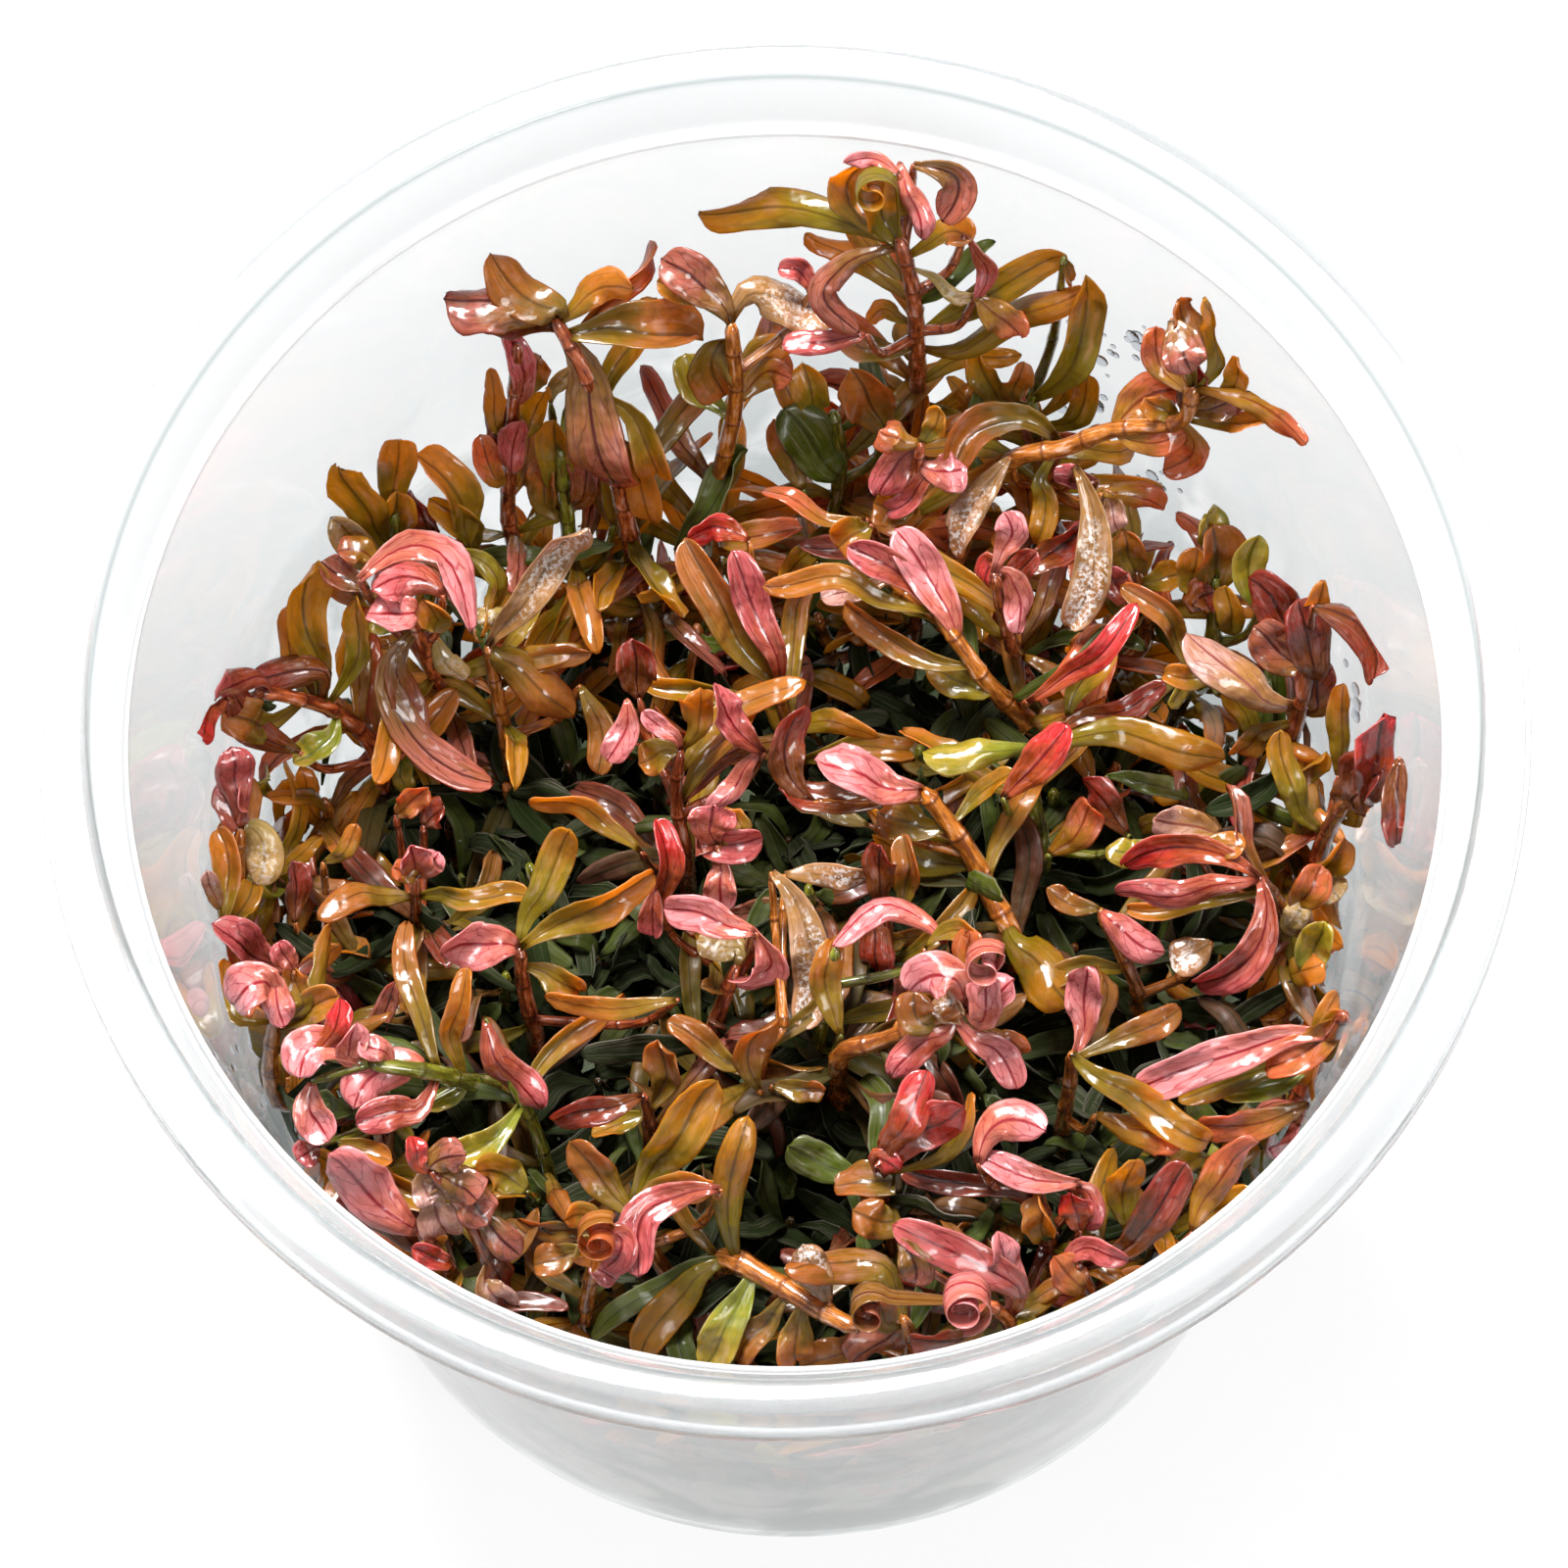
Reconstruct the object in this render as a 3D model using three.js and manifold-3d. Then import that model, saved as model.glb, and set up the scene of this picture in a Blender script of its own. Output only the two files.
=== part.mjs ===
// A clear plastic culture cup filled with red Rotala, an aquarium stem plant grown on a pad of gel.
// Millimetres, +Z up. The origin is the middle of the cup's underside, and the front is -Y.
import * as THREE from "three";
import { mergeVertices } from "three/addons/utils/BufferGeometryUtils.js";
import Module from "manifold-3d";

const wasm = await Module();
wasm.setup();

// Driving dimensions of the cup
const CUP_HEIGHT = 80;
const RIM_RADIUS = 50.5;
const RIM_DROP = 2.6; // from the rim's top to the lower edge of its rolled skirt
const SEAT_TOP_RADIUS = 47.0; // the lid seat, just inside the rim
const SEAT_FOOT_RADIUS = 45.3;
const SEAT_DEPTH = 3.9;
const LEDGE_WIDTH = 0.7; // step at the foot of the lid seat
const BASE_RADIUS = 34.8;
const BASE_CORNER = 2.2;
const WALL = 0.7;
const BASE_LIFT = 1.0; // the middle of the underside stands clear of the table
const FOOT_RING_WIDTH = 3.0;
const CUP_SIDES = 40;

// Driving dimensions of what fills it
const GEL_DEPTH = 9.0;
const GEL_SIDES = 28;
const GAP = 0.35; // left between pieces that touch
const UNDERGROWTH_TOP = 46; // most height of the closed mass of lower stems and leaves
const UNDERGROWTH_BACK = 31; // it slopes down to here at the back, from as far forward as the slope
const UNDERGROWTH_SLOPE = 22;
const BACK_CLEARANCE = 7; // the plants stand this far off the wall at the back
const LEAF_THICKNESS = 0.55;
const NARROWEST_LEAF = 2.6;
const SMALLEST_LEAF = 10; // width times length, in mm squared
const LONG_STALK = 3; // a leaf further than this from its stem gets a stalk
const STALK_WIDTH = 0.3; // as a share of the leaf's width
const LEAST_TURN = 0.2; // under this a section keeps its leaf's own direction
const SHORT_LEAF = 11; // a blade under this length has fewer sections
const STEM_SIDES = 4;
const STEM_TAPER = 0.35;
const STEM_STEPS = 40; // points tried along a stem for a leaf's root
const ABOVE_UNDERGROWTH = 0.9;
const INSIDE_TIP = 3; // of those points, how many at the stem's end take no leaf
const ROOT_DEPTH = 2; // a stem starts this far below the undergrowth's top before it is cut clear
const MERGE = 1e-3; // points nearer than this are one point

// The viewpoint from which the shoots were plotted: a leaf's ends are given as
// [pixel across, pixel down, height in mm] in a 1600 x 1600 picture taken from there.
const PICTURE_CENTRE = 800;
const EYE = new THREE.Vector3(0, -273.3, 808.6);
const AIM = new THREE.Vector3(-0.15, 6.04, 50);
const EYE_ROLL = THREE.MathUtils.degToRad(1.6);
const FOCAL_PIXELS = 11762;

const LOOK = AIM.clone().sub(EYE).normalize();
const EYE_RIGHT = new THREE.Vector3().crossVectors(LOOK, new THREE.Vector3(0, 0, 1)).normalize();
const EYE_UP = new THREE.Vector3().crossVectors(EYE_RIGHT, LOOK);
const TO_EYE = LOOK.clone().negate();

// The point seen at a pixel of the picture, at a height in mm.
function seenAt([across, down, height]) {
  const x = (across - PICTURE_CENTRE) / FOCAL_PIXELS;
  const y = (PICTURE_CENTRE - down) / FOCAL_PIXELS;
  const right = x * Math.cos(EYE_ROLL) + y * Math.sin(EYE_ROLL);
  const up = y * Math.cos(EYE_ROLL) - x * Math.sin(EYE_ROLL);
  const ray = LOOK.clone().addScaledVector(EYE_RIGHT, right).addScaledVector(EYE_UP, up);
  return EYE.clone().addScaledVector(ray, (height - EYE.z) / ray.z);
}

// Solids

// A closed mesh from its points and faces, as a manifold-3d solid.
function solidOf(points, faces) {
  const vertProperties = new Float32Array(points.flatMap((p) => [p.x, p.y, p.z]));
  const triVerts = new Uint32Array(faces.flat());
  return new wasm.Manifold(new wasm.Mesh({ numProp: 3, vertProperties, triVerts }));
}

function solidFromGeometry(geometry) {
  const bare = new THREE.BufferGeometry();
  bare.setAttribute("position", geometry.getAttribute("position"));
  bare.setIndex(geometry.index);
  const merged = mergeVertices(bare, MERGE);
  return new wasm.Manifold(
    new wasm.Mesh({
      numProp: 3,
      vertProperties: merged.getAttribute("position").array,
      triVerts: new Uint32Array(merged.index.array),
    }),
  );
}

// A skin over rings of points with the same number of points each, closed at both ends by a point.
function skinnedSolid(firstPoint, rings, lastPoint) {
  const sides = rings[0].length;
  const points = [firstPoint, ...rings.flat(), lastPoint];
  const faces = [];
  const last = points.length - 1;
  for (let i = 0; i < sides; i++) {
    const next = (i + 1) % sides;
    faces.push([0, 1 + next, 1 + i]);
    for (let ring = 0; ring < rings.length - 1; ring++) {
      const a = 1 + ring * sides + i;
      const b = 1 + ring * sides + next;
      faces.push([a, b, a + sides], [b, b + sides, a + sides]);
    }
    faces.push([last, last - sides + i, last - sides + next]);
  }
  const solid = solidOf(points, faces);
  if (solid.volume() >= 0) return solid;
  return solidOf(points, faces.map(([a, b, c]) => [a, c, b]));
}

function latheSolid(profile, sides = CUP_SIDES) {
  const outline = profile.map(([radius, height]) => new THREE.Vector2(radius, height));
  return solidFromGeometry(new THREE.LatheGeometry(outline, sides).rotateX(Math.PI / 2));
}

function geometryOf(solid) {
  const { numProp, numVert, vertProperties, triVerts } = solid.getMesh();
  const position = new Float32Array(numVert * 3);
  for (let i = 0; i < numVert; i++)
    position.set(vertProperties.subarray(i * numProp, i * numProp + 3), i * 3);
  const geometry = new THREE.BufferGeometry();
  geometry.setAttribute("position", new THREE.BufferAttribute(position, 3));
  geometry.setIndex(new THREE.BufferAttribute(triVerts, 1));
  return geometry;
}

// The largest single body of a solid that a cut may have left in pieces. Merging its points can
// part it again, so that is repeated until one body is left.
function largestBody(solid) {
  const bodies = solidFromGeometry(geometryOf(solid)).decompose();
  const largest = bodies.reduce((best, body) => (body.volume() > best.volume() ? body : best));
  return bodies.length === 1 ? largest : largestBody(largest);
}

function meshOf(name, solid, colour, roughness, opacity = 1) {
  const geometry = geometryOf(solid);
  geometry.computeVertexNormals();
  const material = new THREE.MeshStandardMaterial({ color: colour, roughness, metalness: 0 });
  material.transparent = opacity < 1;
  material.opacity = opacity;
  const mesh = new THREE.Mesh(geometry, material);
  mesh.name = name;
  return mesh;
}

// The cup

// Radius of the wall's inner face at a height.
function innerRadius(height) {
  const top = CUP_HEIGHT - SEAT_DEPTH - LEDGE_WIDTH;
  const share = (height - BASE_LIFT) / (top - BASE_LIFT);
  const foot = BASE_RADIUS - WALL;
  return foot + share * (SEAT_FOOT_RADIUS - LEDGE_WIDTH - foot);
}

// One closed outline: up the outside, over the rolled rim, down the inside to the middle.
function makeCup() {
  const ledge = CUP_HEIGHT - SEAT_DEPTH - LEDGE_WIDTH;
  const ledgeRadius = SEAT_FOOT_RADIUS - LEDGE_WIDTH;
  const floor = BASE_LIFT + WALL;
  return latheSolid([
    [0, BASE_LIFT],
    [BASE_RADIUS - BASE_CORNER - FOOT_RING_WIDTH, BASE_LIFT],
    [BASE_RADIUS - BASE_CORNER - FOOT_RING_WIDTH + 0.5, 0],
    [BASE_RADIUS - BASE_CORNER * 0.8, 0],
    [BASE_RADIUS - BASE_CORNER * 0.1, BASE_CORNER * 0.7],
    [ledgeRadius + WALL, ledge - WALL],
    [SEAT_FOOT_RADIUS + WALL, ledge + LEDGE_WIDTH - WALL],
    [SEAT_TOP_RADIUS + WALL, CUP_HEIGHT - WALL - 0.3],
    [RIM_RADIUS - WALL, CUP_HEIGHT - WALL - 0.8],
    [RIM_RADIUS - WALL, CUP_HEIGHT - RIM_DROP],
    [RIM_RADIUS, CUP_HEIGHT - RIM_DROP],
    [RIM_RADIUS - 0.2, CUP_HEIGHT - 0.9],
    [RIM_RADIUS - 1.1, CUP_HEIGHT - 0.2],
    [SEAT_TOP_RADIUS, CUP_HEIGHT],
    [SEAT_FOOT_RADIUS, CUP_HEIGHT - SEAT_DEPTH],
    [ledgeRadius, ledge],
    [innerRadius(floor + BASE_CORNER), floor + BASE_CORNER],
    [BASE_RADIUS - WALL - BASE_CORNER, floor],
    [0, floor],
  ]);
}

// The space inside the wall that the plants may fill.
function cupInterior() {
  const floor = BASE_LIFT + WALL + GAP;
  const top = CUP_HEIGHT - SEAT_DEPTH - LEDGE_WIDTH;
  return latheSolid([
    [0, floor],
    [innerRadius(floor) - GAP, floor],
    [innerRadius(top) - GAP, top],
    [innerRadius(top) - GAP, CUP_HEIGHT],
    [0, CUP_HEIGHT],
  ]);
}

// The gel pad, poured in liquid, so that it fills the base's corner.
function makeGel() {
  const floor = BASE_LIFT + WALL + GAP;
  const top = BASE_LIFT + WALL + GEL_DEPTH;
  const corner = BASE_CORNER;
  return latheSolid([
    [0, floor],
    [BASE_RADIUS - WALL - GAP - corner, floor],
    [innerRadius(floor + corner) - GAP, floor + corner],
    [innerRadius(top) - GAP, top],
    [0, top - 0.6],
  ], GEL_SIDES);
}

// Leaves and stems

// Where a blade's sections are, as shares of its length, and how wide it is there.
const LONG_OUTLINE = { shares: [0.3, 0.62, 0.88], widths: [0.7, 1, 0.8] };
const SHORT_OUTLINE = { shares: [0.4, 0.85], widths: [1, 0.85] };

// A leaf's ends and how its blade runs between them. bend bows it sideways and arch lifts it,
// both in mm; roll turns its face away from the viewpoint and cup curls its edges, in degrees.
function leaf(foot, tip, width, { bend = 0, arch = 0, roll = 0, cup = 0 } = {}) {
  return { foot: seenAt(foot), tip: seenAt(tip), width, bend, arch, roll, cup };
}

// The directions of a leaf: across it, and out of its upper face.
function leafAxes(blade) {
  const along = blade.tip.clone().sub(blade.foot).normalize();
  const face = TO_EYE.clone().addScaledVector(along, -TO_EYE.dot(along)).normalize();
  const across = new THREE.Vector3().crossVectors(along, face);
  const turn = THREE.MathUtils.degToRad(blade.roll);
  const up = face.clone().multiplyScalar(Math.cos(turn)).addScaledVector(across, Math.sin(turn));
  return { up, across: new THREE.Vector3().crossVectors(along, up) };
}

// The middle of a blade at a share of its length.
function leafMiddle(blade, axes, share) {
  const bow = 4 * share * (1 - share);
  const middle = blade.foot.clone().lerp(blade.tip, share);
  return middle.addScaledVector(axes.across, bow * blade.bend).addScaledVector(axes.up, bow * blade.arch);
}

// The three points of a blade's section, square to the way from the point before it to the point
// after: its two edges, and its midrib on the side that the edges curl away from.
function leafSection(before, middle, after, axes, width, cup) {
  const along = after.clone().sub(before).normalize();
  const across = new THREE.Vector3().crossVectors(along, axes.up);
  if (across.length() < LEAST_TURN) across.copy(axes.across);
  across.normalize();
  const up = new THREE.Vector3().crossVectors(across, along);
  const half = width / 2;
  const curl = THREE.MathUtils.degToRad(cup) / 2;
  const reach = curl ? (half * Math.sin(curl)) / curl : half;
  const rise = curl ? (half * (1 - Math.cos(curl))) / curl : 0;
  const edge = (side) =>
    middle.clone().addScaledVector(across, side * reach).addScaledVector(up, rise);
  const rib = middle.clone().addScaledVector(up, (cup < 0 ? 1 : -1) * LEAF_THICKNESS);
  return [edge(-1), rib, edge(1)];
}

// A blade grown from a point inside its stem.
function leafSolid(blade, root) {
  const axes = leafAxes(blade);
  const outline = blade.foot.distanceTo(blade.tip) < SHORT_LEAF ? SHORT_OUTLINE : LONG_OUTLINE;
  const stalked = root.distanceTo(blade.foot) > LONG_STALK;
  const shares = stalked ? [0, ...outline.shares] : outline.shares;
  const widths = stalked ? [STALK_WIDTH, ...outline.widths] : outline.widths;
  const path = [root, ...shares.map((share) => leafMiddle(blade, axes, share)), blade.tip];
  const rings = widths.map((width, i) =>
    leafSection(path[i], path[i + 1], path[i + 2], axes, width * blade.width, blade.cup),
  );
  return skinnedSolid(root, rings, blade.tip);
}

// The point of a stem nearest to a leaf's foot, of the points that stand out of the undergrowth
// and lie inside the stem's end.
function nearestOnStem(points, target) {
  const onStem = new THREE.CurvePath();
  for (let i = 1; i < points.length; i++) onStem.add(new THREE.LineCurve3(points[i - 1], points[i]));
  const open = onStem
    .getSpacedPoints(STEM_STEPS)
    .slice(0, -INSIDE_TIP)
    .filter(({ x, y, z }) => z > undergrowthTop(x, y) + ABOVE_UNDERGROWTH);
  return open.reduce((best, point) =>
    point.distanceTo(target) < best.distanceTo(target) ? point : best,
  );
}

function stemSolid(points, radius) {
  const rings = points.map((point, i) => {
    const before = points[Math.max(0, i - 1)];
    const after = points[Math.min(points.length - 1, i + 1)];
    const along = after.clone().sub(before).normalize();
    const side = new THREE.Vector3().crossVectors(along, TO_EYE).normalize();
    const other = new THREE.Vector3().crossVectors(side, along);
    const size = radius * (1 - (STEM_TAPER * i) / (points.length - 1));
    return Array.from({ length: STEM_SIDES }, (_, k) => {
      const turn = (k / STEM_SIDES) * 2 * Math.PI;
      return point
        .clone()
        .addScaledVector(side, size * Math.cos(turn))
        .addScaledVector(other, size * Math.sin(turn));
    });
  });
  return skinnedSolid(points[0].clone(), rings, points[points.length - 1].clone());
}

// The plants

// Main colour of a shoot
const PINK = "#d9838a";
const ROSE = "#b8545c";
const RED = "#a8232b";
const CRIMSON = "#74282c";
const SALMON = "#b56a4c";
const MAUVE = "#8d5a58";
const LILAC = "#b58f94";
const AMBER = "#a6601c";
const BROWN = "#5e3b1e";
const SILVER = "#8f7c62";
const OLIVE = "#7a6420";
const LIME = "#94922a";
const GREEN = "#44601c";

// The shoots, from the back of the cup to the front. Each has its stem's route from root to tip,
// the stem's radius in mm, and its leaves as foot, tip and width.
const SHOOTS = [
  {
    name: "tall_shoot",
    tone: SALMON,
    radius: 0.85,
    stem: [[934, 480, 34], [936, 377, 52], [932, 300, 65], [918, 245, 72]],
    leaves: [
      leaf([902, 243, 71], [709, 218, 67], 3.0, { bend: 1.1, cup: 40, roll: -15 }),
      leaf([900, 250, 71], [868, 341, 66], 2.7, { bend: 2.2, arch: 1.6, roll: 20 }),
      leaf([884, 342, 65], [799, 353, 64], 2.5, { cup: -50 }),
      leaf([900, 240, 71], [884, 166, 76], 2.6, { bend: -2.2, roll: -35 }),
      leaf([918, 166, 77], [943, 247, 73], 2.4, { cup: -60, arch: 0.8 }),
      leaf([932, 168, 77], [962, 224, 73], 2.8, { bend: -2.1, cup: -70, arch: 0.6 }),
      leaf([912, 240, 71], [884, 188, 75], 4.0, { cup: 110 }),
      leaf([918, 178, 77], [862, 165, 77], 1.3, { bend: 0.6 }),
      leaf([944, 260, 70], [990, 243, 72], 2.5, { bend: -1.1, roll: -25 }),
      leaf([984, 240, 72], [1000, 302, 66], 1.6, { bend: -0.9, roll: 30 }),
      leaf([996, 303, 66], [1042, 343, 63], 2.8, { cup: -40 }),
      leaf([943, 272, 69], [1006, 309, 65], 1.2, { bend: 0.5, roll: 30 }),
      leaf([945, 348, 58], [1086, 266, 63], 2.7, { bend: -0.9, cup: -30 }),
      leaf([945, 377, 56], [1101, 293, 61], 2.6, { cup: 40 }),
      leaf([921, 334, 60], [884, 326, 59], 1.5, { bend: 0.9 }),
      leaf([918, 366, 56], [864, 348, 55], 2.4, { cup: 50 }),
    ],
  },
  {
    name: "back_right_shoot",
    tone: OLIVE,
    radius: 0.7,
    stem: [[1062, 490, 40], [1058, 440, 48], [1052, 408, 53]],
    leaves: [
      leaf([1057, 412, 53], [1111, 288, 62], 2.8, { bend: 1.0, cup: 40 }),
      leaf([1030, 418, 52], [1042, 372, 57], 2.2, { cup: 60 }),
      leaf([1028, 420, 50], [1002, 360, 55], 2.5, { cup: 40, bend: -0.5 }),
      leaf([1078, 420, 50], [1102, 368, 53], 2.0, { cup: 40 }),
      leaf([1074, 440, 49], [1108, 388, 51], 2.1, { bend: 0.8 }),
      leaf([1086, 262, 63], [1094, 290, 61], 1.0),
    ],
  },
  {
    name: "right_shoot",
    tone: AMBER,
    radius: 0.85,
    stem: [[992, 512, 44], [1035, 468, 53], [1085, 457, 56], [1137, 438, 59], [1204, 430, 62], [1218, 395, 66]],
    leaves: [
      leaf([1137, 440, 59], [1205, 398, 62], 3.6, { bend: -0.8, cup: -50 }),
      leaf([1137, 445, 59], [1206, 441, 61], 2.2, { bend: 0.6, cup: 40 }),
      leaf([1200, 392, 65], [1179, 334, 68], 2.6, { bend: -0.6, cup: -50 }),
      leaf([1214, 372, 67], [1206, 304, 72], 3.0, { cup: 60 }),
      leaf([1196, 328, 70], [1213, 376, 69], 3.0, { cup: -60, arch: 0.8 }),
      leaf([1236, 396, 65], [1224, 304, 71], 2.2, { bend: 1.0, cup: 40 }),
      leaf([1212, 430, 62], [1222, 368, 67], 2.8, { cup: -40 }),
      leaf([1234, 402, 64], [1263, 372, 67], 2.0, { bend: 0.8, roll: 30 }),
      leaf([1248, 404, 63], [1329, 449, 58], 2.8, { bend: -0.7, cup: 40 }),
      leaf([1218, 421, 63], [1266, 408, 64], 2.3, { cup: 50 }),
      leaf([1234, 434, 61], [1293, 430, 60], 1.7),
      leaf([1222, 438, 61], [1189, 480, 57], 2.6, { bend: -0.6, cup: 30 }),
      leaf([1202, 428, 61], [1168, 406, 63], 2.0, { cup: 80 }),
    ],
  },
  {
    name: "drooping_shoot",
    tone: BROWN,
    radius: 0.75,
    stem: [[1062, 540, 40], [1068, 490, 48], [1082, 455, 53]],
    leaves: [
      leaf([1082, 442, 55], [974, 482, 54], 3.2, { bend: 2.3, roll: 20, arch: 0.8 }),
      leaf([1030, 467, 54], [972, 569, 50], 2.7, { cup: -50, bend: 0.5 }),
      leaf([1098, 476, 55], [1087, 641, 48], 2.9, { bend: -2.0, cup: -50, roll: 10 }),
      leaf([1045, 476, 53], [1060, 556, 49], 2.0, { bend: -0.9 }),
      leaf([1124, 504, 54], [1189, 521, 52], 2.1, { bend: -0.5 }),
      leaf([1130, 500, 54], [1141, 541, 51], 1.9, { cup: -50 }),
      leaf([1120, 490, 52], [1075, 486, 52], 1.8),
      leaf([1038, 592, 49], [1106, 536, 51], 2.5, { cup: 40 }),
    ],
  },
  {
    name: "small_pink_shoot",
    tone: ROSE,
    radius: 0.6,
    stem: [[934, 560, 42], [930, 505, 51], [940, 452, 57]],
    leaves: [
      leaf([930, 455, 57], [899, 440, 58], 2.6, { cup: -50 }),
      leaf([945, 452, 57], [960, 419, 60], 2.9, { cup: 110 }),
      leaf([947, 452, 56], [896, 507, 53], 2.7, { cup: 50, bend: 0.6 }),
      leaf([944, 482, 55], [986, 478, 55], 3.2, { cup: 50 }),
      leaf([955, 468, 55], [905, 524, 51], 1.8, { bend: -0.5 }),
      leaf([932, 524, 50], [892, 514, 50], 2.9, { cup: 130 }),
      leaf([884, 530, 50], [780, 496, 51], 1.6, { bend: -0.8, roll: 20 }),
      leaf([888, 536, 50], [856, 556, 50], 3.0, { cup: 140 }),
    ],
  },
  {
    name: "centre_pink_shoot",
    tone: AMBER,
    radius: 0.8,
    stem: [[1058, 745, 38], [1010, 700, 44], [984, 664, 47], [955, 625, 49]],
    leaves: [
      leaf([978, 652, 48], [915, 546, 54], 3.2, { cup: 50, bend: 0.7 }),
      leaf([945, 602, 50], [867, 557, 54], 2.7, { cup: 50 }),
      leaf([938, 630, 50], [781, 592, 52], 2.0, { bend: 1.0, roll: 15 }),
      leaf([985, 690, 46], [861, 618, 48], 2.2, { cup: 50, bend: -0.3 }),
      leaf([1012, 714, 44], [952, 678, 45], 2.7, { cup: -40 }),
      leaf([906, 592, 46], [838, 612, 46], 1.9, { cup: -40 }),
    ],
  },
  {
    name: "folded_pink_shoot",
    tone: SALMON,
    radius: 0.7,
    stem: [[1040, 676, 38], [1030, 650, 46], [1014, 585, 54]],
    leaves: [
      leaf([1012, 566, 55], [1024, 523, 58], 2.5, { bend: 1.0, cup: -70 }),
      leaf([1022, 562, 55], [1008, 603, 52], 2.3, { bend: 0.5 }),
      leaf([1022, 568, 55], [1040, 645, 50], 2.2, { bend: -0.5, roll: 20 }),
      leaf([1024, 604, 49], [1058, 562, 52], 2.1),
      leaf([1048, 716, 46], [1152, 625, 54], 2.1, { bend: 0.7, cup: 50 }),
      leaf([1090, 732, 45], [1136, 660, 48], 2.1, { bend: -0.6 }),
    ],
  },
  {
    name: "left_head",
    tone: SALMON,
    radius: 0.8,
    stem: [[648, 575, 40], [628, 480, 51], [598, 385, 61], [566, 325, 66]],
    leaves: [
      leaf([562, 325, 66], [461, 304, 66], 5.2, { cup: -150, arch: 0.9 }),
      leaf([584, 316, 67], [502, 262, 68], 2.9, { bend: -0.9, cup: 50 }),
      leaf([580, 328, 66], [644, 294, 69], 2.6, { bend: -0.9, cup: -50 }),
      leaf([586, 346, 65], [712, 344, 62], 4.5, { cup: -70, bend: -0.5 }),
      leaf([592, 360, 64], [636, 456, 57], 3.9, { cup: 50, bend: 0.5 }),
      leaf([628, 404, 60], [676, 500, 51], 2.5, { bend: -0.7 }),
      leaf([562, 330, 65], [546, 362, 63], 2.7, { cup: -110 }),
      leaf([648, 440, 55], [668, 541, 48], 2.5, { bend: 0.5 }),
    ],
  },
  {
    name: "back_brown_shoot",
    tone: BROWN,
    radius: 0.8,
    stem: [[724, 530, 42], [738, 470, 50], [751, 404, 57], [746, 330, 64]],
    leaves: [
      leaf([750, 316, 65], [678, 264, 68], 3.5, { cup: -60 }),
      leaf([738, 300, 66], [850, 334, 63], 3.9, { bend: -1.1, cup: -50 }),
      leaf([740, 322, 64], [671, 288, 65], 2.3, { bend: 0.5 }),
      leaf([748, 334, 62], [738, 406, 56], 3.4, { cup: 60, bend: 1.0 }),
      leaf([757, 362, 59], [812, 358, 58], 1.8, { bend: -0.5 }),
      leaf([826, 300, 65], [797, 276, 67], 1.8, { bend: 0.8, cup: -90 }),
      leaf([764, 402, 56], [806, 386, 58], 2.9, { bend: -1.0, cup: -70 }),
      leaf([742, 412, 54], [700, 362, 56], 2.6, { bend: -0.9 }),
      leaf([690, 562, 44], [763, 462, 51], 2.7, { cup: 50 }),
    ],
  },
  {
    name: "back_green_shoot",
    tone: GREEN,
    radius: 0.7,
    stem: [[850, 540, 38], [858, 470, 46], [850, 420, 51]],
    leaves: [
      leaf([866, 502, 45], [802, 418, 52], 4.2, { cup: -50 }),
      leaf([905, 440, 50], [870, 378, 55], 4.0, { cup: 80 }),
      leaf([832, 432, 50], [820, 372, 54], 2.8, { cup: 40 }),
      leaf([820, 500, 46], [792, 432, 50], 2.8),
    ],
  },
  {
    name: "left_rosette",
    tone: PINK,
    radius: 0.75,
    stem: [[455, 715, 38], [436, 672, 46], [420, 628, 52]],
    leaves: [
      leaf([366, 592, 57], [482, 642, 52], 3.0, { bend: -4.4, roll: -30, arch: 0.6 }),
      leaf([452, 608, 55], [381, 602, 57], 3.4, { bend: 1.3, cup: -70 }),
      leaf([436, 624, 54], [375, 628, 55], 3.2, { cup: -80, arch: 0.7 }),
      leaf([456, 642, 51], [430, 612, 54], 2.6, { cup: 60 }),
      leaf([456, 562, 54], [492, 652, 49], 2.3, { bend: -2.8, roll: -20 }),
      leaf([376, 602, 53], [328, 574, 54], 2.3),
      leaf([384, 578, 54], [346, 562, 55], 2.6, { bend: 0.6 }),
      leaf([386, 617, 52], [334, 592, 53], 2.2, { cup: 40 }),
      leaf([382, 642, 50], [506, 796, 43], 3.4, { bend: 2.6, cup: -30 }),
      leaf([410, 640, 50], [456, 792, 43], 2.9, { bend: 1.6, cup: -30 }),
      leaf([408, 640, 51], [378, 636, 51], 1.6, { cup: -60 }),
    ],
  },
  {
    name: "silver_leaf_shoot",
    tone: BROWN,
    radius: 0.7,
    stem: [[520, 770, 36], [506, 700, 43], [498, 660, 48]],
    leaves: [
      leaf([500, 657, 48], [603, 534, 58], 3.0, { cup: 60, bend: -0.3 }),
      leaf([492, 664, 48], [586, 736, 44], 3.5, { cup: -40, bend: -0.5 }),
      leaf([445, 650, 48], [476, 697, 45], 2.0, { bend: 0.4 }),
      leaf([516, 622, 50], [489, 636, 50], 1.7, { cup: -50 }),
      leaf([592, 700, 45], [612, 790, 42], 2.2, { bend: -0.6 }),
    ],
  },
  {
    name: "left_upright_shoot",
    tone: OLIVE,
    radius: 0.7,
    stem: [[412, 620, 40], [402, 570, 46], [402, 525, 50]],
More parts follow.
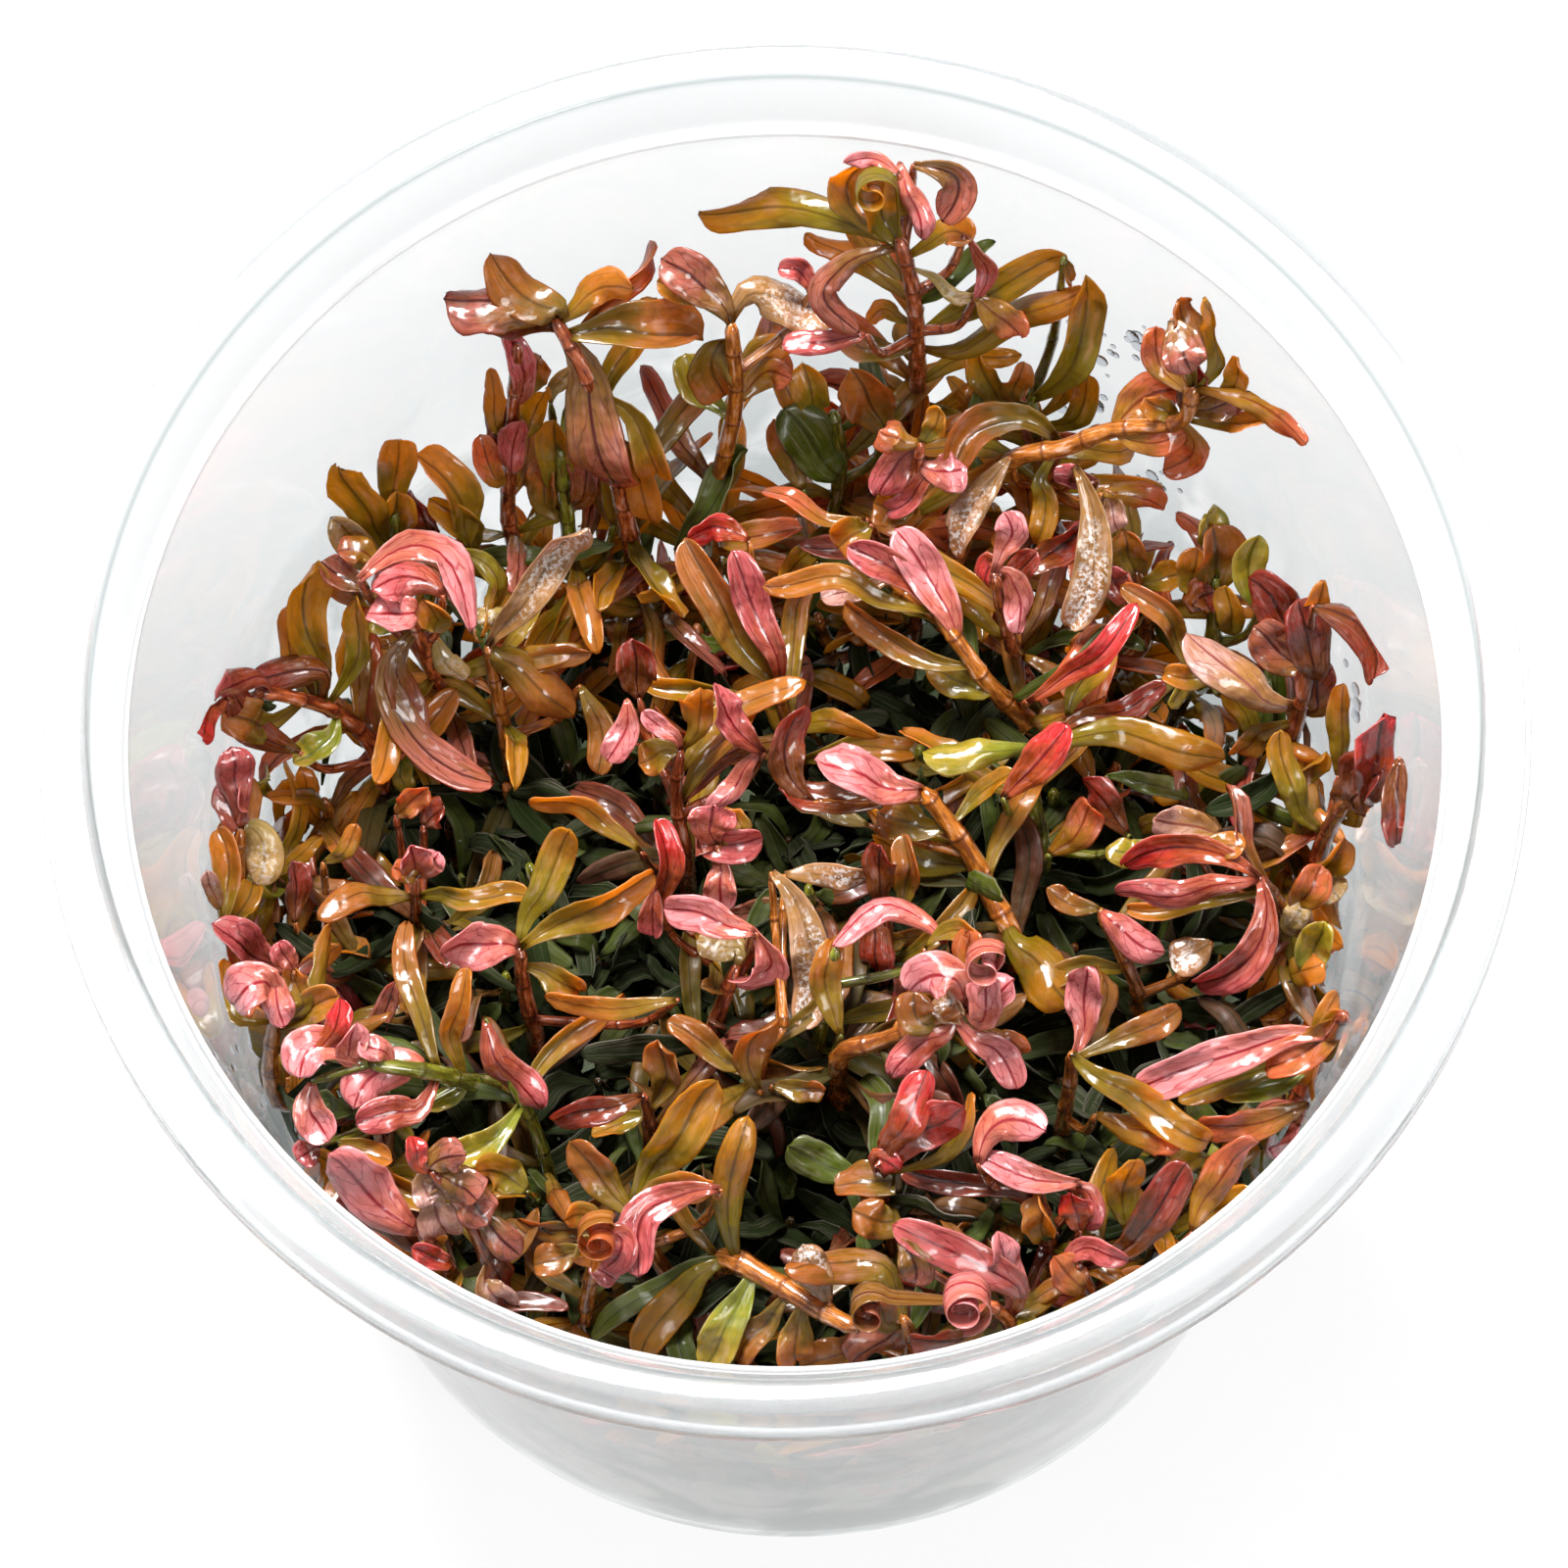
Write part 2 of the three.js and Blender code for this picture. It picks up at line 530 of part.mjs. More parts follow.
    leaves: [
      leaf([402, 535, 49], [404, 446, 57], 3.0, { cup: 40 }),
      leaf([396, 562, 47], [345, 476, 54], 3.6, { cup: 40 }),
      leaf([404, 566, 46], [404, 500, 52], 2.8),
      leaf([396, 582, 45], [338, 532, 50], 2.8, { cup: 40 }),
      leaf([474, 562, 46], [428, 466, 54], 3.0, { bend: 1.1, cup: 30 }),
      leaf([444, 562, 44], [422, 508, 50], 2.2),
      leaf([484, 562, 45], [446, 516, 50], 2.6, { bend: 0.6 }),
    ],
  },
  {
    name: "red_stack_shoot",
    tone: SALMON,
    radius: 0.7,
    stem: [[522, 545, 42], [520, 480, 49], [524, 410, 56], [528, 352, 63]],
    leaves: [
      leaf([530, 424, 56], [520, 344, 64], 2.5, { bend: 0.6, cup: 40 }),
      leaf([508, 452, 53], [501, 384, 59], 1.9, { cup: 50 }),
      leaf([512, 502, 49], [490, 448, 53], 2.1),
      leaf([520, 497, 50], [529, 437, 56], 2.2, { cup: -50 }),
      leaf([506, 470, 51], [503, 402, 56], 1.8),
      leaf([536, 404, 56], [550, 366, 59], 2.4, { cup: 50 }),
      leaf([534, 452, 52], [556, 400, 56], 2.2),
    ],
  },
  {
    name: "back_left_shoot",
    tone: OLIVE,
    radius: 0.7,
    stem: [[585, 580, 38], [578, 520, 45], [572, 460, 51]],
    leaves: [
      leaf([572, 432, 51], [592, 394, 54], 2.2, { bend: 0.6 }),
      leaf([562, 412, 52], [590, 376, 54], 1.5, { bend: -0.5 }),
      leaf([588, 442, 50], [612, 438, 51], 2.4, { cup: 50 }),
      leaf([566, 505, 46], [568, 436, 53], 2.8, { cup: 40 }),
      leaf([592, 528, 46], [602, 450, 52], 2.5, { cup: 40 }),
      leaf([556, 530, 44], [556, 472, 49], 2.4),
      leaf([626, 536, 44], [640, 452, 51], 2.5, { bend: -0.4 }),
    ],
  },
  {
    name: "left_edge_shoot",
    tone: CRIMSON,
    radius: 0.75,
    stem: [[385, 770, 38], [350, 730, 43], [300, 712, 48], [262, 706, 50]],
    leaves: [
      leaf([356, 700, 47], [262, 694, 51], 2.6, { bend: 0.9, cup: -60 }),
      leaf([284, 692, 50], [222, 714, 52], 2.3, { bend: 0.7, cup: -50 }),
      leaf([232, 712, 52], [208, 750, 50], 2.2, { bend: 0.5, cup: -60 }),
      leaf([290, 734, 46], [232, 724, 49], 3.4, { cup: 60, bend: -0.8 }),
      leaf([306, 768, 44], [236, 708, 49], 2.9, { bend: -0.7 }),
      leaf([346, 742, 44], [300, 776, 44], 2.4, { bend: -0.4 }),
      leaf([343, 692, 46], [326, 578, 55], 3.2, { bend: -1.4, cup: 40 }),
      leaf([352, 700, 46], [362, 612, 53], 2.2, { bend: 0.6 }),
    ],
  },
  {
    name: "left_wall_shoot",
    tone: AMBER,
    radius: 0.7,
    stem: [[262, 985, 36], [244, 925, 42], [245, 845, 48]],
    leaves: [
      leaf([246, 822, 50], [236, 767, 54], 3.0, { cup: -60 }),
      leaf([238, 848, 48], [244, 798, 51], 3.0, { cup: -60 }),
      leaf([250, 832, 48], [263, 904, 45], 3.0, { bend: -0.8, cup: -50 }),
      leaf([226, 945, 44], [221, 846, 49], 2.3, { bend: 0.7 }),
      leaf([226, 948, 42], [256, 902, 44], 1.9, { bend: 0.5 }),
      leaf([224, 928, 43], [210, 890, 46], 1.6, { cup: -60 }),
      leaf([302, 942, 40], [300, 880, 43], 2.2, { cup: -40 }),
      leaf([298, 985, 42], [222, 946, 45], 3.2, { bend: -0.6 }),
      leaf([330, 880, 42], [362, 845, 45], 1.6, { bend: 0.5 }),
    ],
  },
  {
    name: "orange_head",
    tone: AMBER,
    radius: 0.8,
    stem: [[268, 1130, 37], [276, 1085, 42], [282, 1030, 48]],
    leaves: [
      leaf([286, 1006, 50], [240, 1026, 50], 3.6, { arch: 1.2, bend: 0.9 }),
      leaf([278, 992, 51], [290, 1047, 49], 2.4, { cup: -50 }),
      leaf([300, 990, 50], [284, 964, 52], 1.9),
      leaf([312, 1042, 47], [300, 985, 50], 2.2),
      leaf([300, 1050, 46], [346, 1018, 49], 2.6, { bend: -0.6, cup: 60 }),
      leaf([274, 1088, 42], [270, 1035, 47], 3.6, { cup: 110 }),
      leaf([282, 1070, 42], [258, 1127, 38], 2.1, { bend: 0.4 }),
      leaf([246, 1060, 43], [230, 978, 47], 1.7, { bend: -0.4 }),
    ],
  },
  {
    name: "front_left_cluster",
    tone: LIME,
    radius: 0.85,
    stem: [[515, 1112, 36], [478, 1104, 42], [440, 1094, 47], [375, 1085, 49]],
    leaves: [
      leaf([356, 1076, 50], [306, 1100, 50], 3.4, { bend: 1.6, cup: -40 }),
      leaf([322, 1074, 50], [346, 1024, 53], 2.0, { bend: 0.4 }),
      leaf([404, 1078, 49], [366, 1064, 51], 2.0),
      leaf([352, 1088, 49], [362, 1045, 52], 2.5, { cup: -50 }),
      leaf([448, 1088, 48], [362, 1132, 48], 3.5, { bend: 1.6, cup: -40 }),
      leaf([446, 1136, 46], [364, 1148, 47], 2.7, { cup: -40, bend: 0.4 }),
      leaf([318, 1104, 48], [336, 1163, 46], 3.0, { bend: 0.6, cup: -40 }),
      leaf([480, 1098, 43], [482, 990, 50], 1.8, { bend: -1.4, roll: 20 }),
      leaf([325, 1168, 44], [299, 1186, 44], 2.2, { cup: -50 }),
      leaf([478, 1114, 42], [428, 1132, 42], 1.5),
      leaf([345, 1165, 45], [400, 1184, 45], 2.4, { cup: 50 }),
    ],
  },
  {
    name: "big_pink_leaf_shoot",
    tone: ROSE,
    radius: 0.75,
    stem: [[470, 1330, 35], [455, 1290, 40], [428, 1256, 44]],
    leaves: [
      leaf([428, 1262, 44], [335, 1182, 50], 4.4, { cup: -40 }),
      leaf([442, 1292, 42], [346, 1224, 46], 2.4, { bend: 0.6 }),
      leaf([470, 1292, 42], [420, 1274, 44], 1.8),
      leaf([452, 1288, 41], [432, 1262, 43], 2.4, { cup: 70 }),
    ],
  },
  {
    name: "mauve_stack_shoot",
    tone: MAUVE,
    radius: 0.7,
    stem: [[520, 1340, 36], [500, 1290, 41], [472, 1232, 46], [440, 1195, 49]],
    leaves: [
      leaf([432, 1200, 49], [472, 1180, 51], 2.8, { bend: -0.5, cup: -50 }),
      leaf([448, 1196, 49], [487, 1224, 48], 3.0, { cup: -60 }),
      leaf([466, 1208, 48], [500, 1246, 46], 3.2, { cup: -60 }),
      leaf([486, 1236, 46], [530, 1282, 43], 3.4, { cup: -50 }),
      leaf([426, 1200, 48], [442, 1228, 47], 2.8),
      leaf([436, 1216, 47], [456, 1262, 44], 3.2, { cup: -40 }),
      leaf([500, 1282, 43], [520, 1334, 39], 2.8, { cup: -50 }),
      leaf([486, 1302, 42], [522, 1336, 39], 3.0, { cup: -60 }),
      leaf([430, 1200, 49], [421, 1162, 51], 1.7),
    ],
  },
  {
    name: "spotted_pink_pair",
    tone: OLIVE,
    radius: 0.65,
    stem: [[560, 1200, 34], [545, 1150, 39], [520, 1100, 43]],
    leaves: [
      leaf([496, 1040, 47], [552, 1134, 42], 2.7, { bend: 0.7, cup: -40 }),
      leaf([526, 1142, 42], [456, 1181, 42], 2.4, { bend: -0.4, cup: 50 }),
      leaf([538, 1216, 42], [490, 1196, 43], 3.2, { cup: -60, bend: 0.4 }),
    ],
  },
  {
    name: "cerise_leaf_shoot",
    tone: CRIMSON,
    radius: 0.65,
    stem: [[665, 1180, 35], [662, 1145, 40], [656, 1118, 44]],
    leaves: [
      leaf([654, 1122, 45], [565, 1142, 45], 2.5, { cup: -40 }),
      leaf([662, 1132, 41], [605, 1160, 41], 1.8),
      leaf([672, 1122, 41], [672, 1060, 46], 2.7, { cup: -60, bend: 0.4 }),
    ],
  },
  {
    name: "curled_front_rosette",
    tone: AMBER,
    radius: 0.7,
    stem: [[596, 1345, 34], [604, 1300, 40], [612, 1262, 45]],
    leaves: [
      leaf([604, 1262, 46], [576, 1244, 48], 2.2, { bend: 1.0, cup: -90 }),
      leaf([610, 1250, 47], [616, 1296, 45], 2.8, { bend: -1.5, cup: -70 }),
      leaf([602, 1258, 47], [604, 1292, 45], 2.6, { cup: 100 }),
      leaf([628, 1240, 46], [646, 1292, 44], 1.9, { bend: -1.0 }),
      leaf([602, 1290, 44], [628, 1306, 44], 1.9),
      leaf([595, 1272, 42], [546, 1292, 41], 2.5, { cup: -50 }),
    ],
  },
  {
    name: "pink_banner_shoot",
    tone: AMBER,
    radius: 0.75,
    stem: [[700, 1330, 34], [665, 1275, 39], [645, 1235, 43]],
    leaves: [
      leaf([736, 1214, 48], [648, 1300, 45], 2.9, { bend: 2.4, roll: 15, cup: -30 }),
      leaf([642, 1240, 44], [736, 1215, 47], 2.6, { bend: -1.1 }),
      leaf([652, 1224, 43], [731, 1110, 51], 3.6, { cup: -40, bend: -0.5 }),
      leaf([640, 1236, 42], [582, 1166, 45], 3.2, { cup: -50 }),
    ],
  },
  {
    name: "front_fan_shoot",
    tone: AMBER,
    radius: 0.95,
    stem: [[742, 1284, 41], [790, 1308, 42], [835, 1336, 43], [876, 1357, 44]],
    leaves: [
      leaf([728, 1270, 42], [601, 1366, 36], 1.9, { cup: 60 }),
      leaf([727, 1282, 42], [655, 1386, 37], 2.9, { bend: 0.4, cup: 40 }),
      leaf([762, 1302, 42], [714, 1396, 38], 3.0, { bend: -0.5, cup: -40 }),
      leaf([796, 1328, 42], [746, 1396, 37], 2.6, { cup: -40 }),
      leaf([814, 1338, 42], [812, 1396, 38], 2.9, { cup: -40 }),
      leaf([746, 1282, 43], [760, 1152, 52], 3.2, { cup: -40, bend: -0.5 }),
    ],
  },
  {
    name: "brown_arch_shoot",
    tone: BROWN,
    radius: 0.75,
    stem: [[925, 1395, 35], [930, 1372, 39], [922, 1345, 43]],
    leaves: [
      leaf([930, 1374, 42], [797, 1302, 47], 3.0, { bend: 3.7, roll: 25, arch: 0.8 }),
      leaf([846, 1330, 44], [822, 1276, 48], 2.7, { cup: -70 }),
      leaf([898, 1364, 42], [880, 1320, 46], 2.4, { bend: 0.9, cup: 80 }),
      leaf([892, 1356, 40], [816, 1396, 37], 2.7, { bend: -0.4 }),
      leaf([932, 1342, 43], [872, 1392, 39], 3.6, { cup: -50 }),
    ],
  },
  {
    name: "spiral_shoot",
    tone: MAUVE,
    radius: 0.75,
    stem: [[1040, 1375, 36], [1030, 1350, 40], [1008, 1330, 44]],
    leaves: [
      leaf([1066, 1344, 41], [928, 1256, 49], 3.1, { bend: 0.9, cup: -50 }),
      leaf([1010, 1326, 45], [966, 1312, 47], 2.8, { bend: 1.6, cup: -80 }),
      leaf([966, 1340, 45], [1006, 1318, 46], 2.4, { bend: 1.5, cup: -80 }),
      leaf([1006, 1352, 42], [930, 1366, 41], 2.5, { bend: -0.6 }),
      leaf([918, 1266, 47], [932, 1312, 45], 3.0, { cup: -80, bend: -0.6 }),
      leaf([1042, 1332, 41], [1020, 1264, 47], 2.9, { cup: -40 }),
    ],
  },
  {
    name: "glossy_brown_shoot",
    tone: BROWN,
    radius: 0.7,
    stem: [[915, 1290, 34], [905, 1240, 41], [896, 1200, 45]],
    leaves: [
      leaf([928, 1240, 44], [874, 1236, 46], 3.2, { cup: -80, bend: -0.6 }),
      leaf([890, 1180, 48], [944, 1104, 53], 2.9, { cup: -40, bend: 0.4 }),
      leaf([908, 1176, 48], [984, 1132, 51], 3.8, { cup: 40 }),
      leaf([886, 1176, 48], [918, 1194, 47], 2.4, { cup: -60 }),
      leaf([934, 1204, 45], [852, 1208, 45], 3.0, { cup: -110 }),
      leaf([938, 1196, 46], [991, 1120, 50], 1.6, { bend: 0.8 }),
      leaf([876, 1200, 41], [804, 1172, 42], 3.1, { cup: -60 }),
    ],
  },
  {
    name: "pink_rosette",
    tone: AMBER,
    radius: 0.9,
    stem: [[858, 1078, 44], [900, 1062, 47], [948, 1044, 50], [985, 1030, 52]],
    leaves: [
      leaf([992, 1012, 54], [929, 1012, 54], 3.7, { arch: 1.4, bend: 1.2 }),
      leaf([1002, 1024, 53], [1032, 1002, 55], 3.0, { cup: -50 }),
      leaf([1002, 1062, 51], [1006, 990, 56], 2.7, { cup: -50 }),
      leaf([986, 1060, 51], [908, 1102, 49], 2.4, { bend: 1.2, cup: -30 }),
      leaf([976, 1060, 51], [1038, 1108, 48], 2.5, { bend: -0.9 }),
      leaf([1010, 1062, 50], [1046, 1076, 49], 2.0, { bend: -0.5 }),
      leaf([956, 1050, 51], [934, 1014, 53], 2.9, { bend: -0.8, cup: 70 }),
      leaf([975, 1050, 51], [966, 1012, 52], 2.7, { cup: 80 }),
      leaf([986, 992, 53], [988, 952, 55], 2.7, { cup: -80 }),
      leaf([944, 968, 52], [1002, 968, 54], 1.8, { bend: -1.4, roll: -20 }),
    ],
  },
  {
    name: "pink_arch_shoot",
    tone: OLIVE,
    radius: 0.65,
    stem: [[836, 1062, 40], [845, 1010, 46], [853, 968, 51]],
    leaves: [
      leaf([966, 964, 52], [850, 962, 52], 2.5, { bend: 2.6, roll: 20, arch: 0.6 }),
      leaf([858, 1056, 46], [848, 962, 51], 2.4, { bend: -0.6 }),
    ],
  },
  {
    name: "dark_rose_pair",
    tone: CRIMSON,
    radius: 0.65,
    stem: [[905, 1010, 37], [905, 960, 42], [905, 925, 45]],
    leaves: [
      leaf([896, 924, 46], [898, 862, 51], 2.6, { cup: 50 }),
      leaf([890, 930, 46], [896, 998, 43], 2.8, { cup: 50 }),
      leaf([926, 930, 44], [924, 860, 49], 2.3),
    ],
  },
  {
    name: "orange_stem_shoot",
    tone: AMBER,
    radius: 0.95,
    stem: [[1032, 955, 38], [1010, 912, 40], [988, 868, 43], [942, 806, 47]],
    leaves: [
      leaf([830, 818, 47], [824, 722, 52], 3.1, { bend: -2.0, cup: -50 }),
      leaf([946, 806, 48], [836, 772, 51], 3.4, { bend: -0.6, cup: -30 }),
      leaf([902, 816, 46], [796, 802, 48], 2.6, { bend: -0.6 }),
      leaf([886, 842, 44], [806, 810, 46], 2.0),
      leaf([978, 882, 41], [892, 852, 43], 3.2, { bend: -0.6 }),
      leaf([952, 850, 44], [896, 828, 45], 3.4, { cup: -50 }),
      leaf([975, 832, 44], [1034, 786, 47], 1.6),
      leaf([1016, 956, 41], [1092, 1026, 40], 3.9, { cup: -30, bend: -0.6 }),
    ],
  },
  {
    name: "yellow_leaf_shoot",
    tone: OLIVE,
    radius: 0.8,
    stem: [[1062, 860, 36], [1052, 800, 42], [1058, 762, 46]],
    leaves: [
      leaf([1040, 768, 47], [944, 766, 48], 2.7, { cup: -50 }),
      leaf([1078, 753, 48], [1250, 778, 46], 2.9, { bend: -0.8, cup: -50 }),
      leaf([1024, 814, 46], [1086, 746, 51], 3.0, { cup: -50 }),
      leaf([1080, 736, 45], [1190, 701, 47], 1.8, { bend: 0.4 }),
      leaf([1070, 872, 42], [1112, 822, 46], 2.8, { cup: -40, bend: 0.5 }),
      leaf([1152, 852, 42], [1110, 800, 46], 2.5, { cup: -40 }),
      leaf([1130, 792, 42], [1212, 816, 42], 1.8, { bend: -0.4 }),
    ],
  },
  {
    name: "lilac_leaf_shoot",
    tone: LILAC,
    radius: 0.65,
    stem: [[1262, 900, 36], [1256, 870, 41], [1246, 852, 44]],
    leaves: [
      leaf([1246, 852, 44], [1179, 834, 46], 2.9, { cup: -50 }),
      leaf([1185, 856, 42], [1130, 866, 42], 2.2, { bend: -0.5 }),
    ],
  },
  {
    name: "curved_pair_shoot",
    tone: RED,
    radius: 0.75,
    stem: [[1320, 960, 37], [1305, 925, 42], [1286, 896, 47]],
    leaves: [
      leaf([1276, 880, 48], [1145, 882, 46], 2.6, { bend: 0.9, cup: -40 }),
      leaf([1286, 902, 48], [1139, 916, 46], 2.3, { cup: -50 }),
      leaf([1284, 886, 48], [1216, 1008, 42], 2.9, { bend: -2.8, roll: 10, cup: -30 }),
      leaf([1270, 912, 44], [1150, 927, 43], 1.6, { bend: -0.4 }),
      leaf([1225, 878, 47], [1270, 864, 48], 2.2, { bend: -0.5 }),
    ],
  },
  {
    name: "pale_pink_leaf_shoot",
    tone: BROWN,
    radius: 0.65,
    stem: [[1160, 1010, 36], [1140, 965, 40], [1122, 928, 43]],
    leaves: [
      leaf([1122, 926, 44], [1188, 972, 42], 2.9, { cup: -50, bend: 0.5 }),
      leaf([1126, 926, 43], [1068, 908, 44], 1.7, { bend: -0.4 }),
      leaf([1236, 962, 42], [1195, 985, 41], 3.2, { cup: -60 }),
    ],
  },
  {
    name: "right_head",
    tone: ROSE,
    radius: 0.8,
    stem: [[1300, 800, 38], [1318, 750, 44], [1332, 705, 49], [1335, 665, 51]],
    leaves: [
      leaf([1308, 738, 48], [1220, 648, 53], 3.5, { cup: -50 }),
      leaf([1338, 690, 49], [1280, 642, 52], 3.4, { cup: -50 }),
      leaf([1346, 700, 50], [1326, 616, 55], 3.1, { cup: -40 }),
      leaf([1346, 634, 53], [1406, 691, 50], 3.4, { cup: -60, bend: -0.8 }),
      leaf([1330, 662, 50], [1288, 596, 53], 3.6, { cup: -40 }),
      leaf([1346, 738, 47], [1344, 676, 51], 3.2, { cup: -70 }),
      leaf([1320, 644, 50], [1348, 598, 54], 2.2, { bend: 0.4 }),
      leaf([1296, 740, 46], [1262, 770, 44], 2.2),
    ],
  },
  {
    name: "right_back_shoot",
    tone: OLIVE,
    radius: 0.75,
    stem: [[1235, 700, 38], [1238, 650, 44], [1240, 590, 49]],
    leaves: [
      leaf([1286, 622, 50], [1284, 548, 55], 2.6, { bend: -0.6 }),
      leaf([1244, 602, 48], [1238, 540, 53], 4.2, { cup: 50 }),
      leaf([1242, 562, 50], [1232, 525, 54], 2.9),
      leaf([1212, 608, 47], [1222, 560, 50], 2.4),
      leaf([1208, 622, 47], [1238, 602, 49], 3.0, { cup: -50 }),
      leaf([1252, 690, 47], [1189, 690, 48], 1.9, { cup: 50 }),
      leaf([1212, 686, 46], [1152, 602, 51], 2.1, { bend: 0.9 }),
      leaf([1260, 655, 46], [1252, 600, 50], 2.2),
    ],
  },
  {
    name: "right_back_dark_shoot",
    tone: BROWN,
    radius: 0.65,
    stem: [[1170, 650, 38], [1165, 610, 44], [1158, 580, 47]],
    leaves: [
      leaf([1160, 592, 47], [1146, 544, 51], 3.2, { cup: -60 }),
      leaf([1172, 595, 46], [1205, 585, 47], 2.4),
      leaf([1150, 620, 47], [1132, 578, 50], 2.6, { cup: -40 }),
    ],
  },
  {
    name: "right_edge_shoot",
    tone: CRIMSON,
    radius: 0.75,
    stem: [[1335, 905, 38], [1352, 855, 43], [1372, 822, 46], [1400, 810, 48]],
    leaves: [
      leaf([1402, 812, 48], [1418, 737, 52], 3.4, { cup: -40 }),
      leaf([1366, 822, 46], [1404, 788, 49], 3.7, { cup: -50 }),
      leaf([1431, 780, 50], [1426, 858, 46], 1.8, { cup: -50 }),
      leaf([1342, 852, 44], [1312, 748, 49], 2.3, { bend: -0.9, cup: -40 }),
      leaf([1366, 792, 46], [1372, 706, 50], 2.6),
      leaf([1378, 848, 44], [1392, 826, 45], 2.4),
    ],
  },
  {
    name: "right_low_shoot",
    tone: AMBER,
    radius: 0.7,
    stem: [[1318, 1030, 35], [1328, 985, 39], [1335, 930, 43]],
    leaves: [
      leaf([1346, 898, 42], [1370, 858, 45], 2.6, { cup: 50 }),
      leaf([1348, 890, 42], [1366, 917, 42], 2.6, { cup: -60 }),
      leaf([1318, 934, 43], [1348, 888, 46], 2.8, { cup: -40 }),
      leaf([1306, 954, 41], [1330, 922, 44], 2.4),
      leaf([1336, 1008, 40], [1349, 938, 45], 2.8),
      leaf([1304, 1000, 40], [1346, 984, 43], 2.7, { cup: -60 }),
    ],
  },
  {
    name: "long_pink_leaf_shoot",
    tone: SALMON,
    radius: 0.8,
    stem: [[1340, 1140, 36], [1362, 1090, 42], [1372, 1035, 48]],
    leaves: [
      leaf([1352, 1044, 48], [1160, 1116, 46], 3.2, { cup: -40, bend: 0.4 }),
      leaf([1376, 1024, 50], [1292, 1092, 46], 2.9, { bend: -0.7 }),
      leaf([1340, 1076, 45], [1202, 1122, 43], 2.2),
      leaf([1324, 1100, 43], [1242, 1112, 43], 2.5, { cup: 60, bend: -0.4 }),
      leaf([1344, 1130, 43], [1222, 1150, 43], 2.6, { bend: -0.5, cup: -40 }),
      leaf([1366, 1104, 44], [1374, 1030, 48], 1.9, { bend: -0.4 }),
    ],
  },
  {
    name: "amber_fold_shoot",
    tone: AMBER,
    radius: 0.7,
    stem: [[1085, 1145, 36], [1092, 1105, 42], [1094, 1075, 46]],
    leaves: [
      leaf([1088, 1074, 48], [1238, 1162, 45], 2.6, { cup: 100, bend: 0.6 }),
      leaf([1118, 1138, 44], [1206, 1168, 45], 2.7, { cup: -50 }),
      leaf([1108, 1064, 45], [1108, 985, 50], 2.9, { cup: -40 }),
      leaf([1112, 1068, 45], [1202, 1028, 47], 2.2, { bend: 0.5 }),
    ],
  },
  {
    name: "pink_curl_shoot",
    tone: PINK,
    radius: 0.7,
    stem: [[1075, 1290, 35], [1068, 1250, 40], [1055, 1205, 45]],
    leaves: [
      leaf([1102, 1206, 46], [1002, 1182, 48], 2.3, { bend: -0.5, cup: -40 }),
      leaf([998, 1188, 48], [1066, 1156, 50], 3.2, { bend: -2.1, cup: -50 }),
      leaf([1098, 1204, 46], [1108, 1256, 43], 1.9, { bend: -0.8 }),
      leaf([1066, 1272, 42], [1060, 1226, 46], 2.8, { cup: 80 }),
      leaf([1102, 1256, 43], [1094, 1222, 46], 2.8, { cup: -60 }),
    ],
  },
  {
    name: "front_right_shoot",
    tone: SALMON,
    radius: 0.7,
    stem: [[1115, 1340, 35], [1108, 1310, 39], [1100, 1288, 42]],
    leaves: [
      leaf([1078, 1302, 41], [1146, 1288, 44], 1.9, { bend: -1.4, cup: -30 }),
      leaf([1112, 1322, 40], [1078, 1286, 43], 2.9, { cup: -50 }),
      leaf([1150, 1255, 42], [1158, 1184, 47], 2.8, { bend: -0.4 }),
      leaf([1144, 1298, 42], [1210, 1194, 50], 3.0, { cup: -40, bend: -0.4 }),
      leaf([1216, 1258, 42], [1284, 1168, 46], 2.9, { bend: -0.8 }),
    ],
  },
  {
    name: "pale_head_shoot",
    tone: PINK,
    radius: 0.75,
    stem: [[545, 1050, 36], [535, 1010, 41], [530, 968, 46]],
    leaves: [
      leaf([532, 966, 47], [452, 976, 48], 4.0, { cup: -80, bend: 0.6 }),
      leaf([538, 962, 46], [660, 894, 50], 2.9, { cup: 60 }),
      leaf([522, 948, 46], [584, 847, 52], 2.7, { cup: 40, bend: 0.3 }),
      leaf([692, 1020, 46], [556, 1020, 46], 1.9, { bend: -0.4, cup: 50 }),
      leaf([545, 985, 44], [592, 1012, 43], 2.4),
    ],
  },
  {
    name: "rose_cross_shoot",
    tone: ROSE,
    radius: 0.7,
    stem: [[740, 1010, 36], [736, 930, 44], [732, 862, 50]],
    leaves: [
      leaf([688, 868, 50], [778, 856, 50], 2.7, { cup: -30 }),
      leaf([722, 856, 51], [728, 822, 53], 3.6),
      leaf([738, 872, 49], [734, 926, 46], 2.6, { cup: -30, arch: 0.5 }),
      leaf([756, 862, 50], [742, 824, 52], 1.8, { bend: 0.4 }),
      leaf([672, 930, 44], [668, 840, 50], 2.2, { bend: 0.6 }),
      leaf([668, 905, 46], [666, 955, 43], 2.0),
    ],
  },
  {
    name: "curled_pink_leaf_shoot",
    tone: PINK,
    radius: 0.7,
    stem: [[720, 1075, 37], [735, 1030, 42], [752, 985, 46]],
    leaves: [
      leaf([772, 952, 49], [679, 924, 50], 2.9, { cup: -40 }),
      leaf([768, 946, 49], [744, 1002, 45], 2.9, { bend: -2.1, cup: -50 }),
      leaf([770, 968, 46], [712, 962, 47], 2.3, { cup: 50 }),
    ],
  },
  {
    name: "silver_strap_shoot",
    tone: SILVER,
    radius: 0.65,
    stem: [[770, 1110, 38], [782, 1070, 43], [800, 1048, 45]],
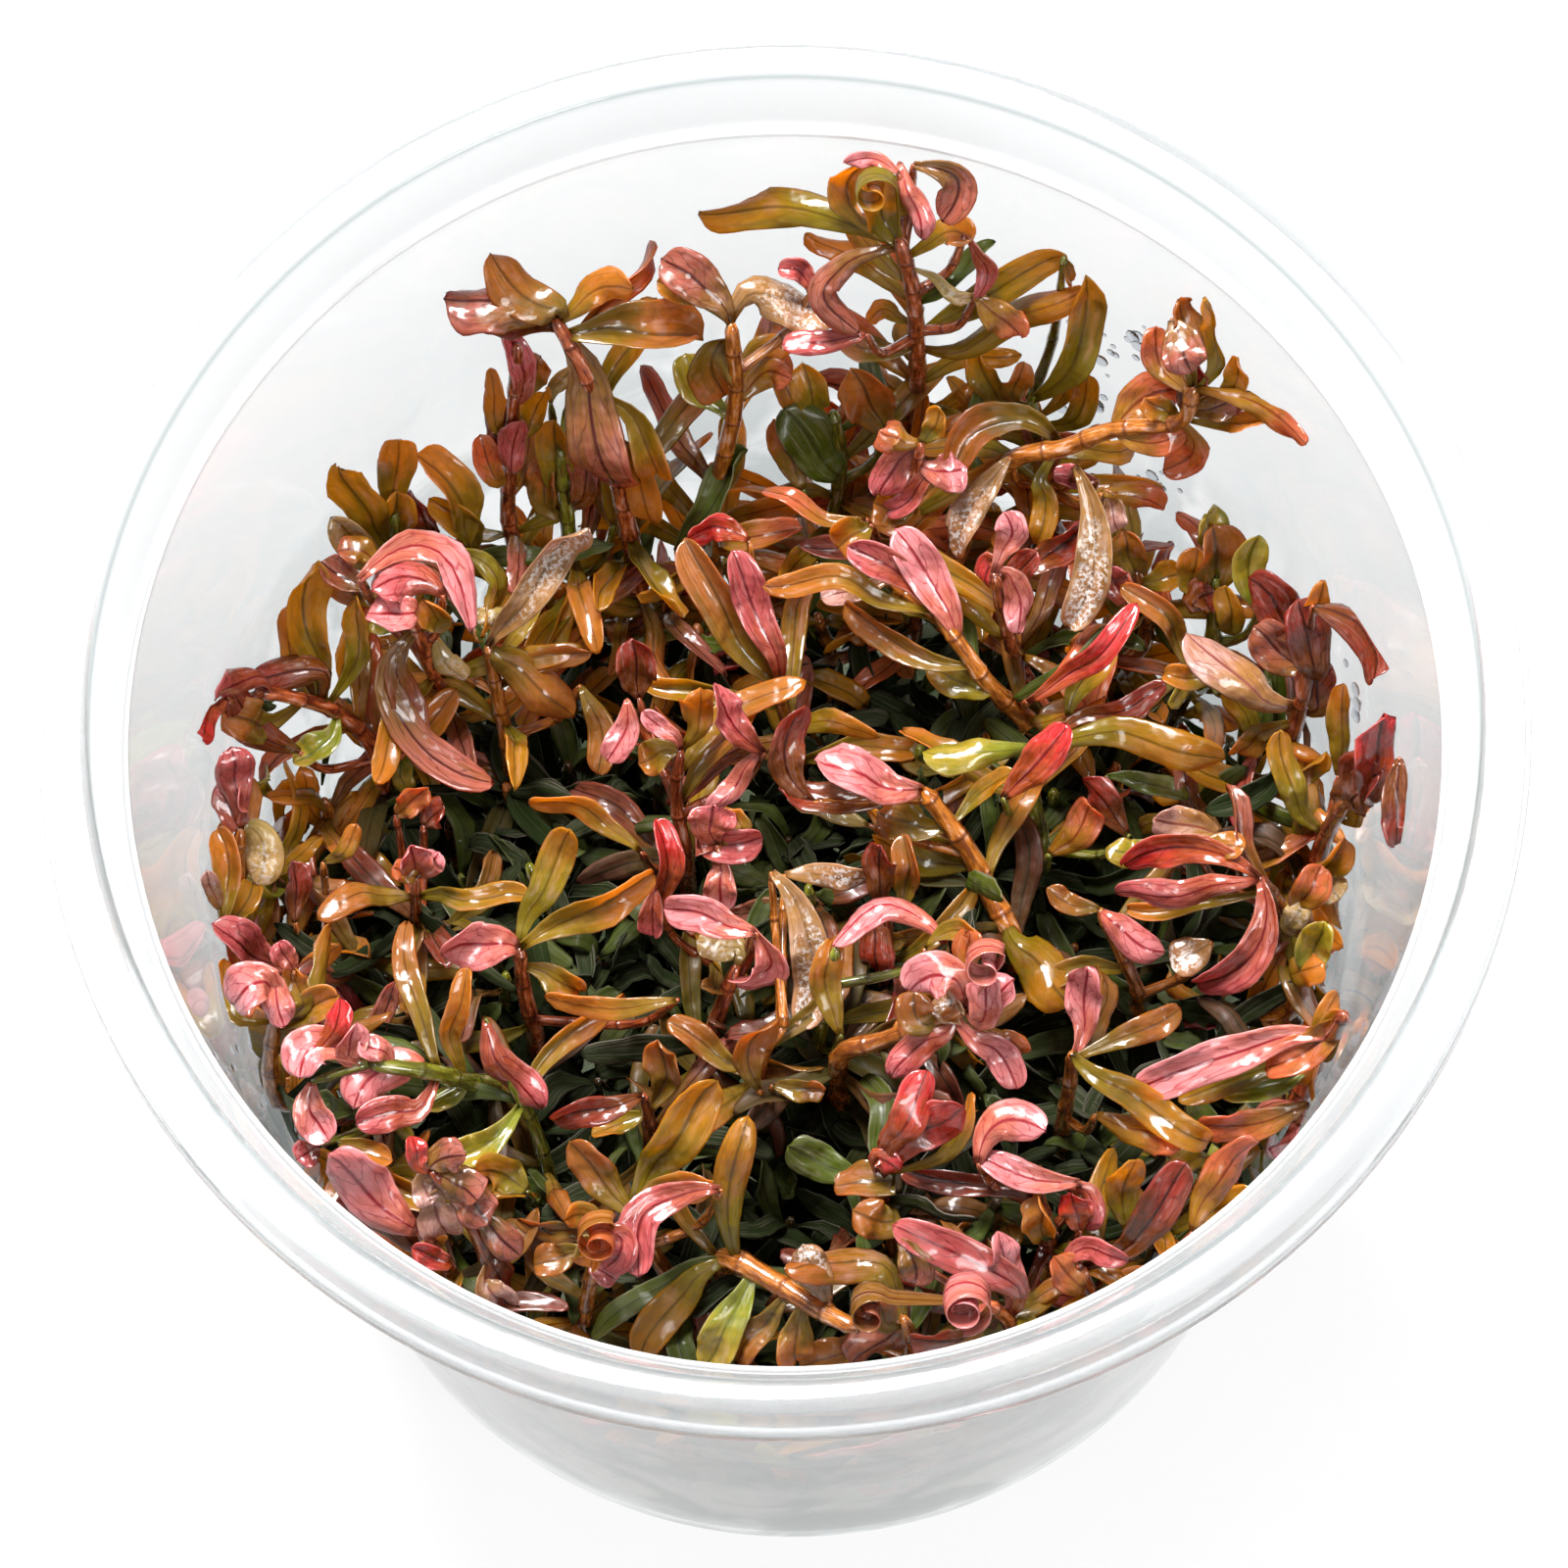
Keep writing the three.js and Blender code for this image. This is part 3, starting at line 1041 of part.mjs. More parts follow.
    leaves: [
      leaf([787, 890, 50], [813, 1052, 44], 3.1, { bend: -2.2, cup: -40 }),
      leaf([800, 892, 46], [886, 896, 47], 2.1),
      leaf([776, 1112, 44], [792, 1044, 49], 2.7, { bend: -1.3, cup: -50 }),
      leaf([760, 1102, 42], [680, 1044, 45], 2.1, { bend: 0.4 }),
      leaf([788, 1108, 44], [842, 1112, 44], 1.9),
    ],
  },
  {
    name: "ribbon_shoot",
    tone: ROSE,
    radius: 0.65,
    stem: [[700, 870, 38], [690, 815, 43], [694, 765, 47]],
    leaves: [
      leaf([780, 768, 48], [733, 704, 53], 2.5, { bend: -0.5, cup: -40 }),
      leaf([776, 766, 48], [726, 829, 45], 1.8),
      leaf([640, 714, 50], [620, 776, 47], 2.3, { bend: -0.5, cup: -40 }),
      leaf([706, 758, 48], [712, 706, 52], 2.8, { cup: -50, bend: 0.5 }),
      leaf([700, 757, 48], [654, 728, 50], 1.5),
      leaf([690, 762, 47], [652, 778, 46], 2.7, { cup: -60 }),
      leaf([652, 712, 45], [644, 652, 49], 3.1, { cup: 50 }),
      leaf([654, 870, 44], [543, 816, 47], 1.9, { bend: 0.9 }),
    ],
  },
  {
    name: "long_brown_pair",
    tone: BROWN,
    radius: 0.7,
    stem: [[812, 760, 36], [800, 725, 41], [795, 700, 44]],
    leaves: [
      leaf([790, 702, 44], [704, 552, 52], 3.1, { bend: -0.5, cup: 40 }),
      leaf([806, 692, 46], [745, 564, 53], 2.8, { cup: -30 }),
      leaf([764, 552, 50], [702, 548, 51], 2.3, { bend: 0.8 }),
    ],
  },
  {
    name: "tiny_pink_rosette",
    tone: SALMON,
    radius: 0.55,
    stem: [[428, 960, 36], [424, 920, 42], [424, 894, 45]],
    leaves: [
      leaf([430, 896, 46], [400, 886, 47], 2.4, { cup: -60 }),
      leaf([424, 892, 46], [420, 864, 49], 2.8, { cup: -60 }),
      leaf([434, 892, 46], [446, 872, 48], 2.2, { cup: -60 }),
      leaf([404, 832, 43], [432, 808, 46], 2.1),
      leaf([432, 842, 43], [452, 824, 45], 2.6, { cup: -50 }),
    ],
  },
];

// Points along the leaves in their nominal places, and one a little below each stem's tip
const LEAF_SHARES = [0, 0.35, 0.7, 1];
const BELOW_TIP = new THREE.Vector3(0, 0, -2.5);
const LEAF_POINTS = SHOOTS.flatMap(({ stem, leaves }) => [
  seenAt(stem[stem.length - 1]).add(BELOW_TIP),
  ...leaves.flatMap((blade) => LEAF_SHARES.map((share) => leafMiddle(blade, leafAxes(blade), share))),
]);

// The undergrowth: lower stems and leaves grown into one another, from the gel up to the shoots.

const ROUND_STEPS = 36;
const RADIAL_STEPS = 9;
const SIDE_LEVELS = 3;
const SHOULDER_HEIGHT = 26; // the sides are plain up to here
const HEADROOM = 1.6; // left under the leaves that stand over it
const HOLLOW = 0.11; // how steeply it rises away from under a leaf, per mm squared
const PIT_RADIUS = 3.2; // of the deep gaps between the shoots
const PIT_SLOPE = 0.35; // how steeply their sides rise, per mm squared

// The floors of the deep gaps, as seen in the picture
const PITS = [
  [925, 695, 29],
  [868, 675, 30],
  [585, 735, 31],
  [805, 838, 30],
  [1100, 915, 31],
  [645, 955, 31],
  [1175, 1035, 32],
  [1050, 1110, 31],
  [585, 1135, 32],
  [830, 1215, 32],
  [430, 850, 32],
].map(seenAt);

// How far out the undergrowth reaches: to the wall at the front and sides, less at the back.
function undergrowthReach(angle, height) {
  const backness = Math.max(0, Math.sin(angle)) ** 1.5;
  const lumps = 0.5 * Math.sin(5 * angle + height * 0.3) + 0.5 * Math.sin(11 * angle - height * 0.2);
  return innerRadius(height) - GAP - 1.2 - backness * BACK_CLEARANCE * (0.4 + height / 65) + lumps;
}

// Height of its top at a place: up to the leaves over it, or to its own height between them.
function undergrowthTop(x, y) {
  const rise = Math.min(1, Math.max(0, (UNDERGROWTH_BACK - y) / UNDERGROWTH_SLOPE));
  const open = SHOULDER_HEIGHT + 3 + (UNDERGROWTH_TOP - SHOULDER_HEIGHT - 3) * rise ** 0.5;
  const lumps = 1.2 * Math.sin(0.42 * x + 1) * Math.cos(0.37 * y);
  const under = LEAF_POINTS.map((p) => p.z - HEADROOM + HOLLOW * ((p.x - x) ** 2 + (p.y - y) ** 2));
  const pits = PITS.map((p) => {
    const far = Math.max(0, Math.hypot(p.x - x, p.y - y) - PIT_RADIUS);
    return p.z + PIT_SLOPE * far ** 2;
  });
  return Math.max(SHOULDER_HEIGHT + 1.5, Math.min(open + lumps, ...under, ...pits));
}

function makeUndergrowth() {
  const bottom = BASE_LIFT + WALL + GEL_DEPTH + GAP;
  const turn = (step) => (step / ROUND_STEPS) * 2 * Math.PI;
  const steps = Array.from({ length: ROUND_STEPS }, (_, step) => step);
  const at = (step, reach, height) =>
    new THREE.Vector3(reach * Math.cos(turn(step)), reach * Math.sin(turn(step)), height);
  const rings = [];
  for (let level = 0; level < SIDE_LEVELS; level++) {
    const height = bottom + ((SHOULDER_HEIGHT - bottom) * level) / (SIDE_LEVELS - 1);
    rings.push(steps.map((step) => at(step, undergrowthReach(turn(step), height), height)));
  }
  for (let ring = RADIAL_STEPS; ring > 0; ring--)
    rings.push(
      steps.map((step) => {
        const edge = undergrowthReach(turn(step), UNDERGROWTH_TOP) - 0.5;
        const point = at(step, (ring / RADIAL_STEPS) * edge, 0);
        point.z = undergrowthTop(point.x, point.y);
        return point;
      }),
    );
  return skinnedSolid(
    new THREE.Vector3(0, 0, bottom),
    rings,
    new THREE.Vector3(0, 0, undergrowthTop(0, 0)),
  );
}

// Assembly

// A leaf that would run into a piece already placed is lifted, lowered or drawn shorter until clear.
const LEAF_TRIES = [
  { lift: 0, length: 1 },
  { lift: 1.2, length: 1 },
  { lift: -1.2, length: 1 },
  { lift: 2.4, length: 1 },
  { lift: -2.4, length: 1 },
  { lift: 3.6, length: 1 },
  { lift: 0, length: 0.75 },
  { lift: 1.2, length: 0.75 },
  { lift: -1.2, length: 0.75 },
  { lift: 0, length: 0.5 },
];
const CLEARANCE = 0.3;
const TOUCH_VOLUME = 1e-6;

const AROUND = [-1, 1].flatMap((side) => [
  [side * CLEARANCE, 0, 0],
  [0, side * CLEARANCE, 0],
  [0, 0, side * CLEARANCE],
]);

// Whether a solid stays clear of others, with room to spare on each side.
function isClear(solid, others) {
  return AROUND.every((step) => {
    const moved = solid.translate(step);
    return others.every((other) => moved.intersect(other).volume() < TOUCH_VOLUME);
  });
}

function near(a, b) {
  const boxA = a.boundingBox();
  const boxB = b.boundingBox();
  return [0, 1, 2].every(
    (axis) =>
      boxA.min[axis] < boxB.max[axis] + 2 * CLEARANCE && boxB.min[axis] < boxA.max[axis] + 2 * CLEARANCE,
  );
}

// A shoot with one more leaf, or null where the leaf can't stand clear and still join its stem.
function withLeaf(shoot, blade, stemPoints, others) {
  for (const { lift, length } of LEAF_TRIES) {
    const tip = blade.foot.clone().lerp(blade.tip, length).add(new THREE.Vector3(0, 0, lift));
    const tried = { ...blade, tip, bend: blade.bend * length, arch: blade.arch * length };
    for (const start of [nearestOnStem(stemPoints, blade.foot), blade.foot]) {
      const made = leafSolid(tried, start);
      if (!isClear(made, others.filter((other) => near(other, made)))) continue;
      const grown = shoot.add(made.intersect(interior));
      if (grown.decompose().length === 1) return grown;
    }
  }
  return null;
}

// A stem's points, with one below them where the plotted ones stop short of the undergrowth.
function rootedRoute(points) {
  const [first] = points;
  const angle = Math.atan2(first.y, first.x);
  const edge = undergrowthReach(angle, SHOULDER_HEIGHT) - 2;
  const inward = Math.min(1, edge / Math.hypot(first.x, first.y));
  const root = new THREE.Vector3(first.x * inward, first.y * inward, 0);
  root.z = undergrowthTop(root.x, root.y) - ROOT_DEPTH;
  return first.z > root.z + 1 ? [root, ...points] : points;
}

// A stem cut off a little clear of the undergrowth, and inside the cup's wall.
function trimmedStem(points, radius) {
  const out = new THREE.Vector2(points[0].x, points[0].y).normalize().multiplyScalar(CLEARANCE);
  const made = [...AROUND, [out.x, out.y, CLEARANCE]].reduce(
    (stem, step) => stem.subtract(undergrowth.translate(step)),
    stemSolid(points, radius).intersect(interior),
  );
  return largestBody(made);
}

// Slivers and the smallest leaves are left to the finish.
function isModelled({ foot, tip, width }) {
  return width >= NARROWEST_LEAF && width * foot.distanceTo(tip) >= SMALLEST_LEAF;
}

const interior = cupInterior();
const undergrowth = makeUndergrowth();

// All the stems stand first, so that no leaf takes the place of a stem.
const routes = SHOOTS.map(({ stem }) => rootedRoute(stem.map(seenAt)));
const shoots = SHOOTS.map(({ radius }, i) => trimmedStem(routes[i], radius));
SHOOTS.forEach(({ leaves }, i) => {
  const others = [undergrowth, ...shoots.filter((_, k) => k !== i)];
  for (const blade of leaves.filter(isModelled))
    shoots[i] = withLeaf(shoots[i], blade, routes[i], others) ?? shoots[i];
});

const plant = new THREE.Group();
plant.add(meshOf("cup", makeCup(), "#eef0f0", 0.12, 0.35));
plant.add(meshOf("gel", makeGel(), "#c9d3b4", 0.25, 0.8));
plant.add(meshOf("undergrowth", undergrowth, "#2f3a17", 0.6));
SHOOTS.forEach(({ name, tone }, i) => plant.add(meshOf(name, largestBody(shoots[i]), tone, 0.45)));

export default plant;
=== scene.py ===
"""A clear plastic culture cup full of red Rotala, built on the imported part.

Lengths are in millimetres until a mesh is made, and +Z is up. The front is -Y.
"""

import math
import random

import bpy
import numpy as np
from mathutils import Matrix


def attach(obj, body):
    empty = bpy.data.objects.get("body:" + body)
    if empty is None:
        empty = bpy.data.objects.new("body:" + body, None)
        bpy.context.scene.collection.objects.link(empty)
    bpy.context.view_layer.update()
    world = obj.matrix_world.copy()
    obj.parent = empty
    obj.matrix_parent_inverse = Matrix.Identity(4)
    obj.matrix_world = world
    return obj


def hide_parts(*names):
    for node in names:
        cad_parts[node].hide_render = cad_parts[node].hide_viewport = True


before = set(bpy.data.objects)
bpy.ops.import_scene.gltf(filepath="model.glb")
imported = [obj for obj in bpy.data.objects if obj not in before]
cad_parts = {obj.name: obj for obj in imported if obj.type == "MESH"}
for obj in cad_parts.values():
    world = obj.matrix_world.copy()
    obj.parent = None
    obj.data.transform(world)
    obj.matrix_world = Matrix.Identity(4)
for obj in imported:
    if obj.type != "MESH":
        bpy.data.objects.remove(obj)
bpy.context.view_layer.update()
rng = random.Random(11)

# The cup, as in the part
CUP_HEIGHT = 80
RIM_RADIUS = 50.5
RIM_DROP = 2.6
SEAT_TOP_RADIUS = 47.0
SEAT_FOOT_RADIUS = 45.3
SEAT_DEPTH = 3.9
LEDGE_WIDTH = 0.7
BASE_RADIUS = 34.8
BASE_CORNER = 2.2
WALL = 0.7
BASE_LIFT = 1.0
FOOT_RING_WIDTH = 3.0
GEL_DEPTH = 9.0
GAP = 0.35
GEL_TOP = BASE_LIFT + WALL + GEL_DEPTH

# The mass of lower stems and leaves, as in the part
UNDERGROWTH_TOP = 46
UNDERGROWTH_BACK = 31
UNDERGROWTH_SLOPE = 22
BACK_CLEARANCE = 7
SHOULDER_HEIGHT = 26
HEADROOM = 1.6
HOLLOW = 0.11
PIT_RADIUS = 3.2
PIT_SLOPE = 0.35

# The camera. Leaves are plotted as (pixel across, pixel down, height) in a 1600 x 1600 picture.
PICTURE_SIZE = 1600
FOCAL_PIXELS = 11762
EYE = np.array((0, -273.3, 808.6))
AIM = np.array((-0.15, 6.04, 50))
EYE_ROLL = math.radians(1.6)
SENSOR = 36


def unit(vector):
    """A vector of length 1 that points the same way."""
    return vector / np.linalg.norm(vector)


LOOK = unit(AIM - EYE)
LEVEL = unit(np.cross(LOOK, (0, 0, 1)))
UPRIGHT = np.cross(LEVEL, LOOK)
PICTURE_RIGHT = LEVEL * math.cos(EYE_ROLL) - UPRIGHT * math.sin(EYE_ROLL)
PICTURE_UP = LEVEL * math.sin(EYE_ROLL) + UPRIGHT * math.cos(EYE_ROLL)
TO_EYE = -LOOK


def seen_at(place):
    """The point seen at a pixel of the picture, at a height."""
    across, down, height = place
    x = (across - PICTURE_SIZE / 2) / FOCAL_PIXELS
    y = (PICTURE_SIZE / 2 - down) / FOCAL_PIXELS
    ray = LOOK + PICTURE_RIGHT * x + PICTURE_UP * y
    return EYE + ray * ((height - EYE[2]) / ray[2])


def inner_radius(height):
    """Radius of the cup's inner face at a height, up to the ledge and then over it."""
    top = CUP_HEIGHT - SEAT_DEPTH - LEDGE_WIDTH
    foot = BASE_RADIUS - WALL
    if height > top:
        share = min(1, (height - top) / (CUP_HEIGHT - top))
        return SEAT_FOOT_RADIUS - LEDGE_WIDTH + share * (SEAT_TOP_RADIUS - SEAT_FOOT_RADIUS + LEDGE_WIDTH)
    return foot + (height - BASE_LIFT) / (top - BASE_LIFT) * (SEAT_FOOT_RADIUS - LEDGE_WIDTH - foot)


def held_inside(points, margin):
    """Points brought back inside the wall and under the rim where they pass them."""
    points = np.array(points, float)
    heights = points[:, 2] = np.minimum(points[:, 2], CUP_HEIGHT - 0.3)
    most = np.array([inner_radius(height) for height in heights]) - margin
    far = np.hypot(points[:, 0], points[:, 1])
    points[:, :2] *= np.minimum(1, most / np.maximum(far, 1e-6))[:, None]
    return points


def add_camera():
    """The camera at the fitted viewpoint of the photograph."""
    data = bpy.data.cameras.new("camera")
    data.sensor_width = SENSOR
    data.sensor_fit = "HORIZONTAL"
    data.lens = FOCAL_PIXELS / PICTURE_SIZE * SENSOR
    data.clip_end = 10
    camera = bpy.data.objects.new("camera", data)
    axes = Matrix((PICTURE_RIGHT, PICTURE_UP, TO_EYE)).transposed().to_4x4()
    camera.matrix_world = Matrix.Translation(EYE / 1000) @ axes
    bpy.context.scene.collection.objects.link(camera)
    bpy.context.scene.camera = camera


# Linear colours that every leaf's own are mixed with: a pale tint for its light streaks and edges, partly
# painted sheen, and painted shade for leaves deep among the stems
PALE_SHEEN = (0.74, 0.58, 0.52, 1)
DEEP_SHADE = (0.011, 0.022, 0.003, 1)


def tone(colours, through, **more):
    """The look of a kind of leaf.

    The colours are those of its face, its foot, its veins, its underside and the light that passes
    through it, and through is how much passes. More can say how strong the veins are (lines), how dark
    the streaks are (deeper), how light the streaks are, partly a painted sheen (paler), whether the edge
    has the veins' colour instead of a painted highlight (edged), how much painted sparkle specks the face
    (film), and how wet it is (coat, shine, matte).
    """
    names = ("face", "base", "vein", "under", "glow")
    return dict(zip(names, colours.split()), through=through, **more)


TONES = {
    "PINK": tone("e68c90 c4684c 96202a c07064 f07468", 0.32, lines=0.75, deeper=0.35),
    "ROSE": tone("c65a5e a64c2c 761418 a65248 e84c3c", 0.34, lines=0.75, deeper=0.5),
    "RED": tone("c6242a a6480e 6e0806 aa3426 f42812", 0.34, lines=0.6, paler=0.2),
    "CRIMSON": tone("8e2c1e 804208 420c06 7a341e e04a1c", 0.42, lines=0.55, edged=1),
    "SALMON": tone("c66c42 b08014 84320a b47a40 fc8630", 0.52, lines=0.45, edged=1),
    "MAUVE": tone("aa6050 8e6212 561a10 94603e e87038", 0.46, lines=0.6, edged=1),
    "LILAC": tone("cc9a90 a67430 86443a b48c7c e08c74", 0.32, lines=0.55),
    "AMBER": tone("c4802a a88a16 723804 ac7e28 ffb828", 0.64),
    "BROWN": tone("a46628 927416 422406 8e6630 f09c24", 0.54, edged=1),
    "SILVER": tone("b07c50 9a6c34 563610 9a7448 d8904c", 0.34, film=0.85),
    "CREAM": tone("ccaa6c a88c40 765624 b89c5c f4c860", 0.38, film=0.5),
    "OLIVE": tone("ae821c 9c8a14 563404 9c7a24 ffc028", 0.64, edged=1),
    "LIME": tone("b89a30 848c14 565608 9c9028 ecd41c", 0.44),
    "GREEN": tone("4a5010 50600a 262a06 4e5618 98a40c", 0.38, coat=0.2, shine=0.4, matte=0.15, paler=0.2),
    # The darkest leaves: dark green, their near-black partly painted shade among the stems
    "DARK": tone("1a1e08 20260a 070802 1c220a 38460a", 0.2, coat=0.0, shine=0.15, matte=0.35, paler=0),
}
PINK, ROSE, RED, CRIMSON, SALMON = "PINK", "ROSE", "RED", "CRIMSON", "SALMON"
MAUVE, LILAC, AMBER, BROWN, SILVER = "MAUVE", "LILAC", "AMBER", "BROWN", "SILVER"
CREAM, OLIVE, LIME, GREEN, DARK = "CREAM", "OLIVE", "LIME", "GREEN", "DARK"


# Plotted places: the most one moves up or down to get inside the wall, and the room it keeps
MOST_MOVED = 8
BELOW_RIM = 1.5
LEAF_ROOM = 0.6
STEM_ROOM = 0.2


def seen_inside(place, margin):
    """The point seen at a pixel, moved along the view by as little as puts it inside the wall."""
    across, down, height = place
    for move in np.arange(0, MOST_MOVED, 0.5):
        for level in (height + move, height - move):
            point = seen_at((across, down, level))
            if GEL_TOP < level < CUP_HEIGHT - BELOW_RIM:
                if math.hypot(point[0], point[1]) < inner_radius(level) - margin:
                    return point
    return held_inside(seen_at(place)[None], margin)[0]


def leaf(foot, tip, width, tone, bend=0, arch=0, roll=0, cup=0):
    """A leaf's ends and how its blade runs. bend bows it sideways and arch lifts it, in mm.

    roll turns its face away from the viewpoint, and cup curls its edges, in degrees.
    """
    ends = dict(foot=seen_inside(foot, LEAF_ROOM), tip=seen_inside(tip, LEAF_ROOM))
    return dict(ends, width=width, tone=tone, bend=bend, arch=arch, roll=roll, cup=cup)


SHOOTS = []


def shoot(name, tone, radius, stem, leaves):
    """Adds a shoot: its stem's tone, radius and route, and its leaves."""
    stem = [seen_inside(place, radius + STEM_ROOM) for place in stem]
    SHOOTS.append(dict(name=name, tone=tone, radius=radius, stem=stem, leaves=leaves))


# The shoots, from the back of the cup to the front

stem = [(934, 480, 34), (936, 377, 52), (932, 300, 65), (918, 245, 72)]
shoot("tall_shoot", SALMON, 0.85, stem, [
    leaf((902, 243, 71), (709, 218, 67), 3.0, OLIVE, bend=1.1, cup=40, roll=-15),
    leaf((900, 250, 71), (868, 341, 66), 2.7, MAUVE, bend=2.2, arch=1.6, roll=20),
    leaf((884, 342, 65), (799, 353, 64), 2.5, ROSE, cup=-50),
    leaf((900, 240, 71), (884, 166, 76), 2.6, AMBER, bend=-2.2, roll=-35),
    leaf((918, 166, 77), (943, 247, 73), 2.4, PINK, cup=-60, arch=0.8),
    leaf((932, 168, 77), (962, 224, 73), 2.8, MAUVE, bend=-2.1, cup=-70, arch=0.6),
    leaf((912, 240, 71), (884, 188, 75), 4.0, OLIVE, cup=110),
    leaf((918, 178, 77), (862, 165, 77), 1.3, PINK, bend=0.6),
    leaf((944, 260, 70), (990, 243, 72), 2.5, AMBER, bend=-1.1, roll=-25),
    leaf((984, 240, 72), (1000, 302, 66), 1.6, ROSE, bend=-0.9, roll=30),
    leaf((996, 303, 66), (1042, 343, 63), 2.8, SALMON, cup=-40),
    leaf((943, 272, 69), (1006, 309, 65), 1.2, CREAM, bend=0.5, roll=30),
    leaf((945, 348, 58), (1086, 266, 63), 2.7, OLIVE, bend=-0.9, cup=-30),
    leaf((945, 377, 56), (1101, 293, 61), 2.6, AMBER, cup=40),
    leaf((921, 334, 60), (884, 326, 59), 1.5, AMBER, bend=0.9),
    leaf((918, 366, 56), (864, 348, 55), 2.4, BROWN, cup=50),
])
stem = [(1062, 490, 40), (1058, 440, 48), (1052, 408, 53)]
shoot("back_right_shoot", OLIVE, 0.7, stem, [
    leaf((1057, 412, 53), (1111, 288, 62), 2.8, OLIVE, bend=1.0, cup=40),
    leaf((1030, 418, 52), (1042, 372, 57), 2.2, BROWN, cup=60),
    leaf((1028, 420, 50), (1002, 360, 55), 2.5, OLIVE, cup=40, bend=-0.5),
    leaf((1078, 420, 50), (1102, 368, 53), 2.0, AMBER, cup=40),
    leaf((1074, 440, 49), (1108, 388, 51), 2.1, OLIVE, bend=0.8),
    leaf((1086, 262, 63), (1094, 290, 61), 1.0, BROWN),
])
stem = [(992, 512, 44), (1035, 468, 53), (1085, 457, 56), (1137, 438, 59), (1204, 430, 62), (1218, 395, 66)]
shoot("right_shoot", AMBER, 0.85, stem, [
    leaf((1137, 440, 59), (1205, 398, 62), 3.6, SALMON, bend=-0.8, cup=-50),
    leaf((1137, 445, 59), (1206, 441, 61), 2.2, SALMON, bend=0.6, cup=40),
    leaf((1200, 392, 65), (1179, 334, 68), 2.6, SALMON, bend=-0.6, cup=-50),
    leaf((1214, 372, 67), (1206, 304, 72), 3.0, BROWN, cup=60),
    leaf((1196, 326, 71), (1216, 380, 70), 3.2, MAUVE, cup=-60, arch=0.8),
    leaf((1236, 396, 65), (1224, 304, 71), 2.2, OLIVE, bend=1.0, cup=40),
    leaf((1212, 430, 62), (1222, 368, 67), 2.8, CRIMSON, cup=-40),
    leaf((1234, 402, 64), (1263, 372, 67), 2.0, AMBER, bend=0.8, roll=30),
    leaf((1244, 400, 66), (1330, 450, 66), 2.6, SALMON, bend=-0.7, cup=40),
    leaf((1218, 421, 63), (1266, 408, 64), 2.3, MAUVE, cup=50),
    leaf((1234, 434, 61), (1293, 430, 60), 1.7, AMBER),
    leaf((1222, 438, 61), (1189, 480, 57), 2.6, SALMON, bend=-0.6, cup=30),
    leaf((1202, 428, 61), (1168, 406, 63), 2.0, AMBER, cup=80),
])
stem = [(1062, 540, 40), (1068, 490, 48), (1082, 455, 53)]
shoot("drooping_shoot", BROWN, 0.75, stem, [
    leaf((1082, 442, 55), (974, 482, 54), 3.2, BROWN, bend=2.3, roll=20, arch=0.8),
    leaf((1030, 467, 54), (972, 569, 50), 2.7, SILVER, cup=-50, bend=0.5),
    leaf((1098, 476, 55), (1087, 641, 48), 2.9, SILVER, bend=-2.0, cup=-50, roll=10),
    leaf((1045, 476, 53), (1060, 556, 49), 2.0, OLIVE, bend=-0.9),
    leaf((1124, 504, 54), (1189, 521, 52), 2.1, SALMON, bend=-0.5),
    leaf((1130, 500, 54), (1141, 541, 51), 1.9, LILAC, cup=-50),
    leaf((1120, 490, 52), (1075, 486, 52), 1.8, ROSE),
    leaf((1038, 592, 49), (1106, 536, 51), 2.5, CRIMSON, cup=40),
])
stem = [(934, 560, 42), (930, 505, 51), (940, 452, 57)]
shoot("small_pink_shoot", ROSE, 0.6, stem, [
    leaf((930, 455, 57), (899, 440, 58), 2.6, SALMON, cup=-50),
    leaf((945, 452, 57), (960, 419, 60), 2.9, OLIVE, cup=110),
    leaf((947, 452, 56), (896, 507, 53), 2.7, ROSE, cup=50, bend=0.6),
    leaf((944, 482, 55), (986, 478, 55), 3.2, PINK, cup=50),
    leaf((955, 468, 55), (905, 524, 51), 1.8, ROSE, bend=-0.5),
    leaf((932, 524, 50), (892, 514, 50), 2.9, AMBER, cup=130),
    leaf((884, 530, 50), (780, 496, 51), 1.6, SALMON, bend=-0.8, roll=20),
    leaf((888, 536, 50), (856, 556, 50), 3.0, AMBER, cup=140),
])
stem = [(1058, 745, 38), (1010, 700, 44), (984, 664, 47), (955, 625, 49)]
shoot("centre_pink_shoot", AMBER, 0.8, stem, [
    leaf((978, 652, 48), (915, 546, 54), 3.2, PINK, cup=50, bend=0.7),
    leaf((945, 602, 50), (867, 557, 54), 2.7, ROSE, cup=50),
    leaf((938, 630, 50), (781, 592, 52), 2.0, AMBER, bend=1.0, roll=15),
    leaf((985, 690, 46), (861, 618, 48), 2.2, BROWN, cup=50, bend=-0.3),
    leaf((1012, 714, 44), (952, 678, 45), 2.7, OLIVE, cup=-40),
    leaf((906, 592, 46), (838, 612, 46), 1.9, LILAC, cup=-40),
])
stem = [(1040, 676, 38), (1030, 650, 46), (1014, 585, 54)]
shoot("folded_pink_shoot", SALMON, 0.7, stem, [
    leaf((1012, 566, 55), (1024, 523, 58), 2.5, PINK, bend=1.0, cup=-70),
    leaf((1022, 562, 55), (1008, 603, 52), 2.3, RED, bend=0.5),
    leaf((1022, 568, 55), (1040, 645, 50), 2.2, PINK, bend=-0.5, roll=20),
    leaf((1024, 604, 49), (1058, 562, 52), 2.1, CRIMSON),
    leaf((1048, 716, 46), (1152, 625, 54), 2.1, RED, bend=0.7, cup=50),
    leaf((1090, 732, 45), (1136, 660, 48), 2.1, OLIVE, bend=-0.6),
])
stem = [(648, 575, 40), (628, 480, 51), (598, 385, 61), (566, 325, 66)]
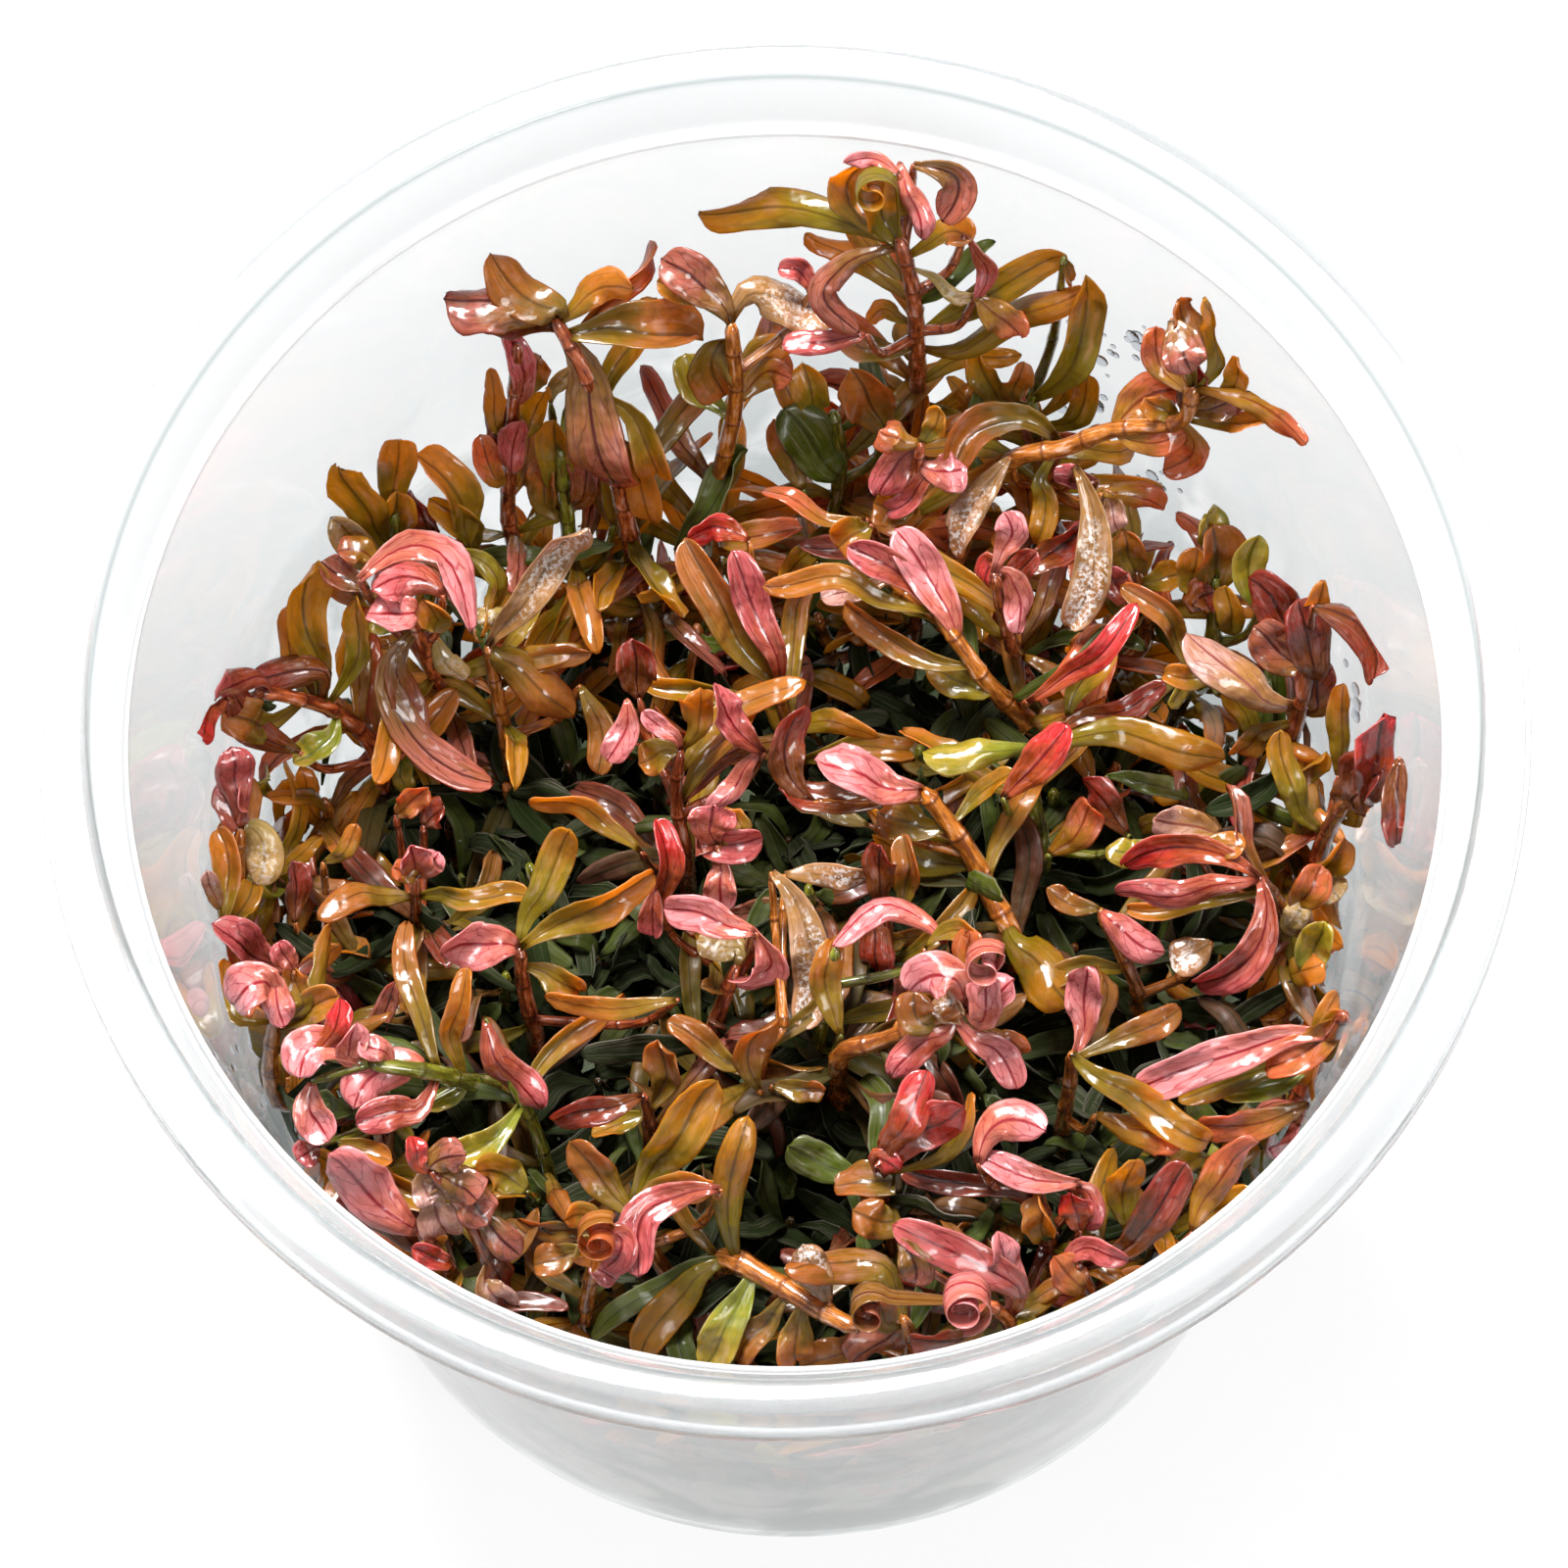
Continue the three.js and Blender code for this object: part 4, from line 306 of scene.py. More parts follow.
shoot("left_head", SALMON, 0.8, stem, [
    leaf((578, 328, 66), (456, 302, 65), 4.8, MAUVE, cup=-100, arch=0.9, bend=0.4),
    leaf((598, 322, 67), (500, 262, 68), 3.6, BROWN, bend=-0.9, cup=50),
    leaf((580, 328, 66), (644, 294, 69), 2.6, AMBER, bend=-0.9, cup=-50),
    leaf((586, 342, 65), (716, 350, 62), 4.2, BROWN, cup=-20, bend=-0.7),
    leaf((590, 345, 65), (640, 516, 52), 4.6, MAUVE, cup=50, bend=0.5),
    leaf((628, 404, 60), (676, 500, 51), 2.5, AMBER, bend=-0.7),
    leaf((584, 338, 65), (488, 326, 64), 2.5, CRIMSON, cup=50, bend=0.5),
    leaf((648, 440, 55), (668, 541, 48), 2.5, AMBER, bend=0.5),
])
stem = [(724, 530, 42), (738, 470, 50), (751, 404, 57), (746, 330, 64)]
shoot("back_brown_shoot", BROWN, 0.8, stem, [
    leaf((750, 316, 65), (678, 264, 68), 3.5, MAUVE, cup=-60),
    leaf((738, 300, 66), (850, 334, 63), 3.9, SILVER, bend=-1.1, cup=-50),
    leaf((740, 322, 64), (671, 288, 65), 2.3, OLIVE, bend=0.5),
    leaf((748, 334, 62), (738, 406, 56), 3.4, BROWN, cup=60, bend=1.0),
    leaf((757, 362, 59), (812, 358, 58), 1.8, AMBER, bend=-0.5),
    leaf((826, 300, 65), (797, 276, 67), 1.8, ROSE, bend=0.8, cup=-90),
    leaf((764, 402, 56), (806, 386, 58), 2.9, SALMON, bend=-1.0, cup=-70),
    leaf((742, 412, 54), (700, 362, 56), 2.6, LIME, bend=-0.9),
    leaf((690, 562, 44), (763, 462, 51), 2.7, GREEN, cup=50),
])
stem = [(850, 540, 38), (858, 470, 46), (850, 420, 51)]
shoot("back_green_shoot", GREEN, 0.7, stem, [
    leaf((866, 502, 45), (802, 418, 52), 4.2, GREEN, cup=-50),
    leaf((905, 440, 50), (870, 378, 55), 4.0, BROWN, cup=80),
    leaf((832, 432, 50), (820, 372, 54), 2.8, OLIVE, cup=40),
    leaf((820, 500, 46), (792, 432, 50), 2.8, BROWN),
])
stem = [(455, 715, 38), (436, 672, 46), (420, 628, 52)]
shoot("left_rosette", PINK, 0.75, stem, [
    leaf((366, 592, 57), (482, 642, 52), 3.0, PINK, bend=-4.4, roll=-30, arch=0.6),
    leaf((452, 608, 55), (381, 602, 57), 3.4, ROSE, bend=1.3, cup=-70),
    leaf((436, 624, 54), (375, 628, 55), 3.2, PINK, cup=-80, arch=0.7),
    leaf((456, 642, 51), (430, 612, 54), 2.6, AMBER, cup=60),
    leaf((456, 562, 54), (492, 652, 49), 2.3, OLIVE, bend=-2.8, roll=-20),
    leaf((376, 602, 53), (328, 574, 54), 2.3, MAUVE),
    leaf((384, 578, 54), (346, 562, 55), 2.6, SALMON, bend=0.6),
    leaf((386, 617, 52), (334, 592, 53), 2.2, BROWN, cup=40),
    leaf((382, 642, 50), (506, 796, 43), 3.0, MAUVE, bend=2.6, cup=-30),
    leaf((404, 640, 50), (462, 792, 43), 2.9, MAUVE, bend=1.6, cup=-30),
    leaf((408, 640, 51), (378, 636, 51), 1.6, LIME, cup=-60),
])
stem = [(520, 770, 36), (506, 700, 43), (498, 660, 48)]
shoot("silver_leaf_shoot", BROWN, 0.7, stem, [
    leaf((500, 657, 48), (603, 534, 58), 3.0, SILVER, cup=60, bend=-0.3),
    leaf((492, 664, 48), (586, 736, 44), 3.5, BROWN, cup=-40, bend=-0.5),
    leaf((445, 650, 48), (476, 697, 45), 2.0, CREAM, bend=0.4),
    leaf((516, 622, 50), (489, 636, 50), 1.7, CREAM, cup=-50),
    leaf((592, 700, 45), (612, 790, 42), 2.2, BROWN, bend=-0.6),
])
stem = [(412, 620, 40), (402, 570, 46), (402, 525, 50)]
shoot("left_upright_shoot", OLIVE, 0.7, stem, [
    leaf((402, 535, 49), (404, 446, 57), 3.0, AMBER, cup=40),
    leaf((396, 562, 47), (345, 476, 54), 3.6, OLIVE, cup=40),
    leaf((404, 566, 46), (404, 500, 52), 2.8, OLIVE),
    leaf((396, 582, 45), (338, 532, 50), 2.8, CREAM, cup=40),
    leaf((474, 562, 46), (428, 466, 54), 3.0, AMBER, bend=1.1, cup=30),
    leaf((444, 562, 44), (422, 508, 50), 2.2, CRIMSON),
    leaf((484, 562, 45), (446, 516, 50), 2.6, OLIVE, bend=0.6),
])
stem = [(522, 545, 42), (520, 480, 49), (524, 410, 56), (528, 352, 63)]
shoot("red_stack_shoot", SALMON, 0.7, stem, [
    leaf((530, 424, 56), (520, 344, 64), 2.5, ROSE, bend=0.6, cup=40),
    leaf((508, 452, 53), (501, 384, 59), 1.9, AMBER, cup=50),
    leaf((512, 502, 49), (490, 448, 53), 2.1, SALMON),
    leaf((520, 497, 50), (529, 437, 56), 2.2, ROSE, cup=-50),
    leaf((506, 470, 51), (503, 402, 56), 1.8, CRIMSON),
    leaf((536, 404, 56), (550, 366, 59), 2.4, BROWN, cup=50),
    leaf((534, 452, 52), (556, 400, 56), 2.2, OLIVE),
])
stem = [(585, 580, 38), (578, 520, 45), (572, 460, 51)]
shoot("back_left_shoot", OLIVE, 0.7, stem, [
    leaf((572, 432, 51), (592, 394, 54), 2.2, LIME, bend=0.6),
    leaf((562, 412, 52), (590, 376, 54), 1.5, CREAM, bend=-0.5),
    leaf((588, 442, 50), (612, 438, 51), 2.4, AMBER, cup=50),
    leaf((566, 505, 46), (568, 436, 53), 2.8, OLIVE, cup=40),
    leaf((592, 528, 46), (602, 450, 52), 2.5, CRIMSON, cup=40),
    leaf((556, 530, 44), (556, 472, 49), 2.4, BROWN),
    leaf((626, 536, 44), (640, 452, 51), 2.5, AMBER, bend=-0.4),
])
stem = [(385, 770, 38), (350, 730, 43), (300, 712, 48), (262, 706, 50)]
shoot("left_edge_shoot", CRIMSON, 0.75, stem, [
    leaf((356, 700, 47), (262, 694, 51), 2.6, CRIMSON, bend=0.9, cup=-60),
    leaf((284, 692, 50), (222, 714, 52), 2.3, ROSE, bend=0.7, cup=-50),
    leaf((232, 712, 52), (208, 750, 50), 2.2, RED, bend=0.5, cup=-60),
    leaf((290, 734, 46), (232, 724, 49), 3.4, BROWN, cup=60, bend=-0.8),
    leaf((306, 768, 44), (236, 708, 49), 2.9, CRIMSON, bend=-0.7),
    leaf((346, 742, 44), (300, 776, 44), 2.4, LIME, bend=-0.4),
    leaf((343, 692, 46), (326, 578, 55), 3.2, OLIVE, bend=-1.4, cup=40),
    leaf((352, 700, 46), (362, 612, 53), 2.2, OLIVE, bend=0.6),
])
stem = [(262, 985, 36), (244, 925, 42), (245, 845, 48)]
shoot("left_wall_shoot", AMBER, 0.7, stem, [
    leaf((246, 822, 50), (236, 767, 54), 3.2, ROSE, cup=-60),
    leaf((238, 848, 48), (244, 798, 51), 3.2, ROSE, cup=-60),
    leaf((250, 832, 48), (263, 904, 45), 3.0, CREAM, bend=-0.8, cup=-50),
    leaf((226, 945, 44), (221, 846, 49), 2.3, AMBER, bend=0.7),
    leaf((226, 948, 42), (256, 902, 44), 1.9, OLIVE, bend=0.5),
    leaf((224, 928, 43), (210, 890, 46), 1.6, LILAC, cup=-60),
    leaf((302, 942, 40), (300, 880, 43), 2.2, CRIMSON, cup=-40),
    leaf((298, 985, 42), (222, 946, 45), 3.2, ROSE, bend=-0.6),
    leaf((330, 880, 42), (362, 845, 45), 1.6, AMBER, bend=0.5),
])
stem = [(268, 1130, 37), (276, 1085, 42), (282, 1030, 48)]
shoot("orange_head", AMBER, 0.8, stem, [
    leaf((286, 1006, 50), (240, 1026, 50), 3.6, PINK, arch=1.2, bend=0.9),
    leaf((278, 992, 51), (290, 1047, 49), 2.4, PINK, cup=-50),
    leaf((300, 990, 50), (284, 964, 52), 1.9, ROSE),
    leaf((312, 1042, 47), (300, 985, 50), 2.2, AMBER),
    leaf((300, 1050, 46), (346, 1018, 49), 2.6, AMBER, bend=-0.6, cup=60),
    leaf((274, 1088, 42), (270, 1035, 47), 3.6, OLIVE, cup=110),
    leaf((282, 1070, 42), (258, 1127, 38), 2.1, OLIVE, bend=0.4),
    leaf((246, 1060, 43), (230, 978, 47), 1.7, AMBER, bend=-0.4),
])
stem = [(515, 1112, 36), (478, 1104, 42), (440, 1094, 47), (375, 1085, 49)]
shoot("front_left_cluster", LIME, 0.85, stem, [
    leaf((356, 1076, 50), (306, 1100, 50), 3.4, PINK, bend=1.6, cup=-40),
    leaf((322, 1074, 50), (346, 1024, 53), 2.0, RED, bend=0.4),
    leaf((404, 1078, 49), (366, 1064, 51), 2.0, PINK),
    leaf((352, 1088, 49), (362, 1045, 52), 2.5, PINK, cup=-50),
    leaf((448, 1088, 48), (362, 1132, 48), 3.5, PINK, bend=1.6, cup=-40),
    leaf((446, 1136, 46), (364, 1148, 47), 2.7, ROSE, cup=-40, bend=0.4),
    leaf((318, 1104, 48), (336, 1163, 46), 3.0, PINK, bend=0.6, cup=-40),
    leaf((480, 1098, 43), (482, 990, 50), 1.8, AMBER, bend=-1.4, roll=20),
    leaf((325, 1168, 44), (299, 1186, 44), 2.2, ROSE, cup=-50),
    leaf((478, 1114, 42), (428, 1132, 42), 1.5, LIME),
    leaf((345, 1165, 45), (400, 1184, 45), 2.4, AMBER, cup=50),
])
stem = [(470, 1330, 35), (455, 1290, 40), (428, 1256, 44)]
shoot("big_pink_leaf_shoot", ROSE, 0.75, stem, [
    leaf((428, 1262, 44), (335, 1182, 50), 4.4, PINK, cup=-40),
    leaf((442, 1292, 42), (346, 1224, 46), 2.4, CRIMSON, bend=0.6),
    leaf((470, 1292, 42), (420, 1274, 44), 1.8, RED),
    leaf((452, 1288, 41), (432, 1262, 43), 2.4, AMBER, cup=70),
])
stem = [(520, 1340, 36), (500, 1290, 41), (472, 1232, 46), (440, 1195, 49)]
shoot("mauve_stack_shoot", MAUVE, 0.7, stem, [
    leaf((432, 1200, 49), (472, 1180, 51), 2.8, MAUVE, bend=-0.5, cup=-50),
    leaf((448, 1196, 49), (487, 1224, 48), 3.0, MAUVE, cup=-60),
    leaf((466, 1208, 48), (500, 1246, 46), 3.2, MAUVE, cup=-60),
    leaf((486, 1236, 46), (530, 1282, 43), 3.4, MAUVE, cup=-50),
    leaf((426, 1200, 48), (442, 1228, 47), 2.8, LILAC),
    leaf((436, 1216, 47), (456, 1262, 44), 3.2, LILAC, cup=-40),
    leaf((500, 1282, 43), (520, 1334, 39), 2.8, CRIMSON, cup=-50),
    leaf((486, 1302, 42), (522, 1336, 39), 3.0, LILAC, cup=-60),
    leaf((430, 1200, 49), (421, 1162, 51), 1.7, RED),
])
stem = [(560, 1200, 34), (545, 1150, 39), (520, 1100, 43)]
shoot("spotted_pink_pair", OLIVE, 0.65, stem, [
    leaf((496, 1040, 47), (552, 1134, 42), 2.7, ROSE, bend=0.7, cup=-40),
    leaf((526, 1142, 42), (456, 1181, 42), 2.4, LIME, bend=-0.4, cup=50),
    leaf((538, 1216, 42), (490, 1196, 43), 3.2, OLIVE, cup=-60, bend=0.4),
])
stem = [(665, 1180, 35), (662, 1145, 40), (656, 1118, 44)]
shoot("cerise_leaf_shoot", CRIMSON, 0.65, stem, [
    leaf((654, 1122, 45), (565, 1142, 45), 2.5, CRIMSON, cup=-40),
    leaf((662, 1132, 41), (605, 1160, 41), 1.8, OLIVE),
    leaf((672, 1122, 41), (672, 1060, 46), 2.7, BROWN, cup=-60, bend=0.4),
])
stem = [(596, 1345, 34), (604, 1300, 40), (612, 1262, 45)]
shoot("curled_front_rosette", AMBER, 0.7, stem, [
    leaf((604, 1262, 46), (576, 1244, 48), 2.2, AMBER, bend=1.0, cup=-90),
    leaf((610, 1250, 47), (616, 1296, 45), 2.8, ROSE, bend=-1.5, cup=-70),
    leaf((602, 1258, 47), (604, 1292, 45), 2.6, AMBER, cup=100),
    leaf((628, 1240, 46), (646, 1292, 44), 1.9, PINK, bend=-1.0),
    leaf((602, 1290, 44), (628, 1306, 44), 1.9, PINK),
    leaf((595, 1272, 42), (546, 1292, 41), 2.5, BROWN, cup=-50),
])
stem = [(700, 1330, 34), (665, 1275, 39), (645, 1235, 43)]
shoot("pink_banner_shoot", AMBER, 0.75, stem, [
    leaf((736, 1214, 48), (648, 1300, 45), 2.9, ROSE, bend=2.4, roll=15, cup=-30),
    leaf((642, 1240, 44), (736, 1215, 47), 2.6, AMBER, bend=-1.1),
    leaf((652, 1224, 43), (731, 1110, 51), 3.6, OLIVE, cup=-40, bend=-0.5),
    leaf((640, 1236, 42), (582, 1166, 45), 3.2, BROWN, cup=-50),
])
stem = [(742, 1284, 41), (790, 1308, 42), (835, 1336, 43), (876, 1357, 44)]
shoot("front_fan_shoot", AMBER, 0.95, stem, [
    leaf((728, 1270, 42), (601, 1366, 36), 1.9, GREEN, cup=60),
    leaf((727, 1282, 42), (655, 1386, 37), 2.9, OLIVE, bend=0.4, cup=40),
    leaf((762, 1302, 42), (714, 1396, 38), 3.0, LIME, bend=-0.5, cup=-40),
    leaf((796, 1328, 42), (746, 1396, 37), 2.6, BROWN, cup=-40),
    leaf((814, 1338, 42), (812, 1396, 38), 2.9, AMBER, cup=-40),
    leaf((746, 1282, 43), (760, 1152, 52), 3.2, OLIVE, cup=-40, bend=-0.5),
])
stem = [(925, 1395, 35), (930, 1372, 39), (922, 1345, 43)]
shoot("brown_arch_shoot", BROWN, 0.75, stem, [
    leaf((930, 1374, 42), (797, 1302, 47), 3.0, BROWN, bend=3.7, roll=25, arch=0.8),
    leaf((846, 1330, 44), (822, 1276, 48), 2.7, SILVER, cup=-70),
    leaf((898, 1364, 42), (880, 1320, 46), 2.4, BROWN, bend=0.9, cup=80),
    leaf((892, 1356, 40), (816, 1396, 37), 2.7, AMBER, bend=-0.4),
    leaf((932, 1342, 43), (872, 1392, 39), 3.6, MAUVE, cup=-50),
])
stem = [(1040, 1375, 36), (1030, 1350, 40), (1008, 1330, 44)]
shoot("spiral_shoot", MAUVE, 0.75, stem, [
    leaf((1066, 1344, 41), (928, 1256, 49), 3.1, ROSE, bend=0.9, cup=-50),
    leaf((1006, 1352, 42), (930, 1366, 41), 2.5, MAUVE, bend=-0.6),
    leaf((918, 1266, 47), (932, 1312, 45), 3.0, MAUVE, cup=-80, bend=-0.6),
    leaf((1042, 1332, 41), (1020, 1264, 47), 2.9, PINK, cup=-40),
])
stem = [(915, 1290, 34), (905, 1240, 41), (896, 1200, 45)]
shoot("glossy_brown_shoot", BROWN, 0.7, stem, [
    leaf((928, 1240, 44), (874, 1236, 46), 3.2, BROWN, cup=-80, bend=-0.6),
    leaf((890, 1180, 48), (944, 1104, 53), 2.9, RED, cup=-40, bend=0.4),
    leaf((908, 1176, 48), (984, 1132, 51), 3.8, RED, cup=40),
    leaf((886, 1176, 48), (918, 1194, 47), 2.4, RED, cup=-60),
    leaf((934, 1204, 45), (852, 1208, 45), 3.0, BROWN, cup=-110),
    leaf((938, 1196, 46), (991, 1120, 50), 1.6, AMBER, bend=0.8),
    leaf((876, 1200, 41), (804, 1172, 42), 3.1, GREEN, cup=-60),
])
stem = [(858, 1078, 44), (900, 1062, 47), (948, 1044, 50), (985, 1030, 52)]
shoot("pink_rosette", AMBER, 0.9, stem, [
    leaf((992, 1012, 54), (929, 1012, 54), 3.7, PINK, arch=1.4, bend=1.2),
    leaf((1002, 1024, 53), (1032, 1002, 55), 3.0, PINK, cup=-50),
    leaf((1002, 1062, 51), (1006, 990, 56), 2.7, PINK, cup=-50),
    leaf((986, 1060, 51), (908, 1102, 49), 2.4, ROSE, bend=1.2, cup=-30),
    leaf((976, 1060, 51), (1038, 1108, 48), 2.5, PINK, bend=-0.9),
    leaf((1010, 1062, 50), (1046, 1076, 49), 2.0, SALMON, bend=-0.5),
    leaf((956, 1050, 51), (934, 1014, 53), 2.9, BROWN, bend=-0.8, cup=70),
    leaf((975, 1050, 51), (966, 1012, 52), 2.7, SILVER, cup=80),
    leaf((986, 992, 53), (988, 952, 55), 2.7, SALMON, cup=-80),
    leaf((944, 968, 52), (1002, 968, 54), 1.8, AMBER, bend=-1.4, roll=-20),
])
stem = [(836, 1062, 40), (845, 1010, 46), (853, 968, 51)]
shoot("pink_arch_shoot", OLIVE, 0.65, stem, [
    leaf((966, 964, 52), (850, 962, 52), 2.5, PINK, bend=2.6, roll=20, arch=0.6),
    leaf((858, 1056, 46), (848, 962, 51), 2.4, AMBER, bend=-0.6),
])
stem = [(905, 1010, 37), (905, 960, 42), (905, 925, 45)]
shoot("dark_rose_pair", CRIMSON, 0.65, stem, [
    leaf((896, 924, 46), (898, 862, 51), 2.6, CRIMSON, cup=50),
    leaf((890, 930, 46), (896, 998, 43), 2.8, CRIMSON, cup=50),
    leaf((926, 930, 44), (924, 860, 49), 2.3, BROWN),
])
stem = [(1032, 955, 38), (1010, 912, 40), (988, 868, 43), (942, 806, 47)]
shoot("orange_stem_shoot", AMBER, 0.95, stem, [
    leaf((830, 818, 47), (824, 722, 52), 3.1, CRIMSON, bend=-2.0, cup=-50),
    leaf((946, 806, 48), (836, 772, 51), 3.4, PINK, bend=-0.6, cup=-30),
    leaf((902, 816, 46), (796, 802, 48), 2.6, CRIMSON, bend=-0.6),
    leaf((886, 842, 44), (806, 810, 46), 2.0, CREAM),
    leaf((978, 882, 41), (892, 852, 43), 3.2, OLIVE, bend=-0.6),
    leaf((952, 850, 44), (896, 828, 45), 3.4, BROWN, cup=-50),
    leaf((975, 832, 44), (1034, 786, 47), 1.6, OLIVE),
    leaf((1016, 956, 41), (1092, 1026, 40), 3.9, OLIVE, cup=-30, bend=-0.6),
])
stem = [(1062, 860, 36), (1052, 800, 42), (1058, 762, 46)]
shoot("yellow_leaf_shoot", OLIVE, 0.8, stem, [
    leaf((1040, 768, 47), (944, 766, 48), 2.7, LIME, cup=-50),
    leaf((1078, 753, 48), (1250, 778, 46), 2.9, OLIVE, bend=-0.8, cup=-50),
    leaf((1024, 814, 46), (1086, 746, 51), 3.0, RED, cup=-50),
    leaf((1080, 736, 45), (1190, 701, 47), 1.8, CRIMSON, bend=0.4),
    leaf((1070, 872, 42), (1112, 822, 46), 2.8, SALMON, cup=-40, bend=0.5),
    leaf((1152, 852, 42), (1110, 800, 46), 2.5, CRIMSON, cup=-40),
    leaf((1130, 792, 42), (1212, 816, 42), 1.8, GREEN, bend=-0.4),
])
stem = [(1262, 900, 36), (1256, 870, 41), (1246, 852, 44)]
shoot("lilac_leaf_shoot", LILAC, 0.65, stem, [
    leaf((1246, 852, 44), (1179, 834, 46), 2.9, LILAC, cup=-50),
    leaf((1185, 856, 42), (1130, 866, 42), 2.2, LIME, bend=-0.5),
])
stem = [(1320, 960, 37), (1305, 925, 42), (1286, 896, 47)]
shoot("curved_pair_shoot", RED, 0.75, stem, [
    leaf((1276, 880, 48), (1145, 882, 46), 2.6, RED, bend=0.9, cup=-40),
    leaf((1286, 902, 48), (1139, 916, 46), 2.3, ROSE, cup=-50),
    leaf((1284, 886, 48), (1216, 1008, 42), 2.9, ROSE, bend=-2.8, roll=10, cup=-30),
    leaf((1270, 912, 44), (1150, 927, 43), 1.6, AMBER, bend=-0.4),
    leaf((1225, 878, 47), (1270, 864, 48), 2.2, AMBER, bend=-0.5),
])
stem = [(1160, 1010, 36), (1140, 965, 40), (1122, 928, 43)]
shoot("pale_pink_leaf_shoot", BROWN, 0.65, stem, [
    leaf((1122, 926, 44), (1188, 972, 42), 2.9, PINK, cup=-50, bend=0.5),
    leaf((1126, 926, 43), (1068, 908, 44), 1.7, BROWN, bend=-0.4),
    leaf((1236, 962, 42), (1195, 985, 41), 3.2, SILVER, cup=-60),
])
stem = [(1300, 800, 38), (1318, 750, 44), (1332, 705, 49), (1335, 665, 51)]
shoot("right_head", ROSE, 0.8, stem, [
    leaf((1308, 738, 48), (1220, 648, 53), 3.5, LILAC, cup=-50),
    leaf((1338, 690, 49), (1280, 642, 52), 3.4, MAUVE, cup=-50),
    leaf((1350, 706, 51), (1322, 612, 56), 3.6, CRIMSON, cup=-40),
    leaf((1340, 618, 58), (1406, 692, 63), 3.8, CRIMSON, cup=-50, bend=-1.4),
    leaf((1336, 660, 51), (1276, 590, 54), 3.8, CRIMSON, cup=-40),
    leaf((1346, 738, 47), (1344, 676, 51), 3.2, MAUVE, cup=-70),
    leaf((1320, 644, 50), (1348, 598, 54), 2.2, AMBER, bend=0.4),
    leaf((1296, 740, 46), (1262, 770, 44), 2.2, AMBER),
])
stem = [(1235, 700, 38), (1238, 650, 44), (1240, 590, 49)]
shoot("right_back_shoot", OLIVE, 0.75, stem, [
    leaf((1286, 622, 50), (1284, 548, 55), 2.6, LIME, bend=-0.6),
    leaf((1244, 602, 48), (1238, 540, 53), 4.2, BROWN, cup=50),
    leaf((1242, 562, 50), (1232, 525, 54), 2.9, LIME),
    leaf((1212, 608, 47), (1222, 560, 50), 2.4, AMBER),
    leaf((1208, 622, 47), (1238, 602, 49), 3.0, CRIMSON, cup=-50),
    leaf((1252, 690, 47), (1189, 690, 48), 1.9, AMBER, cup=50),
    leaf((1212, 686, 46), (1152, 602, 51), 2.1, BROWN, bend=0.9),
    leaf((1260, 655, 46), (1252, 600, 50), 2.2, OLIVE),
])
stem = [(1170, 650, 38), (1165, 610, 44), (1158, 580, 47)]
shoot("right_back_dark_shoot", BROWN, 0.65, stem, [
    leaf((1160, 592, 47), (1146, 544, 51), 3.2, BROWN, cup=-60),
    leaf((1172, 595, 46), (1205, 585, 47), 2.4, OLIVE),
    leaf((1150, 620, 47), (1132, 578, 50), 2.6, ROSE, cup=-40),
])
stem = [(1335, 905, 38), (1352, 855, 43), (1372, 822, 49), (1394, 816, 55)]
shoot("right_edge_shoot", CRIMSON, 0.75, stem, [
    leaf((1396, 824, 56), (1412, 736, 63), 4.4, RED, cup=-40),
    leaf((1366, 824, 52), (1408, 786, 60), 4.2, CRIMSON, cup=-50),
    leaf((1428, 774, 62), (1424, 862, 57), 2.8, CRIMSON, cup=-50),
    leaf((1342, 852, 44), (1312, 748, 49), 2.3, OLIVE, bend=-0.9, cup=-40),
    leaf((1366, 792, 46), (1372, 706, 50), 2.6, AMBER),
    leaf((1378, 848, 44), (1392, 826, 45), 2.4, AMBER),
])
stem = [(1318, 1030, 35), (1328, 985, 39), (1335, 930, 43)]
shoot("right_low_shoot", AMBER, 0.7, stem, [
    leaf((1346, 898, 42), (1370, 858, 45), 2.6, AMBER, cup=50),
    leaf((1348, 890, 42), (1366, 917, 42), 2.6, CREAM, cup=-60),
    leaf((1318, 934, 43), (1348, 888, 46), 2.8, SALMON, cup=-40),
    leaf((1306, 954, 41), (1330, 922, 44), 2.4, CREAM),
    leaf((1336, 1008, 40), (1349, 938, 45), 2.8, LIME),
    leaf((1304, 1000, 40), (1346, 984, 43), 2.7, AMBER, cup=-60),
])
stem = [(1340, 1140, 36), (1362, 1090, 42), (1372, 1035, 48)]
shoot("long_pink_leaf_shoot", SALMON, 0.8, stem, [
    leaf((1352, 1044, 48), (1160, 1116, 46), 3.2, PINK, cup=-40, bend=0.4),
    leaf((1376, 1024, 50), (1292, 1092, 46), 2.9, SALMON, bend=-0.7),
    leaf((1340, 1076, 45), (1202, 1122, 43), 2.2, OLIVE),
    leaf((1324, 1100, 43), (1242, 1112, 43), 2.5, LIME, cup=60, bend=-0.4),
    leaf((1344, 1130, 43), (1222, 1150, 43), 2.6, SALMON, bend=-0.5, cup=-40),
    leaf((1366, 1104, 44), (1374, 1030, 48), 1.9, AMBER, bend=-0.4),
])
stem = [(1085, 1145, 36), (1092, 1105, 42), (1094, 1075, 46)]
shoot("amber_fold_shoot", AMBER, 0.7, stem, [
    leaf((1088, 1074, 48), (1238, 1162, 45), 2.6, OLIVE, cup=100, bend=0.6),
    leaf((1118, 1138, 44), (1206, 1168, 45), 2.7, SALMON, cup=-50),
    leaf((1108, 1064, 45), (1108, 985, 50), 2.9, PINK, cup=-40),
    leaf((1112, 1068, 45), (1202, 1028, 47), 2.2, BROWN, bend=0.5),
])
